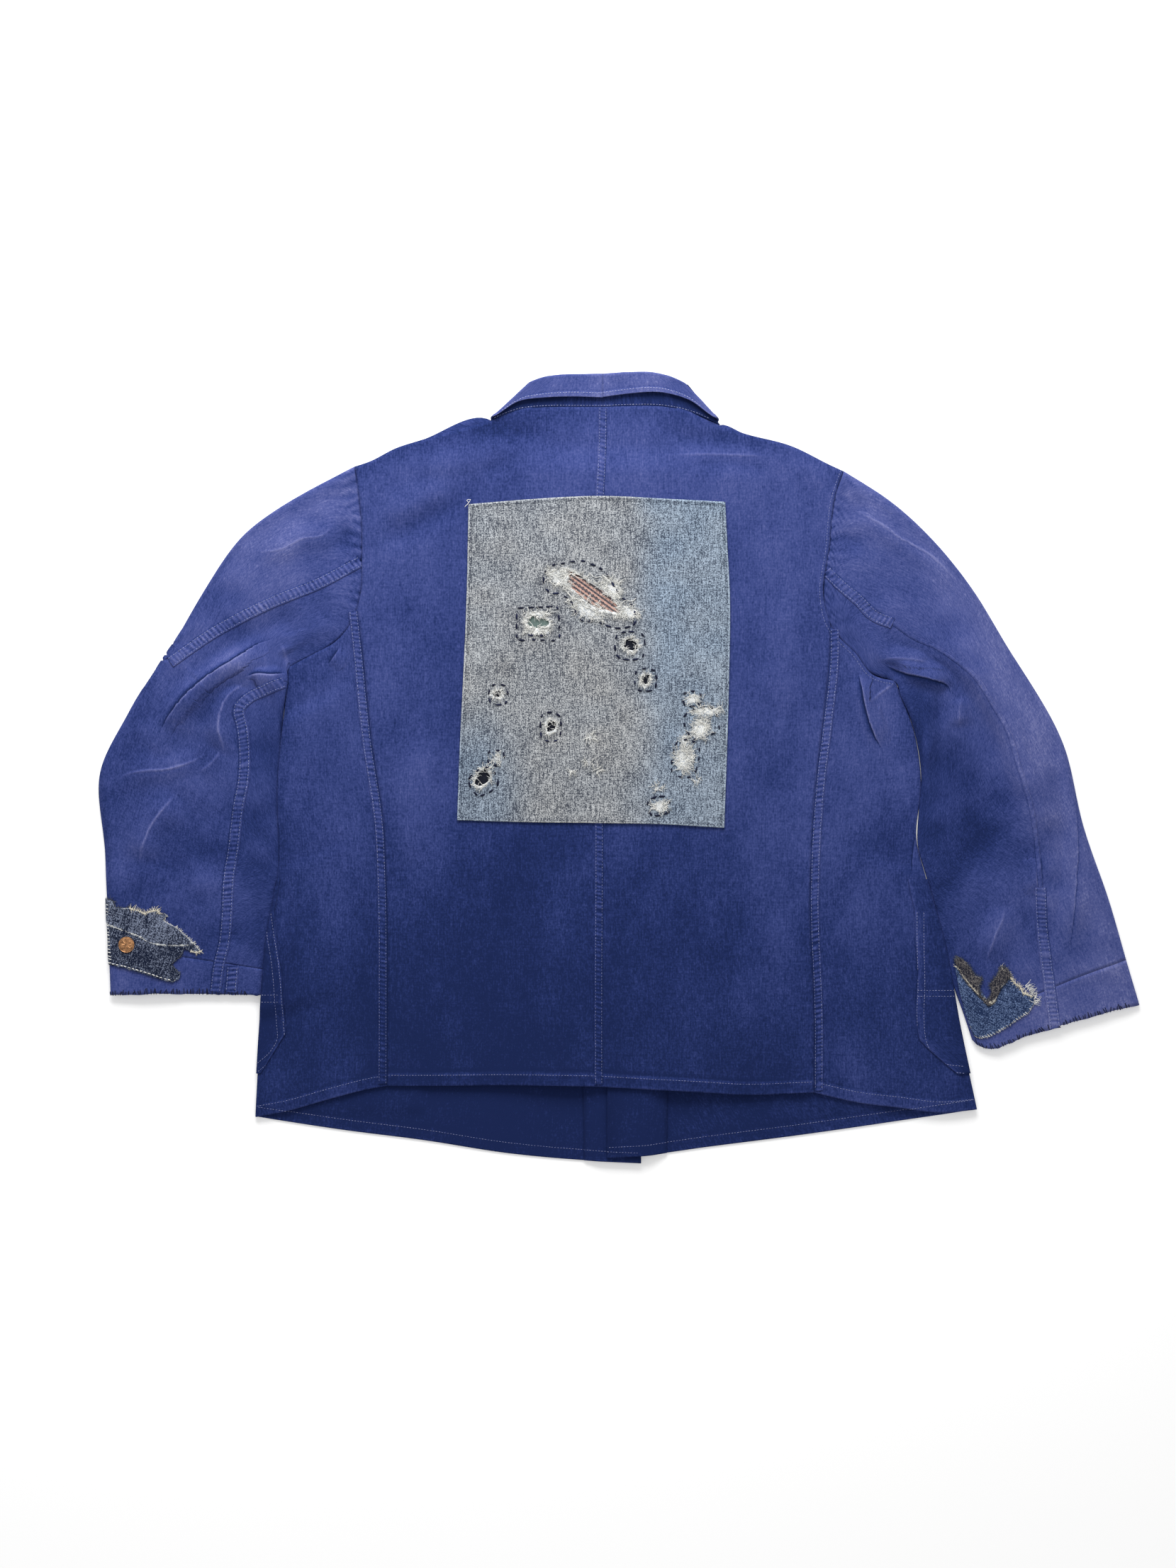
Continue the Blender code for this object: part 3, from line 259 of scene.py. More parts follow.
def soft_line(points, fractions):
    """Positions at the given shares of the length of a soft curve through the points."""
    knots = np.array(points, float)
    reach = length_along(knots)
    slopes = np.gradient(knots, reach, axis=0)
    dense = np.linspace(0, reach[-1], 400)
    k = np.clip(np.searchsorted(reach, dense, side="right") - 1, 0, len(knots) - 2)
    width = (reach[k + 1] - reach[k])[:, None]
    curve = hermite((dense - reach[k])[:, None] / width, width, knots[k], knots[k + 1], slopes[k], slopes[k + 1])
    length = length_along(curve)
    return picked(np.asarray(fractions) * length[-1], length, curve)


def shares_of(points):
    """Share of the whole length at which each point of a line lies."""
    reach = length_along(points)
    return reach / reach[-1]


def filled(bottom, top, left, right):
    """Plan points between four edges (a Coons patch): a row for each point of left and right."""
    low, high = shares_of(bottom)[None, :, None], shares_of(top)[None, :, None]
    along = (shares_of(left) + shares_of(right))[:, None, None] / 2
    across = (1 - along) * low + along * high
    return ((1 - across) * left[:, None] + across * right[:, None]
            + (1 - along) * (bottom - (1 - low) * bottom[0] - low * bottom[-1])
            + along * (top - (1 - high) * top[0] - high * top[-1]))


def ease(t):
    t = np.clip(t, 0, 1)
    return t * t * (3 - 2 * t)


def plateau(value, low, high, soft):
    """1 between low and high, falling to 0 over the distance soft on either side."""
    return ease((value - low) / soft + 1) * ease((high - value) / soft + 1)


def hump(value, middle, reach):
    """1 at the middle, falling softly to nearly 0 at twice the reach on either side."""
    return np.exp(-(((value - middle) / reach) ** 2))


def unit(vectors, least=1e-9):
    """Vectors made one long."""
    return vectors / np.maximum(np.linalg.norm(vectors, axis=-1, keepdims=True), least)


def looked_up(table, rows, columns, soft=True):
    """The values of a table at places between its rows and columns."""
    i, j = rows.astype(int), columns.astype(int)
    a, b = (ease(part) if soft else part for part in (rows - i, columns - j))
    if table.ndim > 2:
        a, b = a[..., None], b[..., None]
    return ((1 - a) * ((1 - b) * table[i, j] + b * table[i, j + 1])
            + a * ((1 - b) * table[i + 1, j] + b * table[i + 1, j + 1]))


def near_fold(x, y, points, reach):
    """Which plan points are near a crest, their signed distance (right of travel is positive) and its fading ends."""
    crest = soft_line(points, np.linspace(0, 1, 60))
    (low_x, low_y), (high_x, high_y) = crest.min(axis=0) - reach, crest.max(axis=0) + reach
    near = (x > low_x) & (x < high_x) & (y > low_y) & (y < high_y)
    off = np.stack([x[near], y[near]], axis=-1)[:, None] - crest
    away = np.hypot(off[..., 0], off[..., 1])
    nearest = away.argmin(axis=1)
    way = np.gradient(crest, axis=0)[nearest]
    off = off[np.arange(len(off)), nearest]
    signed = np.copysign(away.min(axis=1), way[:, 1] * off[:, 0] - way[:, 0] * off[:, 1])
    return near, signed, ease(nearest / 20) * ease((59 - nearest) / 20)


def ridges(x, y, folds):
    """How far the folds raise the cloth at each plan point."""
    raised, sunk = np.zeros(np.shape(x)), np.zeros(np.shape(x))
    for left, right, height, _, points in folds:
        near, signed, ends = near_fold(x, y, points, 3 * max(left, right))
        if near.any():
            lift = height * np.maximum(ends, 0.2) * hump(signed, 0, np.where(signed > 0, right, left))
            raised[near] = np.maximum(raised[near], lift)
            sunk[near] = np.minimum(sunk[near], lift)
    return raised + sunk


def creases(x, y, folds):
    """Signed distance of plan points from the nearest drawn crease, in parts of 20 mm, and its strength there."""
    across, strength, closest = np.full(x.shape, 1.0), np.zeros(x.shape), np.full(x.shape, 20.0)
    for _, _, _, mark, points in folds:
        if mark:
            near, signed, ends = near_fold(x, y, points, 20)
            apart = np.abs(signed) + 8 * (1 - ends)
            found = np.zeros(x.shape, bool)
            found[near] = apart < closest[near]
            inside = found[near]
            closest[found] = apart[inside]
            across[found] = signed[inside] / 20
            strength[found] = (mark * ends * ease((18 - np.abs(signed)) / 6))[inside]
    return across, strength


def mottle(x, y, size, seed, stretch=1.0):
    """Soft uneven values from -1 to 1 over the plan, in spots of about that size."""
    lattice = np.random.default_rng(seed).uniform(-1, 1, (97, 97))
    lattice[-1], lattice[:, -1] = lattice[0], lattice[:, 0]
    return looked_up(lattice, np.asarray(x) / size % 96, np.asarray(y) / (size * stretch) % 96)


def from_line(x, y, points):
    """Distance of each plan point from a soft line, and how far along it the nearest place is, in millimetres."""
    line = soft_line(points, np.linspace(0, 1, 160))
    length = length_along(line)
    flat = np.stack([np.ravel(x), np.ravel(y)], axis=1)
    best, place = [], []
    for part in np.array_split(flat, len(flat) // 4000 + 1):
        away = np.hypot(part[:, :1] - line[:, 0], part[:, 1:] - line[:, 1])
        best.append(away.min(axis=1))
        place.append(length[away.argmin(axis=1)])
    return np.concatenate(best).reshape(np.shape(x)), np.concatenate(place).reshape(np.shape(x))


def body_fade(x, y):
    """How faded the body is at each plan point."""
    last = len(FADE_X) - 1.001
    return looked_up(np.array(BODY_FADE), np.clip(np.interp(y, FADE_Y, range(len(FADE_Y))), 0, last),
                     np.clip(np.interp(x, FADE_X, range(len(FADE_X))), 0, last))


def back_top(x, y):
    """Height of the outer face of the uppermost layer of the body."""
    crown = (BUTTON_THICK + 2 * LAYER) * plateau(x, -22, 78, 120) * plateau(y, -900, -72, 34)
    return TOP + crown + ridges(x, y, BODY_FOLDS)


def with_height(plan, heights):
    return np.concatenate([plan, np.asarray(heights)[..., None]], axis=-1)


def facing(grid, keep=None, ring=False):
    """Unit normals at the points of a grid, from the cells that are kept."""
    after = np.roll(grid, -1, axis=1) if ring else grid[:, 1:]
    here = grid if ring else grid[:, :-1]
    cell = unit(np.cross(after[1:] - here[:-1], here[1:] - after[:-1]))
    if keep is not None:
        cell = cell * keep[..., None]
    total = np.zeros_like(grid)
    for rows in (slice(None, -1), slice(1, None)):
        total[rows, : cell.shape[1]] += cell
        total[rows, 0 if ring else 1 :] += np.roll(cell, 1, axis=1) if ring else cell
    return unit(total)


def add_mesh(name, points, faces, finish, grain=None, wear_and_shade=None, flat_from=None):
    """A mesh object from points in garment millimetres; grain holds a map point for each corner, in millimetres."""
    points = np.array(points, float)
    points[:, 2] = np.maximum(points[:, 2], -0.3)
    used, faces = np.unique(faces, return_inverse=True)
    faces = faces.reshape(-1, 4)
    mesh = bpy.data.meshes.new(name)
    mesh.from_pydata((points[used] * 0.001 + neck_seam).tolist(), [], faces.tolist())
    if grain is not None:
        mesh.uv_layers.new(name="grain").uv.foreach_set("vector", (grain * 0.001).ravel())
    if wear_and_shade is not None:
        colours = np.zeros((len(used), 4))
        colours[:, : wear_and_shade.shape[1]] = wear_and_shade[used]
        mesh.attributes.new("wear_and_shade", "FLOAT_COLOR", "POINT").data.foreach_set("color", colours.ravel())
    mesh.polygons.foreach_set("use_smooth", np.arange(len(faces)) < (len(faces) if flat_from is None else flat_from))
    mesh.materials.append(finish)
    made = put(name, mesh)
    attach(made, "root")
    return made


def cloth(name, outer, away, finish, grain, wear_and_shade, thick=CLOTH, keep=None, ring=False):
    """A closed wall of cloth between the grid of its outer face and the same grid moved in, against away.

    grain gives the map point of each point of the grid, and the argument after it the fading with its painted light and
    shade: paleness, painted shade, and the crease's distance and strength. On a ring the map has one column more than
    the grid.
    """
    rows, columns = outer.shape[:2]
    count = rows * columns
    number = np.arange(count).reshape(rows, columns)
    mapped = np.arange(rows * grain.shape[1]).reshape(rows, -1)
    after = np.roll(number, -1, axis=1) if ring else number[:, 1:]
    here = number if ring else number[:, :-1]
    cells = np.stack([here[:-1], after[:-1], after[1:], here[1:]], axis=-1)
    spots = np.stack([mapped[:-1, :-1], mapped[:-1, 1:], mapped[1:, 1:], mapped[1:, :-1]], axis=-1)
    chosen = np.ones(cells.shape[:2], bool) if keep is None else keep
    cells, spots = cells[chosen], spots[chosen]
    points, outward = outer.reshape(-1, 3), away.reshape(-1, 3)
    cross = np.cross(points[cells[:, 2]] - points[cells[:, 0]], points[cells[:, 3]] - points[cells[:, 1]])
    if (cross * outward[cells[:, 0]]).sum() < 0:
        cells, spots = cells[:, ::-1], spots[:, ::-1]
    edge, edge_spot = (np.concatenate([part[:, [k, (k + 1) % 4]] for k in range(4)]) for part in (cells, spots))
    key = edge.min(axis=1) * count + edge.max(axis=1)
    _, first, times = np.unique(key, return_index=True, return_counts=True)
    rim, rim_spot = edge[first[times == 1]], edge_spot[first[times == 1]]
    faces = np.concatenate([cells, cells[:, ::-1] + count,
                            np.stack([rim[:, 1], rim[:, 0], rim[:, 0] + count, rim[:, 1] + count], axis=1)])
    corners = np.concatenate([spots, spots[:, ::-1], rim_spot[:, [1, 0, 0, 1]]])
    return add_mesh(name, np.concatenate([points, points - outward * thick]), faces, finish,
                    grain.reshape(-1, 2)[corners.ravel()], np.concatenate([wear_and_shade.reshape(-1, wear_and_shade.shape[-1])] * 2),
                    flat_from=2 * len(cells))


def sewn(piece, stands_for, slot, **how):
    """The CAD node that a piece of cloth stands for is hidden; the piece, its finish slot and the other settings are
    not used.
    """
    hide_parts(stands_for)


def spacing(length, cell, low=0.0, high=0.0, fine=1.6):
    """Shares of a length at which a grid has its rows: fine near the ends, even between."""
    even = np.linspace(low, length - high, max(2, round((length - low - high) / cell) + 1))
    places = np.concatenate([np.arange(0, low, fine), even, length - np.arange(0, high, fine)])
    places = np.unique(np.round(places, 2))
    keep = np.append(True, np.diff(places) > fine * 0.4)
    keep[-1] = True
    return places[keep] / length


def new_group(name, outputs, **inputs):
    """An empty shader group: its tree, a wire from each input, and its outputs' sockets."""
    tree = bpy.data.node_groups.new(name, "ShaderNodeTree")
    for label, value in inputs.items():
        kind = "Vector" if value is None else "Color" if isinstance(value, tuple) else "Float"
        socket = tree.interface.new_socket(label.replace("_", " "), in_out="INPUT", socket_type="NodeSocket" + kind)
        if value is not None:
            socket.default_value = value
    for label in outputs:
        kind = "Color" if label == "Colour" else "Float"
        tree.interface.new_socket(label, in_out="OUTPUT", socket_type="NodeSocket" + kind)
    given = tree.nodes.new("NodeGroupInput").outputs
    return tree, [Wire(tree, given[label.replace("_", " ")]) for label in inputs], tree.nodes.new("NodeGroupOutput").inputs


def stretched(place, across, along):
    """The map point divided by a size across and a size along the grain, both in metres."""
    return node(place.tree, "VectorMath", place, (1 / across, 1 / along, 1), operation="MULTIPLY")


def noise(place, across, along, detail=2.0, roughness=0.6, distortion=0.0):
    """Uneven values in spots of that size across and along the grain."""
    return node(place.tree, "TexNoise", stretched(place, across, along), out="Fac", in_Scale=1.0, in_Detail=detail,
                in_Roughness=roughness, in_Distortion=distortion)


def mixed(share, first, second, **how):
    """A colour between two, at a share from 0 to 1."""
    first, second = (colour if isinstance(colour, Wire) else (*colour, 1) for colour in (first, second))
    return node(share.tree, "Mix", share, out=2, data_type="RGBA", in_6=first, in_7=second, **how)


def raised(height, strength, distance, normal=None):
    """The normal of a surface that a height raises."""
    return node(height.tree, "Bump", in_Strength=strength, in_Distance=distance, in_Height=height, in_Normal=normal)


def worn_finish(name, **settings):
    """A new material, the map point along its grain, its piece's fading and painted shade by channel, and its shader's
    inputs.
    """
    made, tree, inputs = new_finish(name, **settings)
    colour, strength = node(tree, "Attribute", out=("Color", "Alpha"), attribute_name="wear_and_shade")
    channels = node(tree, "SeparateColor", colour, out=("Red", "Green", "Blue"))
    return made, node(tree, "UVMap", uv_map="grain"), (*channels, strength), inputs


# Herringbone: twill lines that turn back every few millimetres, with uneven yarns along and across.
herringbone, (place, rib, line), out = new_group("herringbone", ("Lines", "Yarns", "Height"), Vector=None, Rib=0.0045,
                                                 Line=0.0016)
across, along = node(herringbone, "SeparateXYZ", place, out=("X", "Y"))
lines = ((across.math("PINGPONG", rib) * 1.3 + along).math("DIVIDE", line) * (2 * math.pi)).math("SINE")
yarns = noise(place, 0.0013, 0.010, 3.0) * 0.40 + noise(place, 0.02, 0.0011, 2.0, 0.5) * 0.14
yarns = yarns + noise(place, 0.0020, 0.0026) * 0.46
fill(out["Lines"], lines)
fill(out["Yarns"], yarns)
fill(out["Height"], lines * 0.25 + yarns)

# Fading: the dye goes pale and a little lilac where the cloth is rubbed and washed; the Fade value also brings painted
# shade, darker in folds and creases, and painted light on crests.
fading, (place, fade, yarns, lines), out = new_group("fading", ("Colour",), Vector=None, Fade=0.5, Yarns=0.5, Lines=0.0)
total = (yarns - 0.5) * 1.6 + fade + lines * 0.03
for across, along, detail, roughness, amount in ((0.035, 0.06, 3.0, 0.6, 0.38), (0.0052, 0.0075, 3.0, 0.65, 0.36),
                                                 (0.0036, 0.045, 2.0, 0.6, 0.20)):
    total = total + (noise(place, across, along, detail, roughness) - 0.5) * amount
dye = node(fading, "ValToRGB", total)
stops = dye.socket.node.color_ramp.elements
for place, colour in ((0.22, (0.0190, 0.0330, 0.1320)), (0.5, (0.0450, 0.0640, 0.2150)), (0.8, (0.0860, 0.1040, 0.2820))):
    stops.new(place).color = (*colour, 1)
stops[0].color, stops[-1].color = (0.0105, 0.0200, 0.0830, 1), (0.1500, 0.1650, 0.3600, 1)
fill(out["Colour"], dye)

# A crease pressed into the cloth: where it folds over, a painted highlight just before its edge and a painted shadow
# with a dark core line just behind it; where it is only rubbed, a pale worn line; and a small step in the surface.
crease_wear_and_shade, (across, strength), out = new_group("crease_wear_and_shade", ("Shade", "Height"), Across=1.0, Strength=0.0)
distance = across * 20.0
painted_shadow_behind = (distance * -0.125 + 1.0).math("MAXIMUM", 0.0)
painted_shadow_behind = painted_shadow_behind * painted_shadow_behind * distance.math("GREATER_THAN", 0.0)
edge = (distance.math("ABSOLUTE") * -0.42 + 1.0).math("MAXIMUM", 0.0)
painted_dark_core = ((distance - 0.9).math("ABSOLUTE") * -0.8 + 1.0).math("MAXIMUM", 0.0)
folded, rubbed = strength.math("MAXIMUM", 0.0), edge * (strength * -1.0).math("MAXIMUM", 0.0)
step = node(crease_wear_and_shade, "MapRange", distance, -1.5, 2.0, 2.5, 0.0, interpolation_type="SMOOTHSTEP")
# Painted shade: the shadow behind the fold and its dark core line, with a painted highlight just before it.
shade = painted_shadow_behind * -0.85 + edge * distance.math("LESS_THAN", 0.0) * 0.50 + painted_dark_core * -0.45
fill(out["Shade"], shade * folded + rubbed * 0.75)
fill(out["Height"], step * folded + rubbed * 1.2)

# The blue cotton takes its fading, its painted light and shade and its creases from each piece's attribute: red is
# paleness, green is painted shade, blue and alpha the crease, whose group adds more painted shade.
blue_cloth, place, (pale, dark, across, strength), inputs = worn_finish("work_cloth", Roughness=0.95,
                                                                        Specular_IOR_Level=0.05)
tree = place.tree
lines, yarns, height = node(tree, "Group", out=("Lines", "Yarns", "Height"), node_tree=herringbone, in_Vector=place)
shade, step = node(tree, "Group", out=("Shade", "Height"), node_tree=crease_wear_and_shade, in_Across=across, in_Strength=strength)
fill(inputs["Base Color"], node(tree, "Group", node_tree=fading, in_Vector=place, in_Fade=pale - dark + shade,
                                in_Yarns=yarns, in_Lines=lines))
fill(inputs["Normal"], raised(step, 0.8, 0.0010, raised(height, 0.25, 0.0006)))


def small_relief(x, y, seed=3):
    """Low uneven swells that keep any large piece of washed cotton from lying flat."""
    return (0.45 * (1 + mottle(x, y, 46, seed, 1.7)) + 0.22 * (1 + mottle(x, y, 17, seed + 1, 1.8))
            + 0.08 * (1 + mottle(x, y, 7, seed + 2, 1.6)))


def puckers(distance, along, reach=9.0, period=6.5, seed=11):
    """Small gathers that run out from a stitched line."""
    drawn = np.sin(2 * math.pi * (along / period + 0.35 * mottle(along, distance, 13, seed)))
    return drawn * hump(distance, 0, reach) * (0.6 + 0.4 * mottle(along, distance, 30, seed + 1))


def body_relief(x, y, side):
    """What the body's outer face has beside its main folds: swells, and gathers along each seam."""
    raised = small_relief(x, y)
    for key, strength, reach in (("centre", 0.35, 9), ("side_seam", 0.45, 11), ("armhole_upper", 0.55, 9),
                                 ("armhole_lower", 0.4, 8)):
        raised = raised + strength * puckers(*from_line(x, y, LINES[side][key]), reach)
    return raised


def body_wear_and_shading(x, y, relief):
    """Fading of the body's outer face by place, with painted light and shade: paler on what stands up and on fold
    crests, darker in troughs.
    """
    folds = ridges(x, y, BODY_FOLDS)
    return body_fade(x, y) - 0.10 + 0.16 * (relief - 0.7) + 0.05 * mottle(x, y, 90, 21) + 0.05 * np.clip(folds, -4, 3)


def back_panel(side):
    """Half of the back as a grid of its outer face, with its wear."""
    line = LINES[side]
    neck = soft_line(line["neck"], spacing(118, 3.6))
    top = np.concatenate([neck, soft_line(line["shoulder"], spacing(155, 3.8))[1:]])
    edge = np.concatenate([soft_line(line["side_seam"][::-1], spacing(505, 3.7, low=15)),
                           soft_line(line["armhole_upper"][::-1], spacing(150, 3.7))[1:]])
    plan = filled(soft_line(line["hem_back"], shares_of(top)), top, soft_line(line["centre"][::-1], shares_of(edge)), edge)
    x, y = plan[..., 0], plan[..., 1]
    heights = back_top(x, y)
    down = np.interp(np.arange(len(top)), [(len(neck) - 1) * 0.5, len(neck) - 1, len(top)], [0, 1, 1])
    from_top, from_hem = (np.linalg.norm(plan - plan[row], axis=-1) for row in (-1, 0))
    heights = heights - down * np.interp(from_top, [0, 4, 10, 40], [1, 0.82, 0.5, 0]) * (heights - EDGE_HEIGHT)
    relief = body_relief(x, y, side) * ease(from_top / 30)
    # Paler at the worn hem edge. The second channel is a painted shadow just above the hem's raised turned edge.
    pale = body_wear_and_shading(x, y, relief) + 0.25 * np.exp(-from_hem / 1.5) + 0.12 * hump(from_hem, 12.5, 1.5)
    return (with_height(plan, heights + relief + 0.9 * ease((HEM_DEPTH - from_hem) / 1.5)),
            np.stack([pale, 0.16 * hump(from_hem, 15.5, 1.6), *creases(x, y, BODY_FOLDS)], axis=-1))


for side in ("left", "right"):
    grid, wear_and_shade = back_panel(side)
    away = facing(grid)
    piece = cloth("back_panel_" + side, grid, away * np.sign(away[..., 2:]), blue_cloth, grid[..., :2], wear_and_shade)
    sewn(piece, "back_" + side, "work_cloth", flat=(0.275, 0.735), rests_on=["front_panel_" + side], area=0.185)

# ---- The fronts, their facings and pockets ---------------------------------------------------------------------------
# Each front runs from the side seam over the side, round the fold and under the back to its buttoned edge. A facing
# backs that edge, and a patch pocket wraps the fold. All are of the same cotton, sewn with pale blue thread.

FOLD_ROWS = [-728, -705, -668, -634, -602, -568, -534, -500, -460, -418, -376, -332]
ARMHOLE_ROWS = 6
SIDE_SHARES = {"left": [0, 0.26, 0.52, 0.76, 1], "right": [0, 0.22, 0.44, 0.66, 1]}
FRONT_COLUMNS = {  # X at the hem and X at the top of lines that run up each front
    "left": [(-342, -247), (-300, -225), (-250, -200), (-200, -170), (-140, -115), (-70, -70), (-16.5, -16.5), (8, 8)],
    "right": [(372, 246), (320, 225), (272, 200), (236, 170), (180, 126), (120, 98), (70.5, 70.5), (47.5, 47.5)],
}
FACING_FROM = {"left": -16.5, "right": 70.5}
POCKET_ROWS = [-705, -668, -634, -602, -568, -534, -500]
POCKET_EDGE = {  # how far the pocket's back edge lies from the fold in each of those rows
    "left": [4, 29, 24, 20, 12, 3.5, 3.5],
    "right": [12, 46, 43, 35, 31, 22.5, 20],
}



def front_low(x, y, side):
    """Height of a front's outer face, which lies on the table, on its pocket, its collar, the buttons or a sleeve."""
    fold = np.interp(y, *np.array(sorted((py, px) for px, py in LINES[side]["fold"])).T)
    inside = np.abs(fold - x)
    pocket = LAYER * plateau(inside, 0, POCKET_WIDTH + 6, 20) * plateau(y, POCKET_LOW - 34, POCKET_HIGH + 4, 14)
    collar = LAYER * plateau(y, -160, 50, 30)
    if side == "left":
        pocket = pocket + SLEEVE_HEIGHT * plateau(inside, -20, 24, 24) * plateau(y, -632, -340, 20)
        lap = (BUTTON_THICK + GAP) * plateau(x, BUTTON_AT[0] - 22, 100, 22)
    else:
        lap = (BUTTON_THICK + GAP + 2 * LAYER) * plateau(x, -100, FREE_EDGE["left"] + 3, 26)
    return np.maximum(np.maximum(pocket, collar), lap)


def fold_shares(side, rows=FOLD_ROWS, steps=200):
    """Where rows between the hem and the underarm cross the side fold, as shares of its length."""
    line = soft_line(LINES[side]["fold"][::-1], np.linspace(0, 1, steps))
    return np.interp([line[0, 1], *rows, line[-1, 1]], line[:, 1], np.linspace(0, 1, steps))


def fold_points(fold, low, inward, turns):
    """The outer face round a pressed fold, from the tangent on top to the tangent below."""
    x = fold[:, None, 0] + inward * FOLD * (1 - np.sin(turns))
    z = low[:, None] + FOLD + FOLD * np.cos(turns)
    return np.stack([x, np.broadcast_to(fold[:, None, 1], x.shape), z], axis=-1)


def end_line_at(side, key, places):
    """Points at the given X on the line that a front ends in: its hem, or its shoulder and neck."""
    line = LINES[side]
    points = line["hem_front"] if key == "hem" else line["shoulder"][::-1] + line["neck_front"][1:]
    curve = soft_line(points, np.linspace(0, 1, 300))
    curve = curve[np.argsort(curve[:, 0])]
    return np.stack([places, np.interp(places, curve[:, 0], curve[:, 1])], axis=1)


def front_grid(side, shares, across, turns, columns, tip_rows):
    """Outer face of a front: over the side, round the fold and under to the free edge; also which cells are cloth."""
    line, inward = LINES[side], 1 if side == "left" else -1
    fold = soft_line(line["fold"][::-1], shares)
    rim = fold_points(fold, front_low(fold[:, 0], fold[:, 1], side), inward, turns)
    rows, over = len(shares), len(across) - 1
    seam = soft_line(line["side_seam"][::-1], shares)
    hem, armhole = soft_line(line["hem_side"], across), soft_line(line["armhole_lower"], across)
    tangent = rim[:, 0, :2]
    hem[-1], armhole[-1] = tangent[0], tangent[-1]
    plan = filled(hem, armhole, seam, tangent)
    share = ease(across)[None, :]
    seam_height = back_top(seam[:, 0], seam[:, 1])[:, None]
    folds = ridges(plan[..., 0], plan[..., 1], BODY_FOLDS) - ridges(seam[:, 0], seam[:, 1], BODY_FOLDS)[:, None]
    side_part = with_height(plan, (1 - share) * (seam_height + folds) + share * rim[:, :1, 2])
    outer_edge = np.concatenate([rim[:, -1, :2], soft_line(line["armhole_front"][::-1], tip_rows)[1:]])
    bottom, upper = (np.concatenate([start, end_line_at(side, key, [*places, FREE_EDGE[side]])]) for start, key, places in
                     zip((outer_edge[:1], outer_edge[-1:]), ("hem", "top"), zip(*columns)))
    inner_edge = bottom[-1] + shares_of(outer_edge)[:, None] * (upper[-1] - bottom[-1])
    under = filled(bottom, upper, outer_edge, inner_edge)
    heights = front_low(under[..., 0], under[..., 1], side)
    heights[:rows, 0] = rim[:, -1, 2]
    ahead = over + len(turns) - 1
    grid = np.zeros((len(outer_edge), ahead + under.shape[1], 3))
    grid[:rows, :over] = side_part[:, :-1]
    grid[:rows, over:ahead] = rim[:, :-1]
    grid[:, ahead:] = with_height(under, heights)
    grid[rows:, :ahead] = grid[rows - 1, :ahead]
    keep = np.ones((len(outer_edge) - 1, grid.shape[1] - 1), bool)
    keep[rows - 1 :, :ahead] = False
    return grid, keep, over


def between(columns, cell):
    """More lines between the lines that run up a front, at most a cell apart at the hem."""
    knots = np.array(columns, float)
    parts = [knots[:1]]
    for start, end in zip(knots, knots[1:]):
        parts.append(np.linspace(start, end, max(1, round(abs(end[0] - start[0]) / cell)) + 1)[1:])
    return np.concatenate(parts)


def across_map(grid):
    """Map points of a piece that turns round a fold: millimetres across the cloth, and Y."""
    step = np.linalg.norm(np.diff(grid, axis=1), axis=-1)
    return np.stack([np.concatenate([np.zeros((len(grid), 1)), np.cumsum(step, axis=1)], axis=1), grid[..., 1]], axis=-1)


def fine_front(side):
    """The front's own fine grid with its relief, its wear and its painted shade."""
    shares = np.append(spacing(482, 4.0, low=15), fold_shares(side, (POCKET_LOW, POCKET_HIGH), 300)[1:-1])
    grid, keep, fold_column = front_grid(side, np.unique(np.round(shares, 5)), spacing(150, 3.8),
                                         np.radians(np.linspace(0, 180, 9)), between(FRONT_COLUMNS[side], 5.5),
                                         np.linspace(0, 1, 44))
    x, y, z = (grid[..., k] for k in range(3))
    outward = facing(grid, keep)
    outward *= -np.sign(outward[0, -1, 2])
    column = np.arange(grid.shape[1])
    over = np.clip((fold_column + 2 - column) / 6, 0, 1) * np.ones_like(x)
    seam_distance, seam_along = from_line(x, y, LINES[side]["side_seam"])
    gathers = 0.3 * puckers(seam_distance, seam_along, 11) + 0.25 * puckers(*from_line(x, y, LINES[side]["armhole_lower"]), 9)
    relief = (small_relief(x, y) + gathers) * over
    from_hem = np.linalg.norm(grid - grid[:1], axis=-1)
    relief = relief * ease(seam_distance / 6 + 0.35) + 0.5 * ease((HEM_DEPTH - from_hem) / 1.5)
    below = 0.25 * (1 + mottle(x, y, 50, 7)) * (1 - over) * np.clip((column - fold_column - 8) / 6, 0, 1)
    below = np.where(over > 0, 0, below * ease((np.abs(z) - 0.4) / 1.0))
    pale = body_wear_and_shading(x, y, 0.7 + (relief - 0.7) * over) + 0.22 * np.exp(-from_hem / 1.5)
    pale = pale + 0.16 * hump(column, fold_column + 3.5, 3.5) * (0.7 + 0.5 * mottle(x, y, 14, 29))
    grid = grid + outward * np.where(over > 0, relief, 0)[..., None]
    grid[..., 2] += below
    across, strength = creases(grid[..., 0], grid[..., 1], BODY_FOLDS)
    strength[:, fold_column + 1 :] = 0
    # The second channel is painted shade: a shadow just above the hem, and darker where the front turns round the fold
    # and under.
    return grid, keep, fold_column, np.stack([pale, 0.14 * hump(from_hem, 15.5, 1.6) + 0.08 * (1 - over), across, strength],
                                             axis=-1)


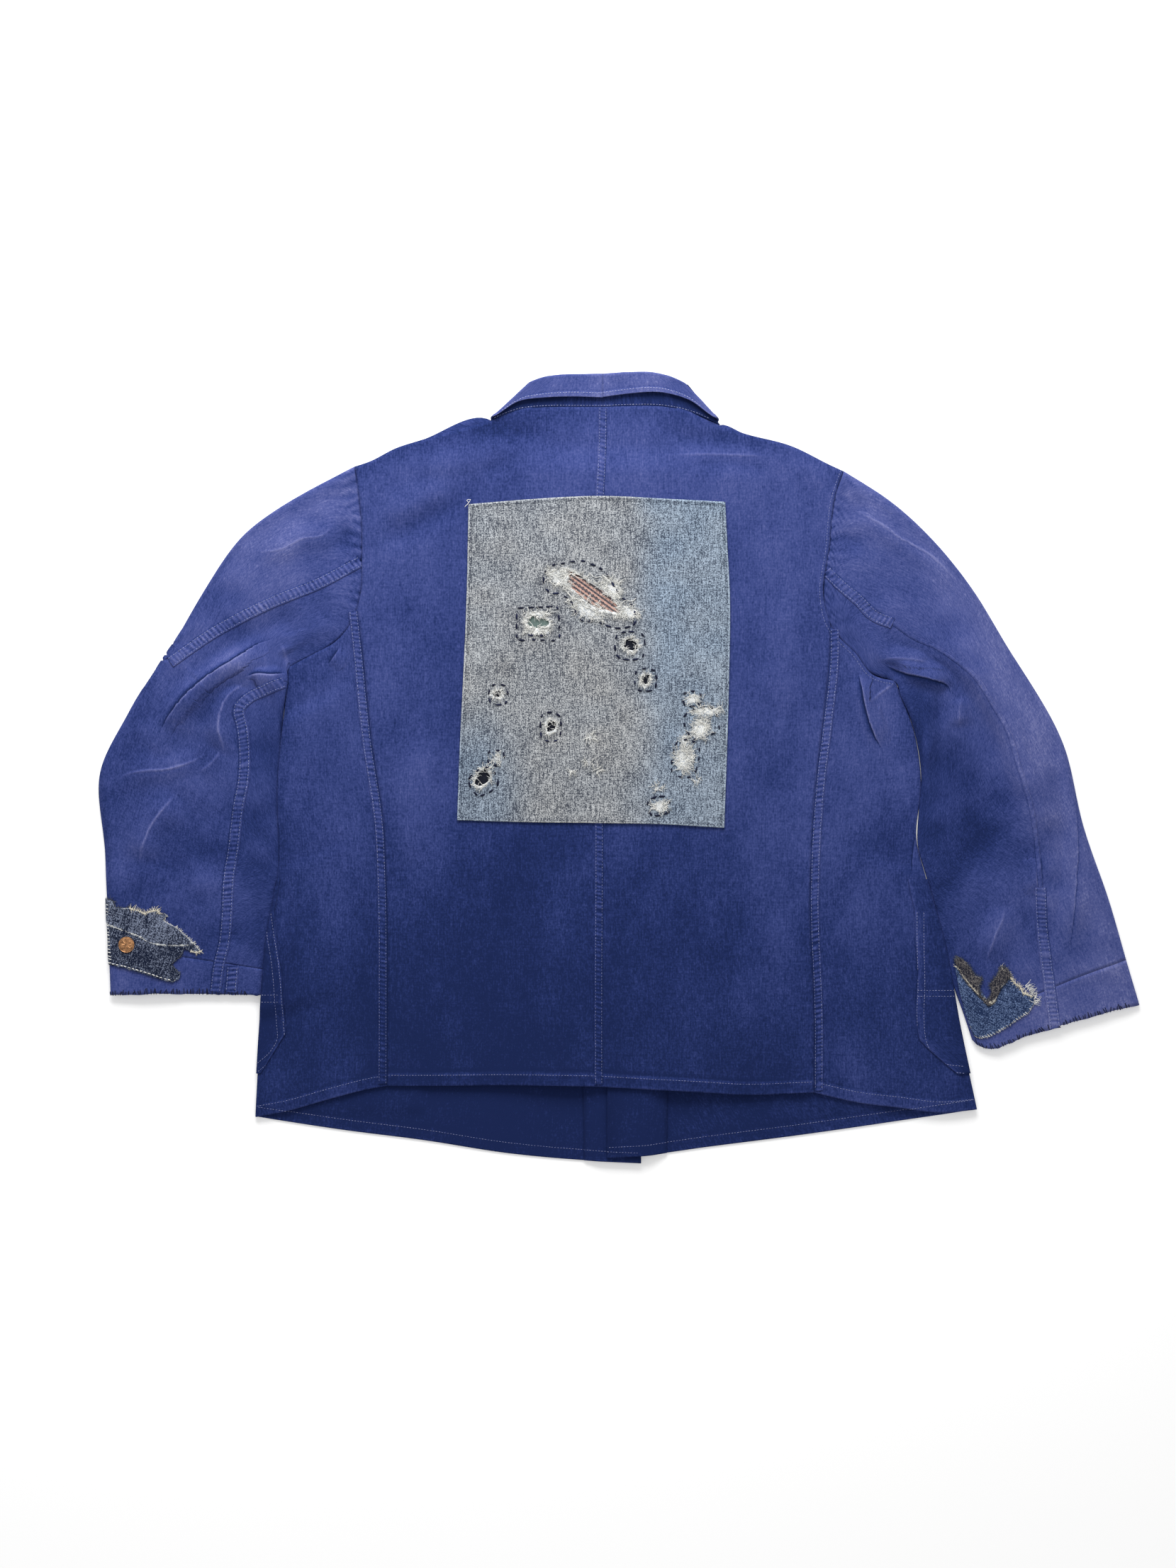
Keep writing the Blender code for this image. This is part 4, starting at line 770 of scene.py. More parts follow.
for side in ("left", "right"):
    grid, keep, fold_column, wear_and_shade = fine_front(side)
    away = facing(grid, keep)
    away *= -np.sign(away[0, -1, 2])
    piece = cloth("front_panel_" + side, grid, away, blue_cloth, across_map(grid), wear_and_shade, keep=keep)
    sewn(piece, "front_" + side, "work_cloth", flat=(0.585, 0.735), rests_on=["table"],
         area=0.34 if side == "left" else 0.305)
    # The facing inside the buttoned edge.
    first = int(np.abs(grid[0, :, 0] - FACING_FROM[side]).argmin())
    inwards = -away[:, first:]
    inner_face = grid[:, first:] + inwards * (LAYER + CLOTH)
    piece = cloth("front_facing_" + side, inner_face, inwards, blue_cloth, inner_face[..., :2],
                  wear_and_shade[:, first:] - (0.04, 0, 0, 0))
    sewn(piece, "facing_" + side, "work_cloth", flat=(0.066, 0.73), rests_on=["front_panel_" + side], area=0.044)
    # The pocket wraps the fold, from its short back edge to its far edge under the front.
    fold_y = grid[:, fold_column, 1]
    rows = (fold_y > POCKET_LOW - 0.5) & (fold_y < POCKET_HIGH + 0.5) & (np.arange(len(fold_y)) < keep[:, 0].sum() + 1)
    part = np.concatenate([grid, away, wear_and_shade], axis=-1)[rows]
    reach = np.interp(part[:, fold_column, 1], POCKET_ROWS, POCKET_EDGE[side])
    back_part = [picked(np.linspace(1, 0, 14)[:-1] * max(wide - FOLD, 1.2), length_along(row[:, :3]), row)
                 for row, wide in zip(part[:, fold_column::-1], reach)]
    flat_from = fold_column + 8
    width = length_along(part[len(part) // 2, flat_from:, :3])
    last = flat_from + int(np.abs(width - POCKET_WIDTH + 6).argmin())
    pocket, outward, worn = np.split(np.concatenate([back_part, part[:, fold_column : last + 1]], axis=1), [3, 6], axis=-1)
    worn[..., 0] += 0.2 * hump(np.minimum(np.arange(pocket.shape[1]) / 1.5, 3.0), 0.3, 1) - 0.06
    worn[..., 3] = 0
    piece = cloth("pocket_patch_" + side, pocket + outward * LAYER, outward, blue_cloth, across_map(pocket), worn)
    sewn(piece, "pocket_" + side, "work_cloth", flat=(0.21, 0.205), rests_on=["front_panel_" + side], area=0.039)

# ---- The sleeves and cuffs -------------------------------------------------------------------------------------------
# Two-piece sleeves of the same cotton lie pressed nearly flat, puffed and folded where they turn under the arm. Each
# ends in a sewn-on cuff band, whose raw edge is worn and held with dark thread.

CUFF_DEPTH = 49.0
TURN_ROWS = [0, 0.035, 0.08, 0.14, 0.2]
PLAIN_ROWS = 8
FAN_START = 0.4
PUFF, PUFF_EDGE = 2.0, 45.0
SLEEVE_FOLDS = {  # as the body's folds
    "left": [
        (22, 9, 12.0, 1.0, [(-338, -243), (-360, -250), (-385, -266), (-411, -283), (-430, -298), (-448, -317),
                            (-461, -336), (-468, -356)]),
        (16, 6, 7.0, 1.0, [(-330, -281), (-346, -283), (-362, -282), (-376, -286)]),
        (16, 12, 7.0, -0.6, [(-366, -289), (-379, -295), (-392, -305), (-400, -320), (-403, -339), (-398, -361),
                             (-401, -376)]),
        (14, 12, 4.0, -0.55, [(-515, -398), (-502, -389), (-483, -385), (-458, -383), (-439, -378), (-420, -369),
                              (-411, -363)]),
        (10, 10, 2.5, -0.4, [(-398, -359), (-411, -377), (-427, -389)]),
        (18, 16, 6.0, -0.65, [(-442, -402), (-458, -421), (-474, -443), (-483, -465), (-487, -490)]),
        (14, 12, 3.5, -0.3, [(-373, -151), (-351, -153), (-335, -150), (-316, -140), (-291, -135), (-281, -124),
                             (-272, -112)]),
        (8, 7, -5.0, 0, [(-270, -156), (-266, -134), (-260, -124)]),
        (12, 10, 3.0, -0.3, [(-340, -247), (-334, -258), (-332, -268), (-331, -280)]),
        (18, 18, -5.0, 0, [(-300, -215), (-340, -230), (-380, -252), (-420, -278)]),
        (20, 18, 3.5, 0, [(-412, -470), (-424, -520), (-428, -585)]),
        (14, 14, -1.0, 0, [(-360, -420), (-352, -500), (-362, -600)]),
        (12, 12, 3.0, 0, [(-500, -300), (-480, -250), (-440, -200)]),
    ],
    "right": [
        (40, 12, 11.0, 0.35, [(309, -228), (332, -244), (358, -257), (376, -269), (397, -289), (412, -313), (430, -346),
                              (441, -382), (452, -414), (459, -451), (463, -483), (464, -505)]),
        (14, 12, 4.0, -0.45, [(256, -103), (285, -117), (322, -141), (350, -157), (369, -175), (387, -194)]),
        (10, 10, 4.0, -0.35, [(291, -268), (310, -266), (336, -268), (358, -273)]),
        (16, 8, 9.0, 1.0, [(298, -271), (322, -282), (347, -288), (369, -297), (372, -306)]),
        (12, 12, 4.0, -0.35, [(383, -302), (379, -324), (381, -342)]),
        (8, 6, 3.0, 0.8, [(464, -517), (462, -494), (466, -472)]),
        (16, 14, 4.0, 0.3, [(494, -592), (497, -562), (502, -519), (505, -476), (504, -432), (502, -396)]),
        (16, 14, 4.0, -0.45, [(427, -520), (426, -537), (417, -559), (406, -592)]),
        (18, 18, -5.0, 0, [(345, -330), (380, -380), (400, -450), (395, -520)]),
        (10, 9, -3.0, 0, [(246, -128), (262, -140), (280, -150)]),
        (12, 12, 3.0, 0, [(420, -230), (455, -290), (480, -350)]),
    ],
}
# Where the two seams of each sleeve run: the armhole point that each starts from, counted from the underarm over the
# upper face, then share of the length from armhole to cuff and share of the way round.
SLEEVE_SEAMS = {
    "left": {"back_point": 9, "back": [(0, 0.29), (0.08, 0.255), (0.19, 0.28), (0.33, 0.385), (0.46, 0.5), (1, 0.5)],
             "under_point": 3, "under": [(0, 0.2), (0.2, 0.13), (0.35, 0.115), (0.55, 0.13), (0.75, 0.15), (1, 0.165)]},
    "right": {"back_point": 9, "back": [(0, 0.29), (0.1, 0.30), (0.18, 0.30), (0.37, 0.35), (0.57, 0.317), (0.78, 0.275),
                                        (1, 0.25)],
              "under_point": -3, "under": [(0, -0.2), (0.4, -0.06), (0.6, -0.08), (1, -0.1)]},
}
SEAM_LINES = {  # where those seams show on the upper face, as plan points from the armhole down
    "left": {"back": [(-253.5, -163), (-292, -184), (-355, -210), (-409.5, -239), (-460, -273.5)],
             "under": [(-334, -291), (-352, -298.5), (-371, -307.5), (-381, -318), (-378, -340), (-376, -363),
                       (-377, -394.5), (-382.5, -421.5), (-388, -468), (-392, -493.5), (-394.5, -535.5),
                       (-397.5, -567), (-403, -590), (-407, -619)]},
    "right": {"back": [(239.5, -173.5), (255, -189), (272, -203), (290, -220.5), (309, -229), (332, -244.5),
                       (358, -256.5), (376, -269), (397.5, -289.5), (412, -313), (430.5, -346), (441, -382),
                       (451.5, -414), (459, -451), (463, -483), (465, -508), (467, -547.5), (471.5, -585),
                       (478, -634), (481, -657)]},
}
SLEEVE_FADE = {  # how faded a sleeve is, down the arm: near the outer fold, on the middle, near the inner fold
    "left": [(0.80, 0.72, 0.62), (0.80, 0.72, 0.50), (0.67, 0.58, 0.48), (0.55, 0.50, 0.50), (0.55, 0.47, 0.50),
             (0.60, 0.50, 0.48)],
    "right": [(0.80, 0.70, 0.56), (0.82, 0.58, 0.33), (0.84, 0.52, 0.24), (0.84, 0.44, 0.26), (0.82, 0.55, 0.43),
              (0.84, 0.74, 0.64)],
}



def bulge(curve, places):
    """How far a curve lies from its chord, at the given shares of its length."""
    shares = shares_of(curve)
    return picked(places, shares, curve - (1 - shares[:, None]) * curve[0] - shares[:, None] * curve[-1])


def sleeve_loops(inner, outer, cuff, along):
    """The outer face of a tube pressed flat between two folds: a closed loop for each share of the way down the arm."""
    turns = np.radians(np.linspace(0, 90, 6))
    loops = []
    for start, end, share in zip(inner, outer, along):
        width = np.linalg.norm(end - start)
        near = FOLD * (1 - np.cos(turns)) / width
        places = np.concatenate([near, np.linspace(near[-1], 1 - near[-1], 60)[1:-1], 1 - near[::-1]])
        rise = np.sqrt(FOLD**2 - np.clip(FOLD - np.minimum(places, 1 - places) * width, 0, FOLD) ** 2)
        plan = start + places[:, None] * (end - start) + share * bulge(cuff, places)
        loops.append(np.concatenate([with_height(plan, FOLD + rise), with_height(plan, FOLD - rise)[-2::-1]]))
    return loops


def crowded(loop, start, end, columns):
    """Shares of the way round a loop, from start to end, that crowd where the cloth turns."""
    step = np.diff(loop, axis=0)
    length = np.linalg.norm(step, axis=1)
    way = step / length[:, None]
    turn = np.degrees(np.arccos(np.clip((way[1:] * way[:-1]).sum(axis=1), -1, 1)))
    effort = np.append(0, np.cumsum(length + 0.35 * np.append(turn, 0)))
    shares, cost = (np.concatenate([once - 1, once[1:], once[1:] + 1]) for once in (shares_of(loop), effort / effort[-1]))
    return np.interp(np.linspace(*np.interp((start, end), shares, cost), columns + 1), cost, shares)


def armhole_ring(side):
    """Points round the armhole, from the underarm over the upper face and back underneath."""
    front, _, fold_column = front_grid(side, fold_shares(side), np.array(SIDE_SHARES[side], float),
                                       np.radians([0, 45, 90, 135, 180]), FRONT_COLUMNS[side],
                                       np.linspace(0, 1, ARMHOLE_ROWS + 1))
    rows = len(FOLD_ROWS) + 1
    over = front[rows, fold_column + 2 :: -1]
    rise = soft_line(LINES[side]["armhole_upper"][::-1], np.linspace(0, 1, ARMHOLE_ROWS + 1))[1:]
    rise = with_height(rise, back_top(rise[:, 0], rise[:, 1]))
    rise[-1, 2] = EDGE_HEIGHT
    rise[-2, 2] -= 0.3 * (rise[-2, 2] - EDGE_HEIGHT)
    fall = front[:rows:-1, fold_column + 4]
    under = front[rows, [fold_column + 4, fold_column + 3]]
    beside = [0.94 * start + 0.06 * end for start, end in ((over[2], over[3]), (under[0], fall[-1]))]
    return np.concatenate([over[:3], beside[:1], over[3:], rise, fall, beside[1:], under])


def fan_shares(ring, tip, perimeter):
    """Shares of the way across and round at which the armhole's points arrive where the sleeve has turned down."""
    across = np.zeros(len(ring))
    for columns in (range(3, tip + 1), range(len(ring) - 3, tip, -1)):
        path = np.concatenate([ring[:1], ring[list(columns)]])
        across[list(columns)] = FAN_START + (1 - FAN_START) * shares_of(path)[1:]
    quarter = FOLD * math.pi / 2 / perimeter
    shares = np.where(np.arange(len(ring)) <= tip, across / 2, 1 - across / 2)
    shares[[0, 1, 2, tip, tip + 1, -2, -1]] = (0, quarter / 2, quarter, 0.5 - quarter, 0.5 + quarter, 1 - quarter,
                                              1 - quarter / 2)
    return across, shares


def flat_sleeve(side):
    """The tube of a sleeve pressed flat, before it is puffed, as a coarse grid; also its inner and outer folds."""
    line, seams, ring = LINES[side], SLEEVE_SEAMS[side], armhole_ring(side)
    count, tip, turned_down = len(ring), len(ring) - ARMHOLE_ROWS - 4, len(TURN_ROWS) - 1
    length = length_along(soft_line(line["sleeve_outer"], np.linspace(0, 1, 60)))[-1]
    cuff = 1 - CUFF_DEPTH / length
    along = np.concatenate([TURN_ROWS, np.linspace(TURN_ROWS[-1], cuff, PLAIN_ROWS + 1)[1:], [(1 + cuff) / 2, 1]])

    def folds_at(shares):
        outer = soft_line(line["sleeve_outer"], shares)
        inner = soft_line(line["sleeve_inner"], np.maximum(shares - along[1], 0) / (1 - along[1]))
        body = soft_line(line["fold"], np.linspace(0, 1, 200))[::-1]
        out = -1 if side == "left" else 1
        apart = (inner[:, 0] - np.interp(inner[:, 1], body[:, 1], body[:, 0])) * out
        inner[:, 0] += out * (0.3 - apart) * ease((4 - apart) / 2.5) * ease((apart + 2) / 1.5)
        inner[shares == 0] = ring[0, :2]
        return inner, outer

    inner, outer = folds_at(along)
    loops = sleeve_loops(inner, outer, soft_line(line["cuff_edge"], np.linspace(0, 1, 60)), along)
    first, second = seams["under_point"], seams["back_point"]
    across, fan = fan_shares(ring, tip, 2 * np.linalg.norm(outer[turned_down] - inner[turned_down]))
    grid = []
    for share, loop in zip(along, loops):
        start, middle = (np.interp(share, *zip(*seams[key])) for key in ("under", "back"))
        upper = crowded(loop, start, middle, second - first)
        lower = crowded(loop, middle, start + 1, count - (second - first))
        spread = np.roll(np.concatenate([upper, lower[1:-1]]), first)
        spread += np.round(fan - spread)
        own = ease((share - TURN_ROWS[-1]) / 0.4)
        grid.append(picked(((1 - own) * fan + own * spread) % 1.0, shares_of(loop), loop))
    grid = np.array(grid)
    for i, share in enumerate(TURN_ROWS[:-1]):
        done = share / TURN_ROWS[-1]
        grid[i] = ring + done * (grid[turned_down] - ring)
        for edge, weight in ((inner, 1 - across), (outer, across)):
            grid[i, :, :2] += weight[:, None] * (edge[i] - edge[0] - done * (edge[turned_down] - edge[0]))
    return grid, along, length, folds_at, turned_down + PLAIN_ROWS


def finer(points, at, ring=False):
    """Points between the rows of points, on soft curves through them; at counts rows, and may be uneven."""
    at = np.asarray(at, float)
    if ring:
        points, at = np.concatenate([points[-2:], points, points[:3]]), at + 2
    step = np.maximum(np.linalg.norm(np.diff(points, axis=0), axis=-1, keepdims=True), 1e-6)
    way = np.diff(points, axis=0) / step
    slopes = np.concatenate([way[:1], (way[:-1] * step[1:] + way[1:] * step[:-1]) / (step[:-1] + step[1:]), way[-1:]])
    i = np.minimum(at.astype(int), len(points) - 2)
    return hermite((at - i)[:, None, None], step[i], points[i], points[i + 1], slopes[i], slopes[i + 1])


def counts_between(points, cells, least=2):
    """Row numbers, with parts, at which steps of about a cell fall between rows of points."""
    step = np.quantile(np.linalg.norm(np.diff(points, axis=0), axis=-1), 0.8, axis=1)
    parts = [np.linspace(k, k + 1, max(least, math.ceil(size / cells[k])) + 1)[1:] for k, size in enumerate(step)]
    return np.append(0.0, np.concatenate(parts))


def seams_moved(grid, column_at, side, tip):
    """The grid with its columns moved along each row so that the seams' columns run along the seams' lines."""
    upper = np.flatnonzero(column_at <= tip + 0.5)
    rows, moved, targets = np.arange(len(grid)), grid.copy(), []
    for key, line in SEAM_LINES[side].items():
        column = int(np.searchsorted(column_at, SLEEVE_SEAMS[side][key + "_point"] - 1e-6))
        line = soft_line(line, np.linspace(0, 1, 240))
        found = np.full(len(grid), np.nan)
        for row, points in enumerate(grid[:, upper]):
            reach = length_along(points)
            places = np.linspace(0, reach[-1], 300)
            apart = np.linalg.norm(picked(places, reach, points[:, :2])[:, None] - line, axis=-1).min(axis=1)
            if apart.min() < 2.5:
                found[row] = places[apart.argmin()] - reach[column]
        known = np.flatnonzero(~np.isnan(found))
        if len(known):
            past = ease(1 - (rows - known[-1]) / 10) if known[-1] < len(grid) - 12 else 1.0
            targets.append((column, np.interp(rows, known, found[known]) * past))
    for row, points in enumerate(grid[:, upper]):
        reach = length_along(points)
        before, after = [0, 6.0], [0, 6.0]
        for column, shift in sorted(targets, key=lambda pair: pair[0]):
            place = reach[column] + shift[row] * ease((reach[-1] - 10 - reach[column]) / 30)
            if before[-1] + 2 < reach[column] < reach[-1] - 8:
                before.append(reach[column])
                after.append(np.clip(place, after[-1] + 2, reach[-1] - 8))
        end = [reach[-1] - 6, reach[-1]]
        moved[row, upper] = picked(np.interp(reach, before + end, after + end), reach, points)
    return moved


def scrap_lift(x, y):
    """How far the left cuff's scrap, which wraps under the outer fold, keeps the sleeve off the table."""
    return (LAYER + GAP) * plateau(x, -700, -465, 25) * plateau(y, -700, -500, 30)


def fine_sleeve(side):
    """The sleeve's fine grid, puffed and folded, with its map, its wear and painted light and shade, and its row and
    column numbers.
    """
    coarse, along, length, folds_at, cuff_row = flat_sleeve(side)
    count = coarse.shape[1]
    tip = count - ARMHOLE_ROWS - 4
    row_at = counts_between(coarse, [4.0] * len(coarse))
    columns = np.concatenate([coarse, coarse[:, :1]], axis=1).swapaxes(0, 1)
    column_at = counts_between(columns, [4.0 if k <= tip else 8.0 for k in range(count)])[:-1]
    grid = finer(finer(coarse, row_at).swapaxes(0, 1), column_at, ring=True).swapaxes(0, 1)
    grid = seams_moved(grid, column_at, side, tip)
    share = np.interp(row_at, np.arange(len(along)), along)
    # Its rows reach the outer fold, so that the outline runs clean from the shoulder to the cuff.
    inner, outer = folds_at(share)
    run = outer - inner
    part_way = ((grid[..., :2] - inner[:, None]) * run[:, None]).sum(axis=-1) / (run**2).sum(axis=1)[:, None]
    short = (1 - part_way.max(axis=1)) * ease(share / 0.12)
    grid[..., :2] += (run * short[:, None])[:, None] * ease(part_way * 2 - 1)[..., None]
    x, y, z = (grid[..., k].copy() for k in range(3))
    inner_away, outer_away = (np.linalg.norm(grid[..., :2] - fold[:, None], axis=-1) for fold in (inner, outer))
    from_edge, down = np.minimum(inner_away, outer_away), share[:, None]
    upper = ease((z - FOLD) / 1.2)
    folds = ridges(x, y, SLEEVE_FOLDS[side])
    relief = small_relief(x, y, 31) * upper * ease(from_edge / 14) * ease(down / 0.03)
    hole_distance, hole_along = from_line(x, y, LINES[side]["armhole_upper"])
    gathers = upper * puckers(hole_distance, hole_along, 19, 10.5, 17) * ease((160 - hole_distance - down) / 90)
    relief += 1.1 * gathers + 0.7 * upper * mottle(x, y, 30, 33, 0.6) * ease(from_edge / 20)
    z = z + ease(from_edge / PUFF_EDGE) * ease(down / 0.06) * upper * (PUFF + folds) + relief
    if side == "left":
        z = z + scrap_lift(x, y)
    grid[..., 2] = np.maximum(z, 0.0)
    # Faded by place and paler at the outer edges. Paler on crests and gathers and darker in troughs: wear together with
    # painted light and shade. The lower face and the sides that turn under carry painted shade.
    fade = np.array(SLEEVE_FADE[side])
    near_outer, middle, near_inner = picked(share * (len(fade) - 1), np.arange(len(fade)), fade).T[..., None]
    outer_share = inner_away / (inner_away + outer_away)
    toward, inward = ease(outer_share * 2 - 1), ease(1 - outer_share * 2)
    pale = near_outer * toward + near_inner * inward + middle * (1 - toward - inward) - 0.14 + 0.14 * (relief - 0.5)
    pale += 0.024 * np.clip(folds * np.where(folds < 0, 1.6, 1.0), -8, 8) * upper + 0.07 * mottle(x, y, 70, 37)
    pale += 0.06 * mottle(x, y, 26, 39) + (0.30 * gathers - (0.05 if side == "left" else 0.0)) * upper
    pale += 0.12 * hump(from_edge, 0, 4.0) * (0.8 + 0.5 * mottle(x, y, 12, 41))
    across, strength = creases(x, y, SLEEVE_FOLDS[side])
    grain = across_map(np.concatenate([grid, grid[:, :1]], axis=1))
    grain[..., 1] = -down * length
    return {"grid": grid, "grain": grain, "wear_and_shade": np.stack([pale, 0.10 * (1 - upper), across, strength * upper], axis=-1),
            "row_at": row_at, "column_at": column_at, "cuff_row": cuff_row, "count": count, "length": length,
            "share": share}


sleeves = {}
for side in ("left", "right"):
    sleeve = sleeves[side] = fine_sleeve(side)
    grid, grain, wear_and_shade, share, column_at = (sleeve[key] for key in ("grid", "grain", "wear_and_shade", "share", "column_at"))
    away = facing(grid, ring=True)
    middle = len(grid) // 2
    away *= np.sign((away[middle] * (grid[middle] - grid[middle].mean(axis=0))).sum())
    sleeve["away"] = away
    cuff_start = int(np.searchsorted(sleeve["row_at"], sleeve["cuff_row"] - 1e-6))
    above = slice(0, cuff_start + 1)
    first, second = SLEEVE_SEAMS[side]["under_point"], SLEEVE_SEAMS[side]["back_point"]
    for name, start, end, flat, area in (("under_sleeve_", first, second, (0.17, 0.50), 0.060),
                                         ("top_sleeve_", second, first + sleeve["count"], (0.27, 0.60), 0.122)):
        low, high = (int(np.searchsorted(column_at, column % sleeve["count"] - 1e-6)) for column in (start, end))
        if high <= low:
            high += len(column_at)
        columns = np.arange(low, high + 1)
        around = columns % len(column_at)
        run = grain[above, :-1][:, around]
        run[..., 0] += np.where(columns >= len(column_at), grain[above, -1:, 0], 0)
        piece = cloth(name + "cloth_" + side, grid[above, around], away[above, around], blue_cloth, run, wear_and_shade[above, around])
        sewn(piece, name + side, "work_cloth", flat=flat, rests_on=["table"], area=area)
    ragged, cuff_wear = grid[cuff_start:].copy(), wear_and_shade[cuff_start:].copy()
    place = grain[-1, :-1, 0]
    ragged[-1, :, 1] += 0.9 * mottle(place, 0 * place, 5, 51) - 0.4
    cuff_wear[..., 0] += 0.12 * np.exp((share[cuff_start:] - share[-1]) * sleeve["length"] / 4)[:, None] + 0.05
    piece = cloth("cuff_band_" + side, ragged, away[cuff_start:], blue_cloth, grain[cuff_start:], cuff_wear, ring=True)
    sewn(piece, "cuff_" + side, "work_cloth", flat=(0.345, 0.050), rests_on=["table"])

# ---- The collar -------------------------------------------------------------------------------------------------------
# A turned-down collar in two halves, sewn up from the neck seam, folded over and topstitched near its free edge. Its
# points lie underneath, on the fronts. The fold and the leaf are the palest part of the jacket, the stand is dark.

COLLAR_STATIONS = {  # from the centre back round to the front: roll line, free edge, and the face it lies on
    "left": [((3, 34.5), (3, 9.5), 1), ((-24, 34.5), (-28, 10.5), 1), ((-44, 33.5), (-57, 9.5), 1),
             ((-60, 31), (-86, 5.5), 1), ((-72, 26.5), (-112.5, -10.5), 1), ((-76, 24.5), (-116, -11.5), 0),
             ((-74, 23), (-114.5, -13.5), -1), ((-50, -24), (-104, -84), -1), ((-12, -56), (-70, -130), -1),
             ((4, -61), (-38, -148), -1)],
    "right": [((3, 34.5), (3, 10), 1), ((31, 36.5), (34, 14), 1), ((58, 36), (64, 15), 1), ((78, 30.5), (94, 7), 1),
              ((88, 26), (122, -12), 1), ((92, 23.5), (126, -13), 0), ((90.5, 22), (124.5, -16), -1),
              ((86, -10), (130, -76), -1), ((56, -52), (98, -136), -1), ((48, -60), (84, -148), -1)],
}
COLLAR_ROLL = 2.2
COLLAR_ROWS = [0, 14, 16, 18, 20, 22, 36, 62]  # the map's millimetres up from the neck seam



def collar_grid(side):
    """Half a collar: up from the neck seam, over the roll line and back down to the free edge."""
    neck = soft_line(LINES[side]["neck"], np.linspace(0, 1, 5))
    seam = [(*point, height - CLOTH) for point, height in zip(neck, (TOP, TOP, TOP, TOP - 0.4, EDGE_HEIGHT))]
    front = end_line_at(side, "top", [x for _, x in FRONT_COLUMNS[side][-4:]])
    front = with_height(front, front_low(front[:, 0], front[:, 1], side) + CLOTH)
    seam += [front[0] + (0, 0, GAP / 2), *front]
    grid = []
    for (roll, edge, lies), start in zip(COLLAR_STATIONS[side], np.array(seam)):
        top, edge = np.array(roll, float), np.array(edge, float)
        radius = COLLAR_ROLL if lies > 0 else LAYER - GAP / 2
        level = {1: max(start[2], TOP - CLOTH), 0: start[2], -1: 2 * radius}[lies]
        last = {1: level + 2 * radius, 0: level + 0.4, -1: 0.0}[lies]
        way = unit(start[:2] - top)
        rolled = [(*(top + way * radius * (1 - math.sin(turn))), level + (last - level) * (1 - math.cos(turn)) / 2)
                  for turn in np.radians([0, 45, 90, 135, 180])]
        grid.append([start, *rolled, (*((top + edge) / 2), last), (*edge, last)])
    return np.array(grid, float)


collars = {}
for side in ("left", "right"):
    coarse = collar_grid(side)
    station_at = counts_between(coarse, [3.0] * 10)
    row_at = counts_between(coarse.swapaxes(0, 1), [2.6] * 8)
    rows = finer(coarse.swapaxes(0, 1), row_at).swapaxes(0, 1)
    below = np.minimum(row_at.astype(int), coarse.shape[1] - 2)
    pair = coarse[:, [below, below + 1], 2]
    rows[..., 2] = np.clip(rows[..., 2], pair.min(axis=1), pair.max(axis=1))
    grid = finer(rows, station_at)
    near = np.minimum(station_at.astype(int), len(coarse) - 2)
    share = ease(station_at - near)[:, None]
    grid[..., 2] = (1 - share) * rows[near, :, 2] + share * rows[near + 1, :, 2]
    away = facing(grid)
    away *= np.sign(away[5, -5, 2])
    x, y = grid[..., 0], grid[..., 1]
    leaf = ease((row_at - 2.5) / 1.5) * np.ones_like(x)
    above = ease((4.9 - station_at) / 0.6)[:, None]
    from_edge = np.linalg.norm(grid - grid[:, -1:], axis=-1)
    relief = leaf * above * (0.5 * (1 + mottle(x, y, 22, 61)) + 0.2 * (1 + mottle(x, y, 8, 62))
                             + 0.5 * ease((6.0 - from_edge) / 1.5) + 0.35 * puckers(from_edge - 4.5, x + y, 3, 5.0, 63))
    grid = grid + away * relief[..., None]
    # Paler on the puffs and the raised edge band, partly painted light. The second channel is a painted shadow just
    # inside the raised edge band.
    pale = 0.10 + 0.52 * leaf + 0.14 * (relief - 0.6) * leaf + 0.12 * mottle(x, y, 30, 64) - 0.25 * (1 - above)
    pale += 0.12 * np.exp(-from_edge / 2) + 0.12 * hump(row_at, 3.2, 0.8)
    grain = np.stack(np.broadcast_arrays(station_at[:, None] * 24, -np.interp(row_at, range(8), COLLAR_ROWS)), axis=-1)
    piece = cloth("collar_leaf_" + side, grid, away, blue_cloth, grain,
                  np.stack([pale, 0.10 * hump(from_edge, 6.8, 1.2), 0 * pale], axis=-1))
    sewn(piece, "collar_" + side, "work_cloth", flat=(0.235, 0.105), held="folded",
         rests_on=["back_panel_" + side, "front_panel_" + side], area=0.02)
    collars[side] = (grid, station_at)

# ---- The back patch and the scraps behind its holes -------------------------------------------------------------------
# A leg of old grey denim, hemmed all round and sewn over the middle of the back. It has worn through; scraps of striped,
# grey and dark cloth are set behind the holes and held with long running stitches of navy thread.

PATCH_SIZE = (281, 342)
PATCH_EDGES = {
    "bottom": [(-151, -437), (-80, -439), (-4, -440), (60, -441), (131, -445)],
    "top": [(-139, -103), (-70, -98), (0, -95), (70, -98), (132, -101)],
    "left": [(-151, -437), (-148, -354), (-145, -294), (-141, -198), (-139, -103)],
    "right": [(131, -445), (136, -294), (137, -198), (134, -140), (132, -101)],
}
# Scrap behind the hole, the hole's centre, half length, half width and slant in degrees.
HOLES = [
    ("scrap_striped", (-9, -198), 36, 10.5, -36),
    ("scrap_grey", (-66, -228), 13, 6, -8),
    ("scrap_dark_1", (32, -252), 8, 7, -27),
    ("scrap_dark_2", (48, -289), 6, 5, 60),
    ("scrap_dark_3", (-108, -304), 5, 4, 0),
    ("scrap_dark_4", (-52, -338), 7, 5, 70),
    ("scrap_dark_5", (-124, -392), 11, 7, 55),
]
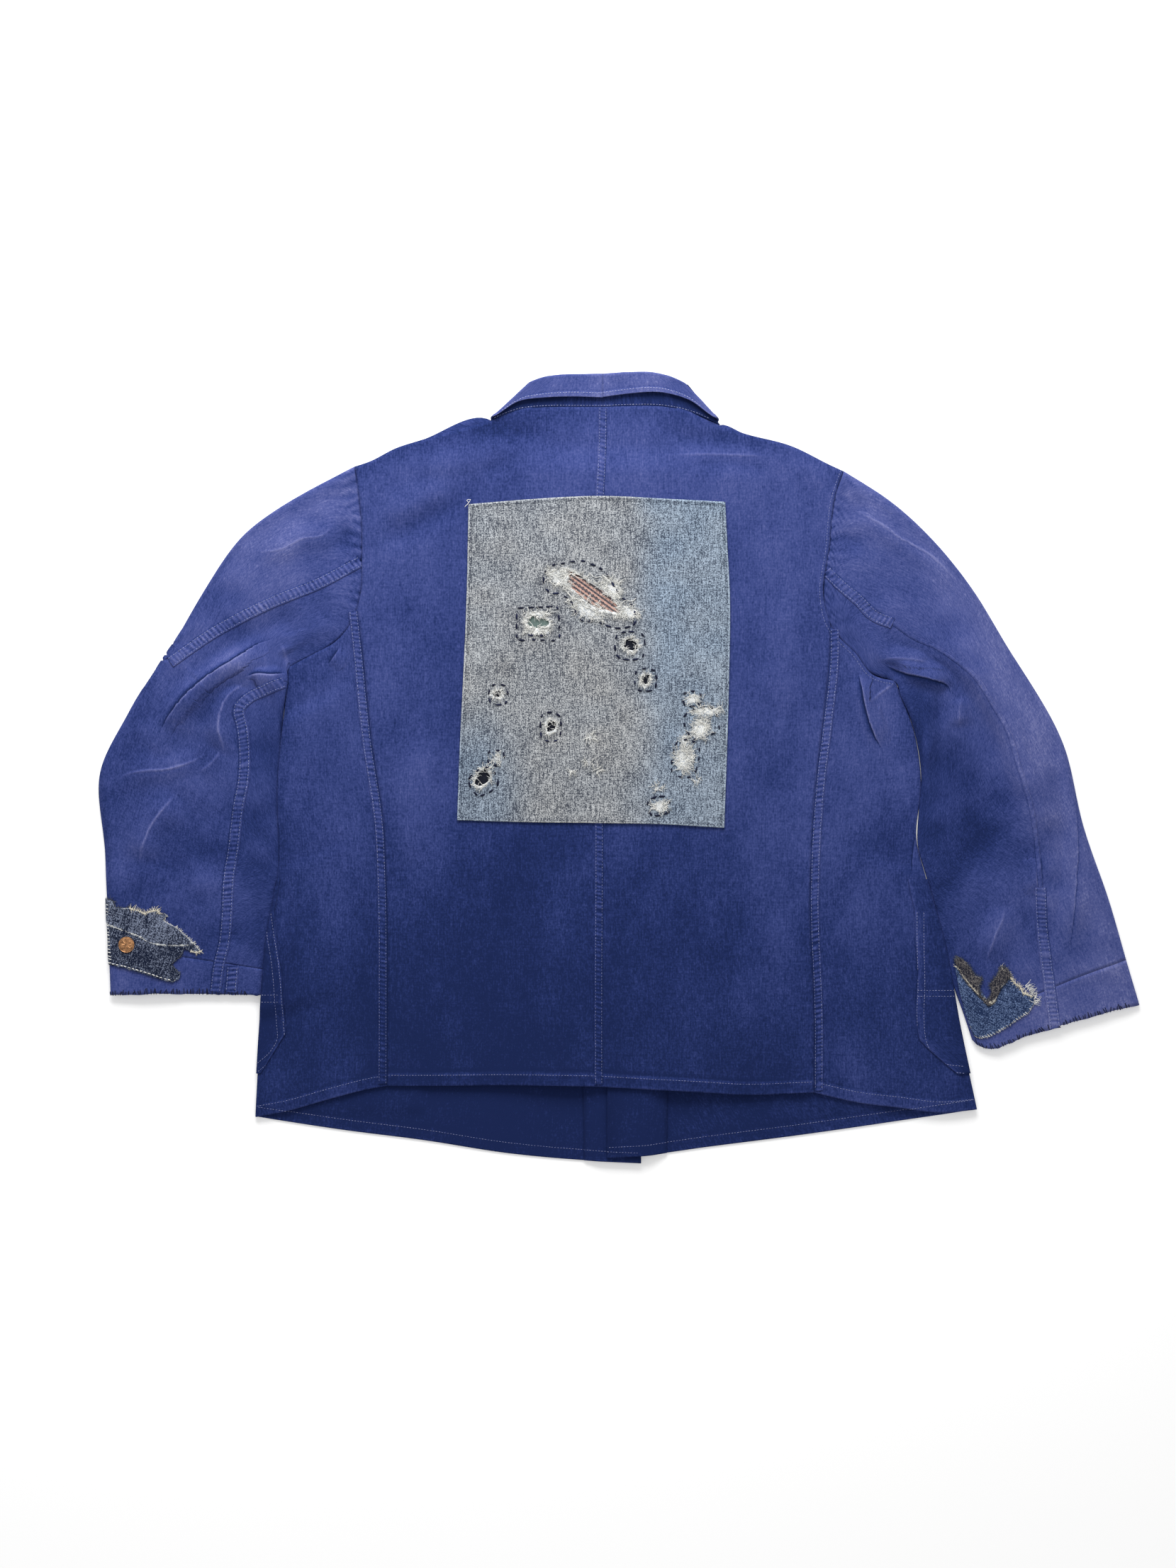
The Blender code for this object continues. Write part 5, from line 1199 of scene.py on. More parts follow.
# Places where only the white threads are left: centre, half length, half width, slant, strength.
BARE_SPOTS = [
    ((-44, -181), 14, 8, -35, 0.9), ((12, -192), 13, 10, -50, 1.0), ((-14, -214), 22, 9, -27, 0.85),
    ((30, -217), 12, 7, -20, 0.9), ((-66, -237), 15, 4, -3, 1.2), ((-66, -219), 14, 3, 3, 0.9),
    ((97, -309), 8, 5, 20, 0.9), ((113, -322), 17, 5, 4, 0.9), ((106, -340), 12, 10, 70, 1.0), ((89, -352), 4, 5, 0, 1.1),
    ((88, -373), 10, 15, 8, 0.85), ((94, -367), 3, 10, 0, 1.2), ((102, -395), 3, 3, 0, 0.7), ((61, -403), 4, 3, 0, 0.7),
    ((63, -422), 9, 6, 15, 1.0), ((-10.5, -349), 4, 2.5, 0, 0.8), ((-12, -376), 4, 2, 0, 0.7), ((-31, -385), 3, 2.5, 0, 0.7),
    ((-110, -372), 6, 4, 40, 0.7), ((-2, -384), 3, 2, 0, 0.6),
]


def slanted(points, slant):
    """Plan points turned about the origin by a slant in degrees."""
    angle = math.radians(slant)
    return np.asarray(points) @ np.array([(math.cos(angle), math.sin(angle)), (-math.sin(angle), math.cos(angle))])


def reach_in(x, y, centre, half_long, half_wide, slant):
    """Plan points as seen from the centre of a slanted oval, in parts of its half length and half width."""
    return np.moveaxis(slanted(np.stack([x - centre[0], y - centre[1]], axis=-1), -slant) / (half_long, half_wide), -1, 0)


def beyond_holes(x, y):
    """How far plan points lie outside each hole's torn rim, in millimetres."""
    away = []
    for number, (_, centre, half_long, half_wide, slant) in enumerate(HOLES):
        u, v = reach_in(x, y, centre, half_long, half_wide, slant)
        turn = np.arctan2(v, u)
        reach = 0.93 + 0.14 * (0.65 * np.sin(3 * turn + number) + 0.35 * np.cos(5 * turn + 2 * number))
        reach += 0.9 * mottle(x, y, 3.1, 70 + number) / half_wide
        away.append((np.hypot(u, v) - reach) * half_wide)
    return np.array(away)


def patch_top(x, y):
    return back_top(x, y) + small_relief(x, y) + CLOTH + 0.25


# Worn denim: slubby two-tone yarns, grey to blue, with the white threads showing where it is bare and a painted shadow
# in the gaps between them.
denim, (place, fade, blue, bare, contrast, dark_yarn, light_yarn, blue_tint), out = new_group(
    "denim", ("Colour", "Height"), Vector=None, Fade=0.5, Blue=0.0, Bare=0.0, Contrast=1.0,
    Dark_Yarn=(0.09, 0.105, 0.135, 1), Light_Yarn=(0.46, 0.47, 0.48, 1), Blue_Tint=(0.62, 0.83, 1.12, 1))
slub, grit = noise(place, 0.0013, 0.016, 3.0), noise(place, 0.00125, 0.0015)
value = (slub - 0.5) * 1.5 + (noise(place, 0.009, 0.0012, 2.0, 0.55) - 0.5) * 0.7 + (grit - 0.5) * 2.8
value = (value + (noise(place, 0.0030, 0.0042, 2.0, 0.7) - 0.5) * 1.1) * contrast
value = value + (noise(place, 0.022, 0.030, 3.0) - 0.5) * 0.5 + fade
tinted = mixed(blue, mixed(value, dark_yarn, light_yarn), blue_tint, blend_type="MULTIPLY")
fibres = (noise(place, 0.0026, 0.0026, 2.0, 0.5, 1.6) - 0.5).math("ABSOLUTE") * -9.0 + 1.25
amount = (((noise(place, 0.006, 0.006, 2.0, 0.5) - 0.5) * 1.4 + bare - 0.35) * 2.2).math("MAXIMUM", 0.0)
shown = node(denim, "Clamp", (fibres + amount) * amount)
hairs_over_painted_gaps = node(denim, "Clamp", (noise(place, 0.0017, 0.0017, 2.0, 0.6, 2.2) - 0.5).math("ABSOLUTE") * -11.0 + 1.35)
fill(out["Colour"], mixed(shown, tinted, mixed(hairs_over_painted_gaps, (0.26, 0.31, 0.40), (0.88, 0.87, 0.81))))
fill(out["Height"], grit * 0.8 + slub * 0.6 + shown * 0.6)


def denim_cloth(name, dark_yarn, light_yarn, blue_tint=(0.62, 0.83, 1.12), contrast=1.0, bump=0.5):
    """A worn denim with its own yarn colours. The piece's wear gives its paleness, its blue and its bare places."""
    made, place, (fade, blue, bare, _), inputs = worn_finish(name, Roughness=0.95, Specular_IOR_Level=0.1)
    colour, height = node(place.tree, "Group", out=("Colour", "Height"), node_tree=denim, in_Vector=place, in_Fade=fade,
                          in_Blue=blue, in_Bare=bare, in_Contrast=contrast, in_Dark_Yarn=(*dark_yarn, 1),
                          in_Light_Yarn=(*light_yarn, 1), in_Blue_Tint=(*blue_tint, 1))
    fill(inputs["Base Color"], colour)
    fill(inputs["Normal"], raised(height, bump, 0.0005))
    return made


def spot_strength(x, y, spots):
    """How bare the cloth is at each plan point, from rounded spots."""
    strength = np.zeros(np.shape(x))
    for *oval, most in spots:
        away = np.hypot(*reach_in(x, y, *oval))
        strength = np.maximum(strength, most * np.exp(-np.clip(away - 0.55, 0, None) ** 2 * 5.0))
    return strength


def at_rim(keep):
    """Which points of a grid lie between cells that are kept and cells that aren't, or on the kept cloth's edge."""
    corner = np.zeros((keep.shape[0] + 1, keep.shape[1] + 1), int)
    for i, j in ((0, 0), (0, 1), (1, 0), (1, 1)):
        corner[i : i + keep.shape[0], j : j + keep.shape[1]] += keep
    return (corner > 0) & (corner < 4)


def cell_mean(values):
    """The mean of the four corners of each cell of a grid."""
    return (values[:-1, :-1] + values[1:, :-1] + values[:-1, 1:] + values[1:, 1:]) / 4


across, along = (spacing(length, 2.3, low=6, high=6, fine=1.2) for length in PATCH_SIZE)
plan = filled(*(soft_line(PATCH_EDGES[key], along if key in ("left", "right") else across) for key in PATCH_EDGES))
x, y = plan[..., 0], plan[..., 1]
inside = beyond_holes(x, y).min(axis=0)
keep = cell_mean(inside) > 0
# Points beside a hole move onto its rim, so that the tear has a clean line.
beside = at_rim(keep)
beside[[0, -1]] = beside[:, [0, -1]] = False
for _ in range(3):
    px, py = x[beside], y[beside]
    nearest = beyond_holes(px, py).argmin(axis=0)[None]
    value, right, ahead = (np.take_along_axis(beyond_holes(px + dx, py + dy), nearest, axis=0)[0]
                           for dx, dy in ((0, 0), (0.3, 0), (0, 0.3)))
    slope = np.stack([right - value, ahead - value], axis=1) / 0.3
    move = -value[:, None] * slope / np.maximum((slope**2).sum(axis=1, keepdims=True), 0.05)
    move *= np.minimum(1, 1.3 / np.maximum(np.linalg.norm(move, axis=1, keepdims=True), 1e-6))
    x[beside] += 0.7 * move[:, 0]
    y[beside] += 0.7 * move[:, 1]
to_edge = np.minimum(np.minimum(across, 1 - across) * PATCH_SIZE[0], np.minimum(along, 1 - along)[:, None] * PATCH_SIZE[1])
outside = np.clip(inside, 0, None)
relief = 0.25 * (1 + mottle(x, y, 24, 82)) + 0.12 * (1 + mottle(x, y, 9, 83)) + 0.35 * ease((5.0 - to_edge) / 1.5)
relief += 1.1 * hump(outside, 0, 3.0) * (0.6 + 0.6 * mottle(x, y, 9, 81)) + 0.22 * puckers(to_edge - 3, x + y, 5, 6.5, 84)
patch = with_height(plan, patch_top(x, y) + relief)
right_blue = ease((x - 20 - 14 * mottle(x, y, 60, 85)) / 55)
blue = 0.16 + 0.12 * ease((y + 330) / 200) + 0.70 * right_blue + 0.75 * ease((-60 - x) / 70) * ease((-290 - y) / 90)
blue = np.clip(blue + 0.12 * mottle(x, y, 25, 86), 0, 1)
bare = np.maximum(spot_strength(x, y, BARE_SPOTS), 0.95 * hump(outside, 0, 2.6))
# Paler on what stands up, partly painted light. The dark ring round each hole is grime together with painted shade
# beyond the raised rim.
pale = 0.385 + 0.06 * mottle(x, y, 45, 87) + 0.05 * mottle(x, y, 14, 88) + 0.12 * (relief - 0.4) + 0.07 * right_blue
pale += 0.25 * np.exp(-to_edge / 1.2) - 0.26 * hump(to_edge, 3.4, 1.2) - 0.10 * hump(outside, 5, 3.5)
patch_denim = denim_cloth("patch_denim_cloth", (0.058, 0.064, 0.080), (0.55, 0.548, 0.535), (0.66, 0.83, 1.06), 1.15)
piece = cloth("denim_patch", patch, facing(patch, keep), patch_denim, patch[..., :2], np.stack([pale, blue, bare], axis=-1),
              keep=keep)
sewn(piece, "back_patch", "patch_denim", flat=(0.30, 0.36), rests_on=["back_panel_left", "back_panel_right"], area=0.096)


def plain_weave(name, colours, stripe=None):
    """A simple cloth of two yarn colours, with woven stripes where stripe gives their width in metres."""
    made, place, (fade, *_), inputs = worn_finish(name, Roughness=0.92, Specular_IOR_Level=0.1)
    threads = noise(place, 0.0009, 0.0035)
    value = (threads - 0.5) * 1.6 + 0.5 + (noise(place, 0.005, 0.005, 2.0, 0.5) - 0.5) * 0.7 + (fade - 0.5)
    shown = mixed(value, *colours[:2])
    if stripe:
        wave = (node(place.tree, "SeparateXYZ", place, out="Y") * (2 * math.pi / stripe)).math("SINE") * 2.5 + 0.6
        shown = mixed(node(place.tree, "Clamp", wave), colours[2], shown)
    fill(inputs["Base Color"], shown)
    fill(inputs["Normal"], raised(threads, 0.4, 0.0004))
    return made


scrap_cloths = {
    "scrap_striped": (plain_weave("striped_scrap_cloth", [(0.38, 0.22, 0.18), (0.66, 0.43, 0.36), (0.10, 0.09, 0.10)],
                                  stripe=0.0042), "striped_cloth"),
    "scrap_grey": (plain_weave("grey_scrap_cloth", [(0.085, 0.125, 0.120), (0.165, 0.220, 0.205)]), "grey_cloth"),
}
dark_scrap = plain_weave("dark_scrap_cloth", [(0.004, 0.005, 0.010), (0.016, 0.018, 0.028)]), "dark_cloth"
for number, (scrap, centre, half_long, half_wide, slant) in enumerate(HOLES):
    half = [half_long * 1.12 + 3.5, half_wide * 1.12 + 3.5]
    grain = np.stack(np.meshgrid(*(np.linspace(-size, size, max(5, round(size / 0.9))) for size in half)), axis=-1)
    plan = slanted(grain, slant) + centre
    x, y = plan[..., 0], plan[..., 1]
    grid = with_height(plan, back_top(x, y) + small_relief(x, y) + 0.95 + 0.2 * mottle(x, y, 6, 90 + number))
    finish, slot = scrap_cloths.get(scrap, dark_scrap)
    piece = cloth(scrap.replace("scrap", "mending_scrap"), grid, facing(grid), finish, grain, np.full((*x.shape, 3), 0.5),
                  thick=0.7)
    sewn(piece, scrap, slot, flat=[max(2 * size / 1000, 0.012) for size in half],
         rests_on=["back_panel_left", "back_panel_right"])

# ---- The seams and their stitches -------------------------------------------------------------------------------------
# Each long seam is felled: one edge is folded over the other into a strip and sewn twice in pale blue thread, and has
# drawn up into small rungs between its rows. Armholes, hems, pockets and edges have single or double rows of the thread.

ROW_AT = 0.72  # where a strip's two rows of stitches lie, as a share of half its width
STITCH_PITCH, STITCH_LENGTH, THREAD = 3.1, 2.3, 0.42
NARROW = 8.0  # a strip under this width is a crest, pinched up and without rows of its own
BACKS, FRONTS = (["%s_panel_left" % part, "%s_panel_right" % part] for part in ("back", "front"))
# The strips: the pieces they lie on, the width, which edge is folded (1 is the right one, looking along) and the middle.
SEAMS = {
    "centre_top": (BACKS, 9.0, 1, [(3, -1), (2.5, -40), (0, -97)]),
    "centre_low": (BACKS, 9.0, 1, [(-1, -439), (-1, -480), (-1.5, -600), (-1.5, -716)]),
    "side_left": (["back_panel_left", "front_panel_left"], 9.5, 1,
                  [(-261, -216), (-256, -262), (-246, -358), (-234, -440), (-231, -500), (-230, -640), (-230, -716)]),
    "side_right": (["back_panel_right", "front_panel_right"], 9.5, -1,
                   [(248, -235), (248, -264), (241, -332), (233, -400), (227, -511), (231, -647), (231, -723)]),
}
for side, label, folded, points in (
        ("left", "back", -1, SEAM_LINES["left"]["back"][:4] + [(-454.5, -270)]),
        ("left", "under", -1, SEAM_LINES["left"]["under"]),
        ("right", "back", 1, SEAM_LINES["right"]["back"][:5]), ("right", "back_low", 1, SEAM_LINES["right"]["back"][15:])):
    pieces = [piece + side for piece in ("top_sleeve_cloth_", "under_sleeve_cloth_", "cuff_band_")]
    SEAMS["sleeve_%s_%s" % (label, side)] = (pieces, 12.5, folded, points)
SEAMS["sleeve_crest_right"] = (["top_sleeve_cloth_right", "under_sleeve_cloth_right"], 5.0, -1,
                               SEAM_LINES["right"]["back"][4:16])
SEAMS["placket_left"] = (["cuff_band_left"], 13.0, -1, [(-387.5, -574), (-389, -600), (-390.5, -619)])


def lay(plan, pieces, above=True):
    """Where plan points meet the outermost cloth of the pieces: places, facings, and fading with its painted shade; nan
    where there is none.
    """
    way = -1.0 if above else 1.0
    targets = []
    for piece in pieces:
        mesh = bpy.data.objects[piece].data
        worn = np.empty(len(mesh.vertices) * 4, np.float32)
        mesh.attributes["wear_and_shade"].data.foreach_get("color", worn)
        targets.append((bpy.data.objects[piece], worn.reshape(-1, 4)))
    flat = np.asarray(plan, float).reshape(-1, 2)
    places, facings, pale = np.full((len(flat), 3), np.nan), np.zeros((len(flat), 3)), np.zeros(len(flat))
    for number, (x, y) in enumerate(flat * 0.001 + neck_seam[:2]):
        best = None
        for target, worn in targets:
            hit, place, normal, face = target.ray_cast((x, y, -0.3 * way), (0, 0, way))
            if hit and (best is None or (place.z - best[0].z) * way < 0):
                best = (place, normal, worn[target.data.polygons[face].vertices[0]])
        if best:
            places[number] = (np.array(best[0]) - neck_seam) * 1000
            facings[number] = best[1]
            # Paleness less painted shade.
            pale[number] = best[2][0] - best[2][1]
    shape = np.shape(plan)[:-1]
    return places.reshape(*shape, 3), facings.reshape(*shape, 3), pale.reshape(shape)


def even_line(points, step):
    """Plan points at even steps along a soft line, with the sideways direction to the right of travel."""
    length = length_along(soft_line(points, np.linspace(0, 1, 100)))[-1]
    line = soft_line(points, np.linspace(0, 1, max(2, round(length / step) + 1)))
    way = unit(np.gradient(line, axis=0))
    return line, np.stack([way[:, 1], -way[:, 0]], axis=1), length


def strands(name, paths, radii, finish, tone):
    """Many threads in one mesh: paths holds the points of each, radii its half thickness there and tone its shade."""
    paths = np.asarray(paths, float)
    many, rings = paths.shape[:2]
    way = unit(np.gradient(paths, axis=1))
    aside = unit(np.cross(way, (0.13, 0.21, 0.97)))
    turn = np.arange(4) * math.pi / 2
    ring = np.cos(turn)[:, None] * aside[:, :, None] + np.sin(turn)[:, None] * np.cross(aside, way)[:, :, None]
    points = (paths[:, :, None] + np.broadcast_to(radii, (many, rings))[..., None, None] * ring).reshape(-1, 3)
    number = np.arange(many * rings * 4).reshape(many, rings, 4)
    here, after = number[:, :-1], number[:, 1:]
    faces = np.stack([here, after, np.roll(after, -1, axis=2), np.roll(here, -1, axis=2)], axis=-1).reshape(-1, 4)
    faces = np.concatenate([faces, number[:, 0], number[:, -1, ::-1]])
    far = [length_along(path) + 7.3 * k for k, path in enumerate(paths)]
    spots = np.stack(np.broadcast_arrays(np.array(far)[..., None], turn / 4), axis=-1)
    wear_and_shade = np.repeat(np.asarray(tone, float), rings * 4)[:, None] * np.ones(3)
    return add_mesh(name, points, faces, finish, spots.reshape(-1, 2)[faces.ravel()], wear_and_shade)


def thread_finish(name, dark, light):
    """Cotton thread: a twisted strand whose shade runs from dark to light by the strand's own tone."""
    made, place, (tone, *_), inputs = worn_finish(name, Roughness=0.85, Specular_IOR_Level=0.2)
    twist = node(place.tree, "TexWave", stretched(place, 0.0022, 0.0022), out="Fac", in_Scale=1.0, in_Distortion=0.6,
                 bands_direction="DIAGONAL")
    fill(inputs["Base Color"], mixed(noise(place, 0.0011, 0.0006) - 0.5 + tone, dark, light))
    fill(inputs["Normal"], raised(twist, 0.4, 0.0002))
    return made


def strokes(name, starts, ends, pieces, finish, above=True, thick=THREAD, seed=1, tone=0.3, contrast=0.35, rise=0.12):
    """Threads that come up at each start, run over the cloth to the end and go down again."""
    chance = np.random.default_rng(seed)
    marks = np.stack([starts, 0.72 * starts + 0.28 * ends, 0.28 * starts + 0.72 * ends, ends], axis=1)
    places, facings, pale = lay(marks, pieces, above)
    good = ~np.isnan(places).any(axis=(1, 2))
    places, facings, pale = places[good], facings[good], pale[good]
    paths = places + facings * np.array([-0.22, rise, rise, -0.22])[:, None]
    radii = thick / 2 * np.array([0.7, 1.0, 1.0, 0.7]) * chance.uniform(0.85, 1.15, (len(paths), 1))
    # Each thread is paler or darker with the cloth under it, painted shade included.
    shade = tone + contrast * chance.uniform(0, 1, len(paths)) + 0.5 * (pale.mean(axis=1) - 0.4)
    return strands(name, paths, radii, finish, np.clip(shade, 0, 1))


def stitch_rows(name, lines, pieces, finish, pitch=STITCH_PITCH, length=STITCH_LENGTH, uneven=0.25, seed=1, **how):
    """Rows of stitches along lines in plan, each of about the same length and pitch."""
    chance = np.random.default_rng(seed)
    starts, ends = [], []
    for points in lines:
        line, _, reach = even_line(points, 1.0)
        places = np.arange(0.3, reach - length, pitch)
        places = places + chance.uniform(-uneven, uneven, len(places))
        far = places + length * chance.uniform(1 - uneven / 2, 1, len(places))
        for target, spots in ((starts, places), (ends, far)):
            target.append(picked(spots, np.linspace(0, reach, len(line)), line))
    return strokes(name, np.concatenate(starts), np.concatenate(ends), pieces, finish, seed=seed, **how)


def strip(name, key):
    """A felled seam's strip, laid on the pieces it joins and drawn up into rungs between its rows."""
    pieces, width, folded, points = SEAMS[key]
    line, aside, length = even_line(points, 1.0)
    shares = np.array([-1, -0.9, -0.72, -0.4, 0, 0.4, 0.72, 0.9, 1])
    at = np.linspace(0, length, len(line))
    seed = 100 + 7 * list(SEAMS).index(key)
    wander = (0.5 * mottle(at, 0 * at, 24, seed) + 0.3 * mottle(at, 0 * at, 7, seed + 1))[:, None, None]
    plan = line[:, None] + aside[:, None] * (shares[:, None] * width / 2 * (1 + 0.06 * wander) + wander * 0.5)
    places, facings, pale = lay(plan, pieces)
    # Where a strip reaches past the cloth, it keeps the height of the nearest place on it.
    for row, column in np.argwhere(np.isnan(places[..., 2])):
        known = np.flatnonzero(~np.isnan(places[row, :, 2]))
        if len(known):
            nearest = known[np.abs(known - column).argmin()]
            places[row, column] = (*plan[row, column], places[row, nearest, 2])
            facings[row, column], pale[row, column] = facings[row, nearest], pale[row, nearest]
    good = ~np.isnan(places[..., 2]).any(axis=1)
    places, facings, pale, at = places[good], facings[good], pale[good], at[good][:, None]
    smooth = sum(np.roll(facings, shift, axis=0) for shift in (0, -2, -1, 1, 2))
    smooth = unit(smooth + (0, 0, 1.5))
    across = shares * folded
    rungs = np.sin(2 * math.pi * (at / 5.0 + 0.22 * across + 0.5 * mottle(at, 0 * at, 11, seed + 2)))
    rungs = rungs * (0.75 + 0.5 * mottle(at + 0 * across, across * 20, 14, seed + 3)) * (1 - across**4)
    if width < NARROW:
        rungs *= 0.15
    height = 0.25 + 0.85 * ease((across + 1.05) / 0.5) * (0.55 + 0.45 * ease((across + 1) / 2)) + 0.34 * rungs
    height = (height - 0.30 * hump(np.abs(across), ROW_AT, 0.13)) * np.where(np.abs(across) > 0.95, 0.55, 1.0)
    # Paler on the rungs' ridges and darker between them, partly wear and partly painted light and shade; painted shade
    # in the grooves of the two rows and a painted shadow along the open edge; the folded edge is worn pale.
    worn = pale + 0.08 + 0.26 * rungs - 0.12 * hump(np.abs(across), ROW_AT, 0.16)
    worn += 0.20 * hump(across, 0.93, 0.08) - 0.35 * hump(across, -1, 0.14)
    grain = np.stack(np.broadcast_arrays(shares * width / 2, at), axis=-1)
    made = cloth(name, places + smooth * height[..., None], smooth, blue_cloth, grain,
                 np.stack([worn, 0 * worn, 0 * worn], axis=-1), thick=0.8)
    if width < NARROW:
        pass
    else:
        width * 0.00125


pale_thread = thread_finish("pale_blue_thread", (0.110, 0.135, 0.330), (0.520, 0.540, 0.760))
for key in SEAMS:
    strip("felled_seam_" + key, key)
bpy.context.view_layer.update()
for key, (_, width, _, points) in SEAMS.items():
    if width > NARROW:
        line, aside, _ = even_line(points, 6)
        rows = [line + aside * sign * ROW_AT * width / 2 for sign in (-1, 1)]
        stitch_rows("stitches_" + key, rows, ["felled_seam_" + key], pale_thread, seed=len(key))


def shifted(points, right, up=0.0):
    """A line moved sideways, to the right of travel, and up the plan."""
    line, aside, _ = even_line(points, 8)
    return line + aside * right + np.array([0, up])


armholes = [shifted(soft_line(line["armhole_upper"] + line["armhole_lower"][1:], np.linspace(0, 1, 30)), 3.6)
            for line in LINES.values()]
back_hems, front_hems = ([shifted(line[key], 0, 11.2) for line in LINES.values() for key in keys]
                         for keys in (("hem_back", "hem_side"), ("hem_front",)))
collar_rows = []
for grid, station_at in collars.values():
    edge, inner = grid[:, -1, :2], grid[:, -4, :2]
    collar_rows.append((edge + unit(inner - edge, 1e-6) * 4.6)[station_at < 3.9][::4])
    collar_rows.append(grid[station_at < 3.8, 0, :2][::4] + np.array([0, 1.6]))
POCKET_LINES = [
    (1, [(-346, -535), (-343, -556), (-338, -588), (-335, -622), (-333.5, -649), (-333, -671), (-342, -687), (-361, -704)]),
    (-1, [(333.5, -534), (333.5, -562), (334.5, -617), (333.5, -644), (339, -680), (348, -694), (361, -702), (386, -706)]),
]
pocket_rows = [shifted(points, sign * inward) for sign, points in POCKET_LINES for inward in (1.4, 8.6)]
pocket_rows += [[(x, y) for x in places] for places, y in
                (((-364, -350, -337), -621.5), ((-364, -350, -337), -629), ((335, 355, 375), -617), ((335, 355, 375), -623))]
stitch_rows("stitches_armholes", armholes, BACKS + FRONTS, pale_thread, seed=21, tone=0.2, contrast=0.3)
stitch_rows("stitches_back_hem", back_hems, BACKS + FRONTS, pale_thread, seed=22)
stitch_rows("stitches_front_hems", front_hems, FRONTS + ["front_facing_left", "front_facing_right"], pale_thread, seed=23)
stitch_rows("stitches_collar", collar_rows, ["collar_leaf_left", "collar_leaf_right"], pale_thread, seed=24, tone=0.45,
            thick=0.5, contrast=0.5)
stitch_rows("stitches_pockets", pocket_rows, ["pocket_patch_left", "pocket_patch_right"], pale_thread, seed=25, tone=0.35)
# The rows that show where the jacket lies on the table.
under_rows = front_hems + [[(FREE_EDGE["left"] - off, y) for y in (-100, -450, -796)] for off in (4.0, 62.0)]
stitch_rows("stitches_underside", under_rows, FRONTS, pale_thread, seed=26, above=False)

# ---- The mending of the back patch ------------------------------------------------------------------------------------
# The patch is sewn down close to its folded edge. Round each hole run long uneven stitches of doubled navy thread that
# hold the scrap behind it, and the torn rims have gone to fluff and loose white threads.

navy_thread = thread_finish("navy_thread", (0.004, 0.006, 0.022), (0.030, 0.040, 0.120))
white_thread = thread_finish("white_thread", (0.42, 0.43, 0.43), (0.92, 0.91, 0.86))
edge_rows = [shifted(PATCH_EDGES[key], sign * 2.3) for key, sign in (("bottom", -1), ("top", 1), ("left", 1), ("right", -1))]
stitch_rows("stitches_patch_edge", edge_rows, ["denim_patch"], navy_thread, pitch=3.6, length=2.4, seed=31, tone=0.2,
            contrast=0.6, thick=0.45, rise=0.05)

# Rings of mending stitches as plan points, and shorter rings round the small holes as centre, half sizes and slant.
MENDING = [
    [(-58.5, -175.5), (-50, -168), (-37.5, -166), (-27, -164), (-18, -163.5), (-10.5, -166.5), (-2, -170), (6, -176),
     (12, -186), (18, -195), (21, -201), (28, -205), (34, -210), (37, -219), (37, -230), (29, -233.5), (17, -234.5),
     (8, -232), (-1, -228.5), (-10.5, -227), (-18, -227), (-23.5, -223), (-27, -214), (-31, -206), (-37, -201),
     (-43, -197.5), (-50, -198), (-57, -193), (-60, -185), (-58.5, -175.5)],
    [(-87.5, -213), (-72, -212.5), (-58, -212), (-45, -212.5), (-43.5, -222), (-43, -235), (-43.5, -246), (-58, -247),
     (-72, -246.5), (-87, -246), (-88, -234), (-87.5, -213)],
    [(-76, -241.5), (-66, -242.5), (-56, -242)],
]
RINGS = [
    ((31.5, -253), 16, 15, 0), ((48, -289), 11.5, 12, 0), ((-107.5, -304.5), 10, 11, 0), ((-52, -338.5), 11, 15.5, 0),
    ((-123, -396), 15, 13, 30), ((-110, -371), 9, 8, 0), ((97, -309), 10, 8, 10), ((107, -334), 18, 16, 20),
    ((90, -372), 14, 20, -10), ((62, -422), 12, 10, 10),
]
turn = np.linspace(0, 2 * math.pi, 25)
squared = 1 / np.maximum(np.abs(np.cos(turn)), np.abs(np.sin(turn))) ** 0.45
for centre, half_long, half_wide, slant in RINGS:
    ring = np.stack([half_long * np.cos(turn) * squared, half_wide * np.sin(turn) * squared], axis=1)
    MENDING.append(slanted(ring, slant) + centre)
stitch_rows("mending_stitches", MENDING, ["denim_patch"], navy_thread, pitch=10.2, length=7.2, uneven=1.1, seed=32,
            thick=2.0, tone=0.05, contrast=0.4, rise=0.55)
# Running stitches that quilt the striped scrap, along its stripes.
scrap_rows = [slanted([(-30, off), (0, off + 0.4), (30, off)], -37) + (-9, -198) for off in (-5.2, -2.6, 0, 2.6, 5.2)]
stitch_rows("scrap_running_stitches", scrap_rows, ["mending_scrap_striped"], navy_thread, pitch=4.4, length=2.6,
            uneven=0.5, seed=33, thick=0.6, tone=0.2)


def fluff(name, bases, ways, lengths, height_at, finish, seed, thick, tone, curl=0.35, rise=0.9):
    """Loose thread ends: each leaves its base along way and curls over the cloth, thinning to its tip."""
    chance = np.random.default_rng(seed)
    many = len(bases)
    steps = np.linspace(0, 1, 5)
    bend = chance.normal(0, curl, (many, 1)) * steps**2 + chance.normal(0, curl * 0.4, (many, 1)) * np.sin(steps * 3 * math.pi)
    aside = np.stack([-ways[:, 1], ways[:, 0]], axis=1)
    plan = bases[:, None] + lengths[:, None, None] * (ways[:, None] * steps[:, None] + aside[:, None] * bend[..., None])
    up = rise * chance.uniform(0.3, 1.3, (many, 1)) * np.sin(steps * math.pi * 0.85) + 0.1
    radii = thick / 2 * chance.uniform(0.7, 1.3, (many, 1)) * np.array([1.0, 1.0, 0.85, 0.6, 0.3])
    heights = height_at(plan[..., 0], plan[..., 1]) + up
    return strands(name, with_height(plan, heights), radii, finish, chance.uniform(*tone, many))


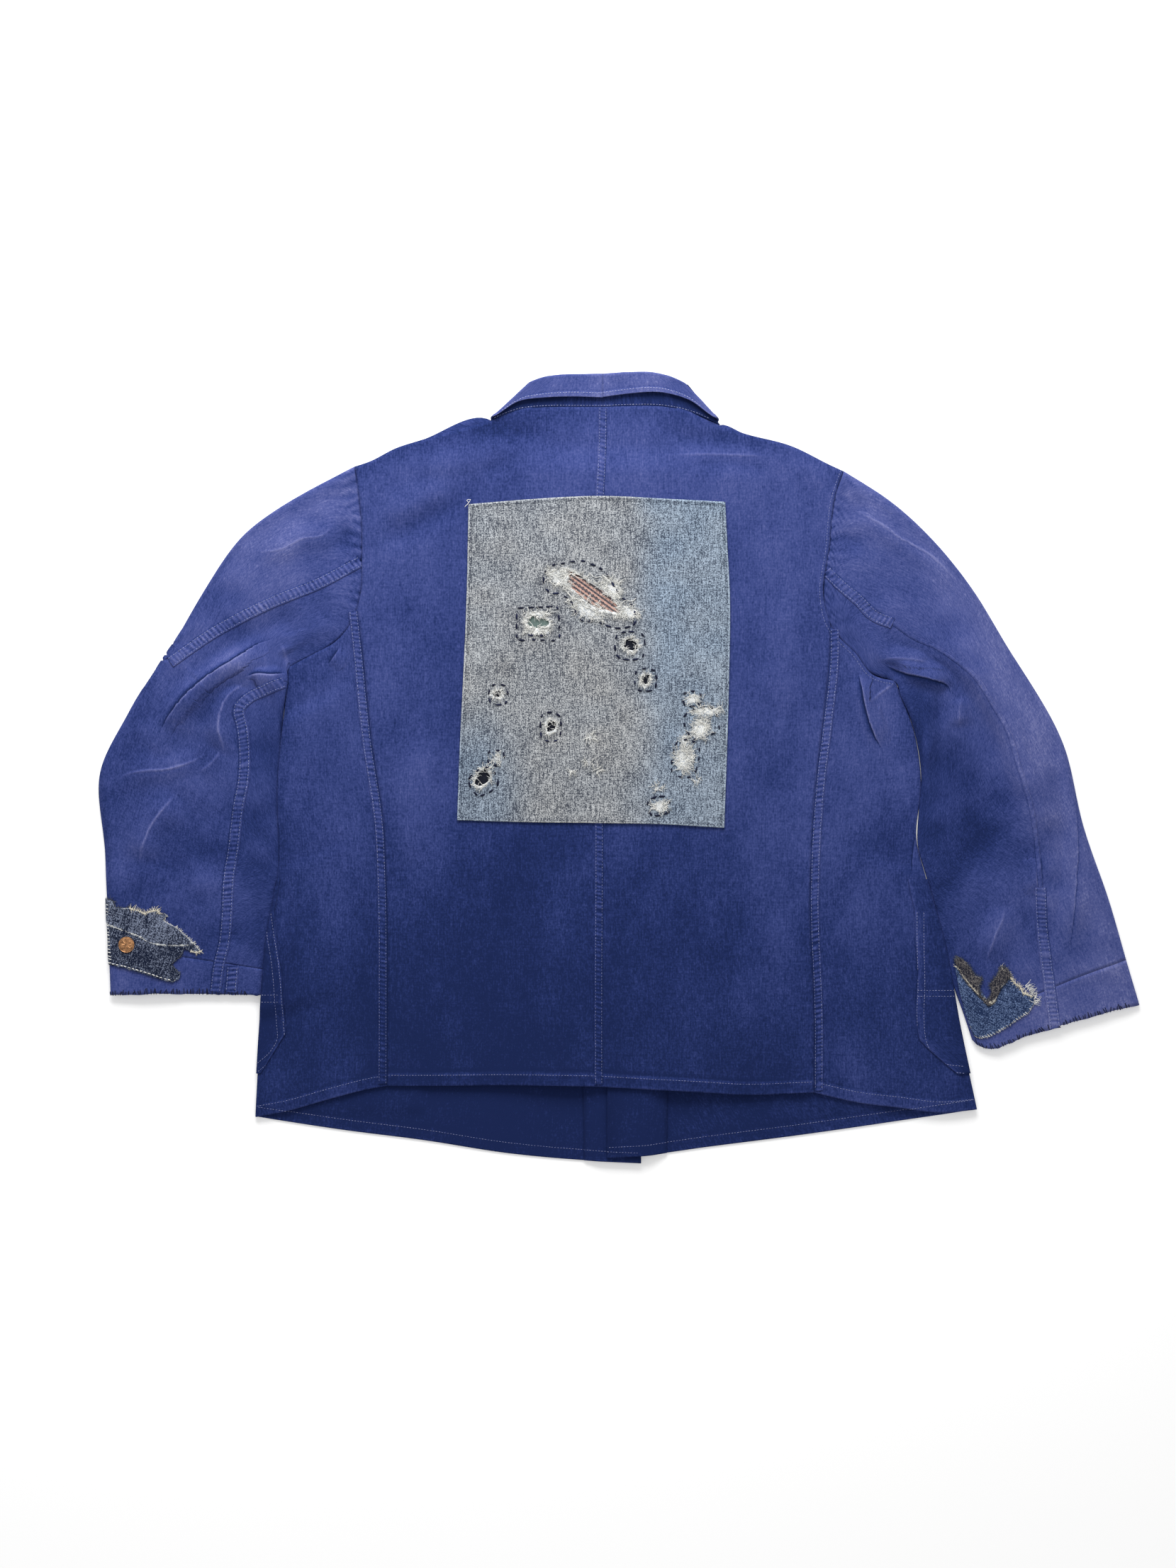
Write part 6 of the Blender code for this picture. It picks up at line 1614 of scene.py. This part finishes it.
def round_spot(many, centre, half_long, half_wide, slant, seed, inside=0.35):
    """Places in a slanted oval and the ways out from it."""
    chance = np.random.default_rng(seed)
    turn, reach = chance.uniform(0, 2 * math.pi, many), np.sqrt(chance.uniform(inside**2, 1, many))
    ways = slanted(np.stack([half_long * np.cos(turn) * reach, half_wide * np.sin(turn) * reach], axis=1), slant)
    heading = np.arctan2(ways[:, 1], ways[:, 0]) + chance.normal(0, 0.9, many)
    return ways + centre, np.stack([np.cos(heading), np.sin(heading)], axis=1)


def patch_face(x, y):
    return patch_top(x, y) + 0.75


tufts = []
for number, (centre, half_long, half_wide, slant, most) in enumerate(BARE_SPOTS):
    many = int(1.5 * half_long * half_wide * most / 2) + 10
    tufts.append((*round_spot(many, centre, half_long, half_wide, slant, 200 + number),
                  np.random.default_rng(300 + number).uniform(2.5, 8.5, many)))
for number, (_, centre, half_long, half_wide, slant) in enumerate(HOLES):
    many = int(4.5 * (half_long + half_wide)) + 14
    spots, heading = round_spot(many, centre, half_long * 1.12, half_wide * 1.12, slant, 240 + number, 0.86)
    heading[np.random.default_rng(340 + number).uniform(0, 1, many) < 0.36] *= -1
    tufts.append((spots, heading, np.random.default_rng(360 + number).uniform(1.8, 5.0 + half_wide * 0.3, many)))
fluff("torn_fluff", *map(np.concatenate, zip(*tufts)), patch_face, white_thread, seed=41, thick=0.6, tone=(0.1, 1.0))

# Longer loose threads that wander over the tear.
LOOSE = [
    [(-57, -179), (-50, -176), (-44, -180), (-38, -178), (-30, -177), (-24, -181), (-17, -182), (-11, -178)],
    [(-54, -184), (-47, -189), (-41, -186), (-36, -180), (-28, -177), (-20, -179)],
    [(-34, -196), (-28, -204), (-22, -203), (-18, -210), (-10, -214), (-2, -219)],
    [(14, -207), (20, -210), (27, -205), (33, -206), (38, -203)],
    [(2, -178), (8, -184), (6, -191), (13, -196), (16, -205)],
    [(-12, -176), (-5, -181), (1, -180), (4, -188), (10, -192)],
    [(-30, -188), (-36, -193), (-32, -200), (-26, -203)],
    [(104, -318), (112, -316), (120, -321), (127, -317), (131, -323)],
    [(98, -330), (107, -333), (112, -340), (104, -347), (97, -343)],
    [(-139, -101), (-141, -99), (-137, -98), (-140, -103), (-143, -106)],
]
paths = []
for points in LOOSE:
    line = soft_line(points, np.linspace(0, 1, 15))
    paths.append(with_height(line, patch_face(line[:, 0], line[:, 1]) + 0.7 + 0.5 * mottle(line[:, 0], line[:, 1], 5, 44)))
strands("loose_threads", paths, 0.3, white_thread, np.full(len(paths), 0.85))

# ---- The scraps and the stitching of the cuffs -------------------------------------------------------------------------
# Torn scraps of old denim are sewn over the worn cuffs with white thread: a dark one wraps the left cuff's outer fold,
# a blue twill one with a browned piece on top covers the right cuff. Navy thread whips both raw cuff edges.

CUFF_REACH = 135  # how far above its edge the sleeve is measured
ROUND_FROM, ROUND_TO = -40, 215
SLEEVE_OUT = {"left": (-1.0, 0.0), "right": (0.965, 0.26)}
SCRAP_HIGH = 1.15  # from the sleeve's outer face to the scrap's
# Outlines: millimetres round the sleeve from its outer fold, over the upper face, and heights above the cuff's edge.
LEFT_SCRAP = [(-26, 88), (-12, 97), (0, 102), (9, 100), (11.5, 92), (27, 91), (44, 85), (58.6, 88.6), (60, 84), (68, 83),
              (63, 77), (76, 70), (86, 62), (94, 54), (101, 45), (89.6, 45), (84, 49), (79, 40), (68, 31), (71, 27),
              (77.5, 21), (76, 15.5), (69, 12), (62, 13), (40, 21), (18.4, 28), (0, 32.6), (-26, 37)]
LEFT_SCRAP_SEAM = [(-26, 82), (0, 76), (16, 69), (38, 60), (46, 55), (60, 51.6), (76, 51), (88, 51.6)]
RIGHT_SCRAP = [(184, 84), (176, 80), (168, 72), (160, 60), (155, 50), (149, 52), (141, 62), (131, 67), (124, 60),
               (117.8, 53), (117.3, 45.2), (105.6, 39.3), (109.4, 29.5), (117, 23.5), (132.6, 19.5), (156.5, 15.8),
               (181.2, 9.3), (183, 21.3), (183.7, 57.6)]
BROWN_SCRAP = [(183, 86), (182.6, 92), (178.5, 96.5), (172.2, 93.5), (166.5, 85.2), (164.7, 79.4), (157.1, 76),
               (162.8, 68.1), (162.2, 57.2), (155.2, 51), (149.9, 57.4), (150, 66.7), (141, 72), (133.6, 79), (127, 74),
               (125, 66), (131, 62), (138, 58), (144, 52), (150, 46), (156, 44), (163, 55), (171, 65), (179, 75)]


def cuff_skin(side):
    """Places and facings of the sleeve's outer face, a row for each millimetre above its edge and round it."""
    sleeve = sleeves[side]
    rows = np.flatnonzero((sleeve["share"][-1] - sleeve["share"]) * sleeve["length"] < 2.2 * CUFF_REACH)[::-1]
    rings = np.concatenate([sleeve["grid"][rows], sleeve["away"][rows]], axis=-1)
    start = int(np.median((rings[..., :2] @ np.array(SLEEVE_OUT[side])).argmax(axis=1)))
    rings = np.roll(rings, -start, axis=1)
    if rings[:, 4:12, 2].mean() < rings[:, -12:-4, 2].mean():
        rings = np.concatenate([rings[:, :1], rings[:, :0:-1]], axis=1)
    rounds, heights, skin = np.arange(ROUND_FROM, ROUND_TO, 1.0), np.arange(0, CUFF_REACH, 1.0), []
    for ring in np.concatenate([rings, rings[:, :1]], axis=1):
        reach = length_along(ring[:, :3])
        skin.append(picked(rounds % reach[-1], reach, ring))
    return np.stack([picked(heights, length_along(line[:, :3]), line) for line in np.swapaxes(skin, 0, 1)], axis=1)


cuff_skins = {side: cuff_skin(side) for side in ("left", "right")}


def on_cuff(side, rounds, heights):
    """Places and facings at distances round the sleeve and heights above its edge."""
    skin = cuff_skins[side]
    column = np.clip(rounds - ROUND_FROM, 0, skin.shape[1] - 1.001)
    found = looked_up(skin, np.clip(heights, 0, len(skin) - 1.001), column, soft=False)
    below = np.minimum(heights, 0)[..., None] * (skin[1, column.astype(int), :3] - skin[0, column.astype(int), :3])
    return found[..., :3] + below, unit(found[..., 3:])


def from_outline(u, v, outline):
    """How far points lie outside a closed outline (negative inside), and the nearest points on it."""
    best, near, inside = np.full(u.shape, 1e9), np.zeros((*u.shape, 2)), np.zeros(u.shape, bool)
    for (ax, ay), (bx, by) in zip(outline, [*outline[1:], outline[0]]):
        way = np.array([bx - ax, by - ay])
        share = np.clip(((u - ax) * way[0] + (v - ay) * way[1]) / (way @ way), 0, 1)
        px, py = ax + share * way[0], ay + share * way[1]
        away = np.hypot(u - px, v - py)
        closer = away < best
        best[closer] = away[closer]
        near[closer] = np.stack([px, py], axis=-1)[closer]
        if ay != by:
            inside ^= ((ay > v) != (by > v)) & (u < (bx - ax) * (v - ay) / (by - ay) + ax)
    return np.where(inside, -best, best), near


def torn_scrap(name, side, outline, replaced, slot, yarns, seed, flat, contrast, turn, lift=0.0, seam=None):
    """A scrap of worn denim on the cuff, with a ragged edge that curls up a little."""
    low, high = np.min(outline, axis=0) - 1.5, np.max(outline, axis=0) + 1.5
    points = np.stack(np.meshgrid(np.arange(low[0], high[0], 1.25), np.arange(low[1], high[1], 1.25)), axis=-1)
    beyond, near = from_outline(points[..., 0], points[..., 1], outline)
    keep = cell_mean(beyond + 0.8 * mottle(points[..., 0], points[..., 1], 2.6, seed)) < 0
    beside = at_rim(keep)
    off = near - points
    pull = np.clip(0.9 / np.maximum(np.linalg.norm(off, axis=-1, keepdims=True), 1e-6), 0, 0.6)
    points[beside] += (pull * off)[beside]
    u, v = points[..., 0], points[..., 1]
    edge = np.clip(-from_outline(u, v, outline)[0], 0, None)
    relief = SCRAP_HIGH + lift + 0.16 * (1 + mottle(u, v, 11, seed + 1)) + 0.10 * (1 + mottle(u, v, 4, seed + 2))
    relief += 0.55 * hump(edge, 0, 2.0) * (0.5 + 0.8 * mottle(u, v, 6, seed + 3))
    pale = 0.21 + 0.13 * mottle(u, v, 20, seed + 4) + 0.10 * mottle(u, v, 6, seed + 5) + 0.10 * np.exp(-edge / 1.5)
    bare = 0.30 * np.exp(-edge / 2.2) * (0.7 + 0.9 * mottle(u, v, 5, seed + 6))
    if seam is not None:
        rise, _ = from_line(u, v, seam)
        over = v - np.interp(u, *np.array(seam).T)
        relief += 0.55 * ease(over / 1.2 + 0.5) * ease((40 - over) / 30)
        pale += np.where(over < 0, -0.12, 0.05) + 0.05 * np.sin(u / 1.9)
        bare += 1.25 * hump(rise, 0, 0.95) * (0.85 + 0.3 * mottle(u, v, 5, seed + 7)) * ease((96 - u) / 8)
    places, facings = on_cuff(side, u, v)
    finish = denim_cloth(slot + "_cloth", *yarns, contrast=contrast, bump=0.8)
    piece = cloth(name, places + facings * relief[..., None], facings, finish, slanted(points, turn),
                  np.stack([pale, 0 * pale, bare], axis=-1), thick=0.8, keep=keep)
    x, y = np.array(outline).T
    area = abs((x * np.roll(y, -1) - y * np.roll(x, -1)).sum()) / 2
    sewn(piece, replaced, slot, flat=flat, rests_on=["cuff_band_" + side], area=area * 1e-6)


torn_scrap("cuff_scrap_left", "left", LEFT_SCRAP, "cuff_patch_left", "dark_denim",
           ((0.006, 0.010, 0.028), (0.250, 0.290, 0.400)), 401, (0.127, 0.090), 1.25, 20, seam=LEFT_SCRAP_SEAM)
torn_scrap("cuff_scrap_right", "right", RIGHT_SCRAP, "cuff_patch_right", "blue_twill",
           ((0.010, 0.022, 0.070), (0.160, 0.230, 0.410)), 421, (0.079, 0.075), 1.15, 52)
torn_scrap("cuff_scrap_right_top", "right", BROWN_SCRAP, "cuff_patch_right_top", "brown_denim",
           ((0.014, 0.015, 0.026), (0.190, 0.175, 0.170)), 441, (0.058, 0.052), 1.3, -8, lift=0.85)


def round_threads(name, side, marks, up, radii, finish, tone):
    """Threads on a sleeve's end: marks holds the round and height of each point, up its height over the cloth."""
    places, facings = on_cuff(side, marks[..., 0], marks[..., 1])
    return strands(name, places + facings * np.broadcast_to(up, marks.shape[:2])[..., None], radii, finish, tone)


def along_outline(points, pitch, seed, uneven):
    """Places along an open line with the way along it and the way to its left, at about the pitch."""
    chance = np.random.default_rng(seed)
    knots = np.array(points, float)
    reach = length_along(knots)
    places = np.arange(0.4 * pitch, reach[-1], pitch)
    places = places + chance.uniform(-uneven, uneven, len(places)) * pitch
    ahead = unit(picked(places + 1.5, reach, knots) - picked(places - 1.5, reach, knots), 1e-6)
    return picked(places, reach, knots), ahead, np.stack([-ahead[:, 1], ahead[:, 0]], axis=1), chance


def edge_dashes(name, side, points, pitch, seed, long, inside, slant=0.0, thick=0.9, up=1.75):
    """Stitches of white thread that hold a scrap down near its edge."""
    spots, ahead, left, chance = along_outline(points, pitch, seed, 0.12)
    tilt = slant + chance.normal(0, 0.16, len(spots))[:, None]
    way = ahead * np.cos(tilt) + left * np.sin(tilt)
    reach = long * chance.uniform(0.75, 1.15, (len(spots), 1)) / 2
    marks = np.stack([spots + left * inside + way * reach * part for part in (-1, -0.5, 0.5, 1)], axis=1)
    radii = thick / 2 * chance.uniform(0.85, 1.15, (len(spots), 1)) * np.array([0.7, 1, 1, 0.7])
    round_threads(name, side, marks, [up - 0.5, up, up, up - 0.5], radii, white_thread, chance.uniform(0.55, 1.0, len(spots)))


def frayed(name, side, points, pitch, lengths, finish, seed, up=1.35, tone=(0.5, 1.0), lean=0.8, both=0.35):
    """Yarn ends that stand out of a torn edge; some lie back over the scrap."""
    spots, ahead, left, chance = along_outline(points, pitch, seed, 0.6)
    many = len(spots)
    tilt = chance.normal(0, lean, many)[:, None]
    way = -left * np.cos(tilt) + ahead * np.sin(tilt)
    way[chance.uniform(0, 1, many) < both] *= -1
    reach = chance.uniform(*lengths, many)[:, None]
    steps = np.linspace(0, 1, 5)
    bend = chance.normal(0, 0.35, (many, 1)) * steps**2
    aside = np.stack([-way[:, 1], way[:, 0]], axis=1)
    marks = spots[:, None] - way[:, None] * 0.8 + reach[..., None] * (
        way[:, None] * steps[:, None] + aside[:, None] * bend[..., None])
    high = up + chance.uniform(-0.4, 0.7, (many, 1)) * np.sin(steps * math.pi) - 0.7 * steps**2
    radii = 0.21 * chance.uniform(0.7, 1.4, (many, 1)) * np.array([1.0, 1.0, 0.9, 0.7, 0.4])
    round_threads(name, side, marks, high, radii, finish, chance.uniform(*tone, many))


cream_yarn = thread_finish("cream_yarn", (0.36, 0.34, 0.30), (0.86, 0.80, 0.66))
dark_yarn = thread_finish("dark_yarn", (0.008, 0.011, 0.024), (0.110, 0.120, 0.150))
frayed("fray_left_top", "left", LEFT_SCRAP[9:1:-1], 0.42, (2.0, 5.0), dark_yarn, 451, tone=(0.2, 1.0))
frayed("fray_left_cream", "left", LEFT_SCRAP[8:4:-1], 0.30, (2.5, 6.0), cream_yarn, 452, lean=1.1, up=1.7)
frayed("fray_left_slanted", "left", LEFT_SCRAP[14:8:-1], 0.40, (1.8, 4.5), white_thread, 453, tone=(0.0, 0.9), both=0.6)
frayed("fray_left_tip", "left", [(102, 45), (96, 44), (90, 44.6)], 0.25, (2.5, 5.0), cream_yarn, 454, up=1.6, lean=1.3)
frayed("fray_left_lower", "left", LEFT_SCRAP[20:14:-1], 0.5, (1.2, 3.6), dark_yarn, 455, tone=(0.3, 1.0))
edge_dashes("stitches_scrap_left_lower", "left", LEFT_SCRAP[:20:-1][:-1], 4.4, 456, 3.2, 2.0)
edge_dashes("stitches_scrap_left_fold", "left", [(3.2, 33), (2.2, 60), (2.8, 99)], 3.6, 457, 4.0, 0.0, 1.45, 0.8)
frayed("fray_right_brown", "right", BROWN_SCRAP[:17] + [(138, 60)], 0.40, (1.5, 4.5), dark_yarn, 461, up=2.0,
       tone=(0.2, 1.0))
frayed("fray_right_cream", "right", [(183, 84), (176, 75), (168, 64), (160, 53), (152, 46), (146, 51)], 0.42, (1.8, 4.2),
       cream_yarn, 462, up=2.1, lean=1.0, both=0.5)
frayed("fray_right_top", "right", [(134, 78), (128, 70), (123, 58), (118, 52), (117, 45), (108, 38)], 0.27, (2.0, 5.5),
       cream_yarn, 463, up=1.7, lean=1.0)
frayed("fringe_right", "right", [(112, 52), (108, 44), (106.5, 36), (109, 30)], 0.55, (5.0, 9.5), white_thread, 464,
       lean=0.35, both=0.1)
edge_dashes("stitches_scrap_right_lower", "right", RIGHT_SCRAP[13:17], 3.1, 465, 4.2, 0.6, 1.1, 0.7, 1.55)
frayed("fray_right_lower", "right", RIGHT_SCRAP[12:17], 0.8, (1.2, 3.2), white_thread, 466, tone=(0.1, 0.9))

# Whip stitches over the raw edges: ranges round each cuff on its upper face, and the same on the lower face.
for side, seed, ranges in (("left", 480, [(1, 150), (-148, -3)]), ("right", 487, [(12, 84), (98, 181), (-165, -6)])):
    sewn_over = []
    for number, (first, last) in enumerate(ranges):
        chance = np.random.default_rng(seed + number)
        spots = np.arange(first, last, 3.4)
        spots = spots + chance.uniform(-1.3, 1.3, len(spots))
        slant, tall = chance.normal(0.3, 1.1, len(spots)), chance.uniform(3.2, 6.6, len(spots))
        shares = np.array([-0.12, 0.10, 0.45, 0.8, 1.0])
        marks = np.stack([spots[:, None] + slant[:, None] * shares, tall[:, None] * shares], axis=-1)
        radii = 0.56 * chance.uniform(0.7, 1.2, (len(spots), 1)) * np.array([0.8, 1, 1, 0.9, 0.5])
        sewn_over.append((marks, radii, chance.uniform(0, 0.45, len(spots))))
    marks, radii, tones = map(np.concatenate, zip(*sewn_over))
    round_threads("whip_stitches_" + side, side, marks, [-0.3, 0.3, 0.45, 0.3, -0.35], radii, navy_thread, tones)

# ---- The tack and the buttons ------------------------------------------------------------------------------------------
# A worn copper tack is pressed through the left cuff's scrap. Five dark resin buttons, each sewn on through four holes,
# close the fronts, which lie underneath.

HOLE_AT, HOLE_RADIUS = 1.9, 0.95
TACK_RIM = ((0.85, 0.95), (0.875, 1.05), (0.90, 1.45), (0.935, 1.62), (0.965, 1.55), (0.99, 1.25), (1.0, 0.9), (0.99, 0.55),
            (0.93, 0.3), (0.6, 0.2), (0.03, 0.2))  # share of the radius, and height in millimetres
BUTTON_RIM = ((0.62, 0.72), (0.70, 0.9), (0.80, 0.99), (0.90, 0.97), (0.97, 0.85), (1.0, 0.6), (0.99, 0.3), (0.92, 0.08),
              (0.7, 0.02), (0.03, 0.02))  # shares of the radius and of the thickness
TACK_FACE_RINGS, BUTTON_FACE_RINGS = 17, 20


def small_part(name, profile, relief, segments, place, finish, replaced, flip=1):
    """A turned piece set down at a place: profile holds radius and height from near the axis outwards and back to it."""
    turn = np.arange(segments) * 2 * math.pi / segments
    radius, height = (column[:, None] for column in np.array(profile, float).T)
    grid = np.stack([radius * np.cos(turn), radius * np.sin(turn), height + 0 * turn], axis=-1)
    grid[..., 2] += relief(grid[..., 0], grid[..., 1], np.arange(len(profile))[:, None])
    number = np.arange(len(profile) * segments).reshape(-1, segments)
    after = np.roll(number, -1, axis=1)
    faces = np.stack([number[:-1], number[1:], after[1:], after[:-1]], axis=-1).reshape(-1, 4)
    k = np.arange(segments // 2 - 1)
    cap = np.stack([k, k + 1, segments - 2 - k, segments - 1 - k], axis=-1)
    faces = np.concatenate([faces, number[0][cap], number[-1][cap[:, ::-1]]])
    piece = add_mesh(name, grid.reshape(-1, 3) * np.array([1, flip, flip]) + place, faces, finish)
    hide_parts(replaced)


def spotted(name, colours, metallic, roughness, size, bump=0.3):
    """A hard finish that varies in spots between two colours, worn smoother where it is light."""
    made, tree, inputs = new_finish(name, Metallic=metallic)
    place = node(tree, "TexCoord", out="Object")
    fine = noise(place, size * 0.22, size * 0.22, 3.0)
    value = (noise(place, size, size, 4.0, 0.65) - 0.5) * 3.2 + 0.5 + (fine - 0.5) * 1.2
    fill(inputs["Base Color"], mixed(value, *colours))
    fill(inputs["Roughness"], value * -0.18 + (roughness + 0.1))
    fill(inputs["Normal"], raised(fine, bump, 0.0002))
    return made


def middle_of(part):
    """A CAD node's centre, half its width and its lowest and highest place, in garment millimetres."""
    low, high = ((np.array(corner) - neck_seam) * 1000 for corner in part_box(part))
    return (low + high) / 2, (high[0] - low[0]) / 2, low[2], high[2]


def tack_relief(x, y, ring):
    """A plain raised star of eight rays inside a beaded rim."""
    reach, turn = np.hypot(x, y) / tack_half, np.arctan2(y, x)
    rays = np.clip(np.cos(8 * turn) * 1.4 - 0.2, 0, 1) * plateau(reach, 0.30, 0.56, 0.14)
    beads = (0.5 + 0.5 * np.cos(28 * turn)) * plateau(reach, 0.74, 0.80, 0.06)
    return np.where(ring < TACK_FACE_RINGS, 0.45 * rays + 0.22 * beads, 0)


def button_relief(x, y, ring):
    """Four round holes in the dished middle of a button."""
    sunk = sum(plateau(np.hypot(x - across, y - along), -1, HOLE_RADIUS - 0.3, 0.35)
               for across in (-HOLE_AT, HOLE_AT) for along in (-HOLE_AT, HOLE_AT))
    return np.where(ring < BUTTON_FACE_RINGS, -1.3 * np.clip(sunk, 0, 1), 0)


tack_middle, tack_half, tack_low, _ = middle_of("tack_button")
tack_rings = [(share * tack_half, 1.15 + 0.35 * (1 - share**2)) for share in np.linspace(0.03, 0.82, 12)]
tack_rings += [(share * tack_half, rise) for share, rise in TACK_RIM]
# The tack sits on the scrap. There the sleeve's outer fold is at X -516 and the cuff's edge at Y -621.
under_tack, _ = on_cuff("left", tack_middle[:1] + 516, tack_middle[1:2] + 621)
tack_place = np.array([*tack_middle[:2], max(under_tack[0, 2] + SCRAP_HIGH + 0.1, tack_low)])
copper = spotted("worn_copper", [(0.085, 0.045, 0.026), (0.52, 0.27, 0.13)], 1.0, 0.42, 0.0035)
small_part("copper_tack", tack_rings, tack_relief, 112, tack_place, copper, "tack_button")

resin = spotted("dark_resin", [(0.010, 0.011, 0.020), (0.040, 0.040, 0.062)], 0.0, 0.32, 0.005, 0.12)
thread_marks, hole_starts, hole_ends = [], [], []
for number in range(1, 6):
    middle, half, low, high = middle_of("button_%d" % number)
    thick = high - low
    rings = [(share * half, thick - 0.75 + 0.1 * share) for share in np.linspace(0.03, 0.55, 18)]
    rings += [(share * half, thick * rise) for share, rise in BUTTON_RIM]
    small_part("sewn_button_%d" % number, rings, button_relief, 72, np.array([*middle[:2], high]), resin,
               "button_%d" % number, flip=-1)
    for start in ((-1, -1), (-1, 1)):
        thread_marks.append([(middle[0] + share * start[0] * HOLE_AT, middle[1] + share * start[1] * HOLE_AT,
                              low + 0.45 + rise) for share, rise in
                             ((1.02, 1.3), (0.9, 0.3), (0.3, 0), (-0.3, 0), (-0.9, 0.3), (-1.02, 1.3))])
    # Its buttonhole is whipped all round with close stitches.
    for u in np.arange(-13.5, 13.6, 0.85):
        for sign in (-1, 1):
            hole_starts.append((middle[0] + u, middle[1] + sign * 0.5))
            hole_ends.append((middle[0] + u, middle[1] + sign * 2.8))
strands("button_threads", thread_marks, 0.42, navy_thread, np.linspace(0.1, 0.5, len(thread_marks)))
strokes("buttonhole_stitches", np.array(hole_starts), np.array(hole_ends), FRONTS, pale_thread, above=False, thick=0.5,
        seed=91)
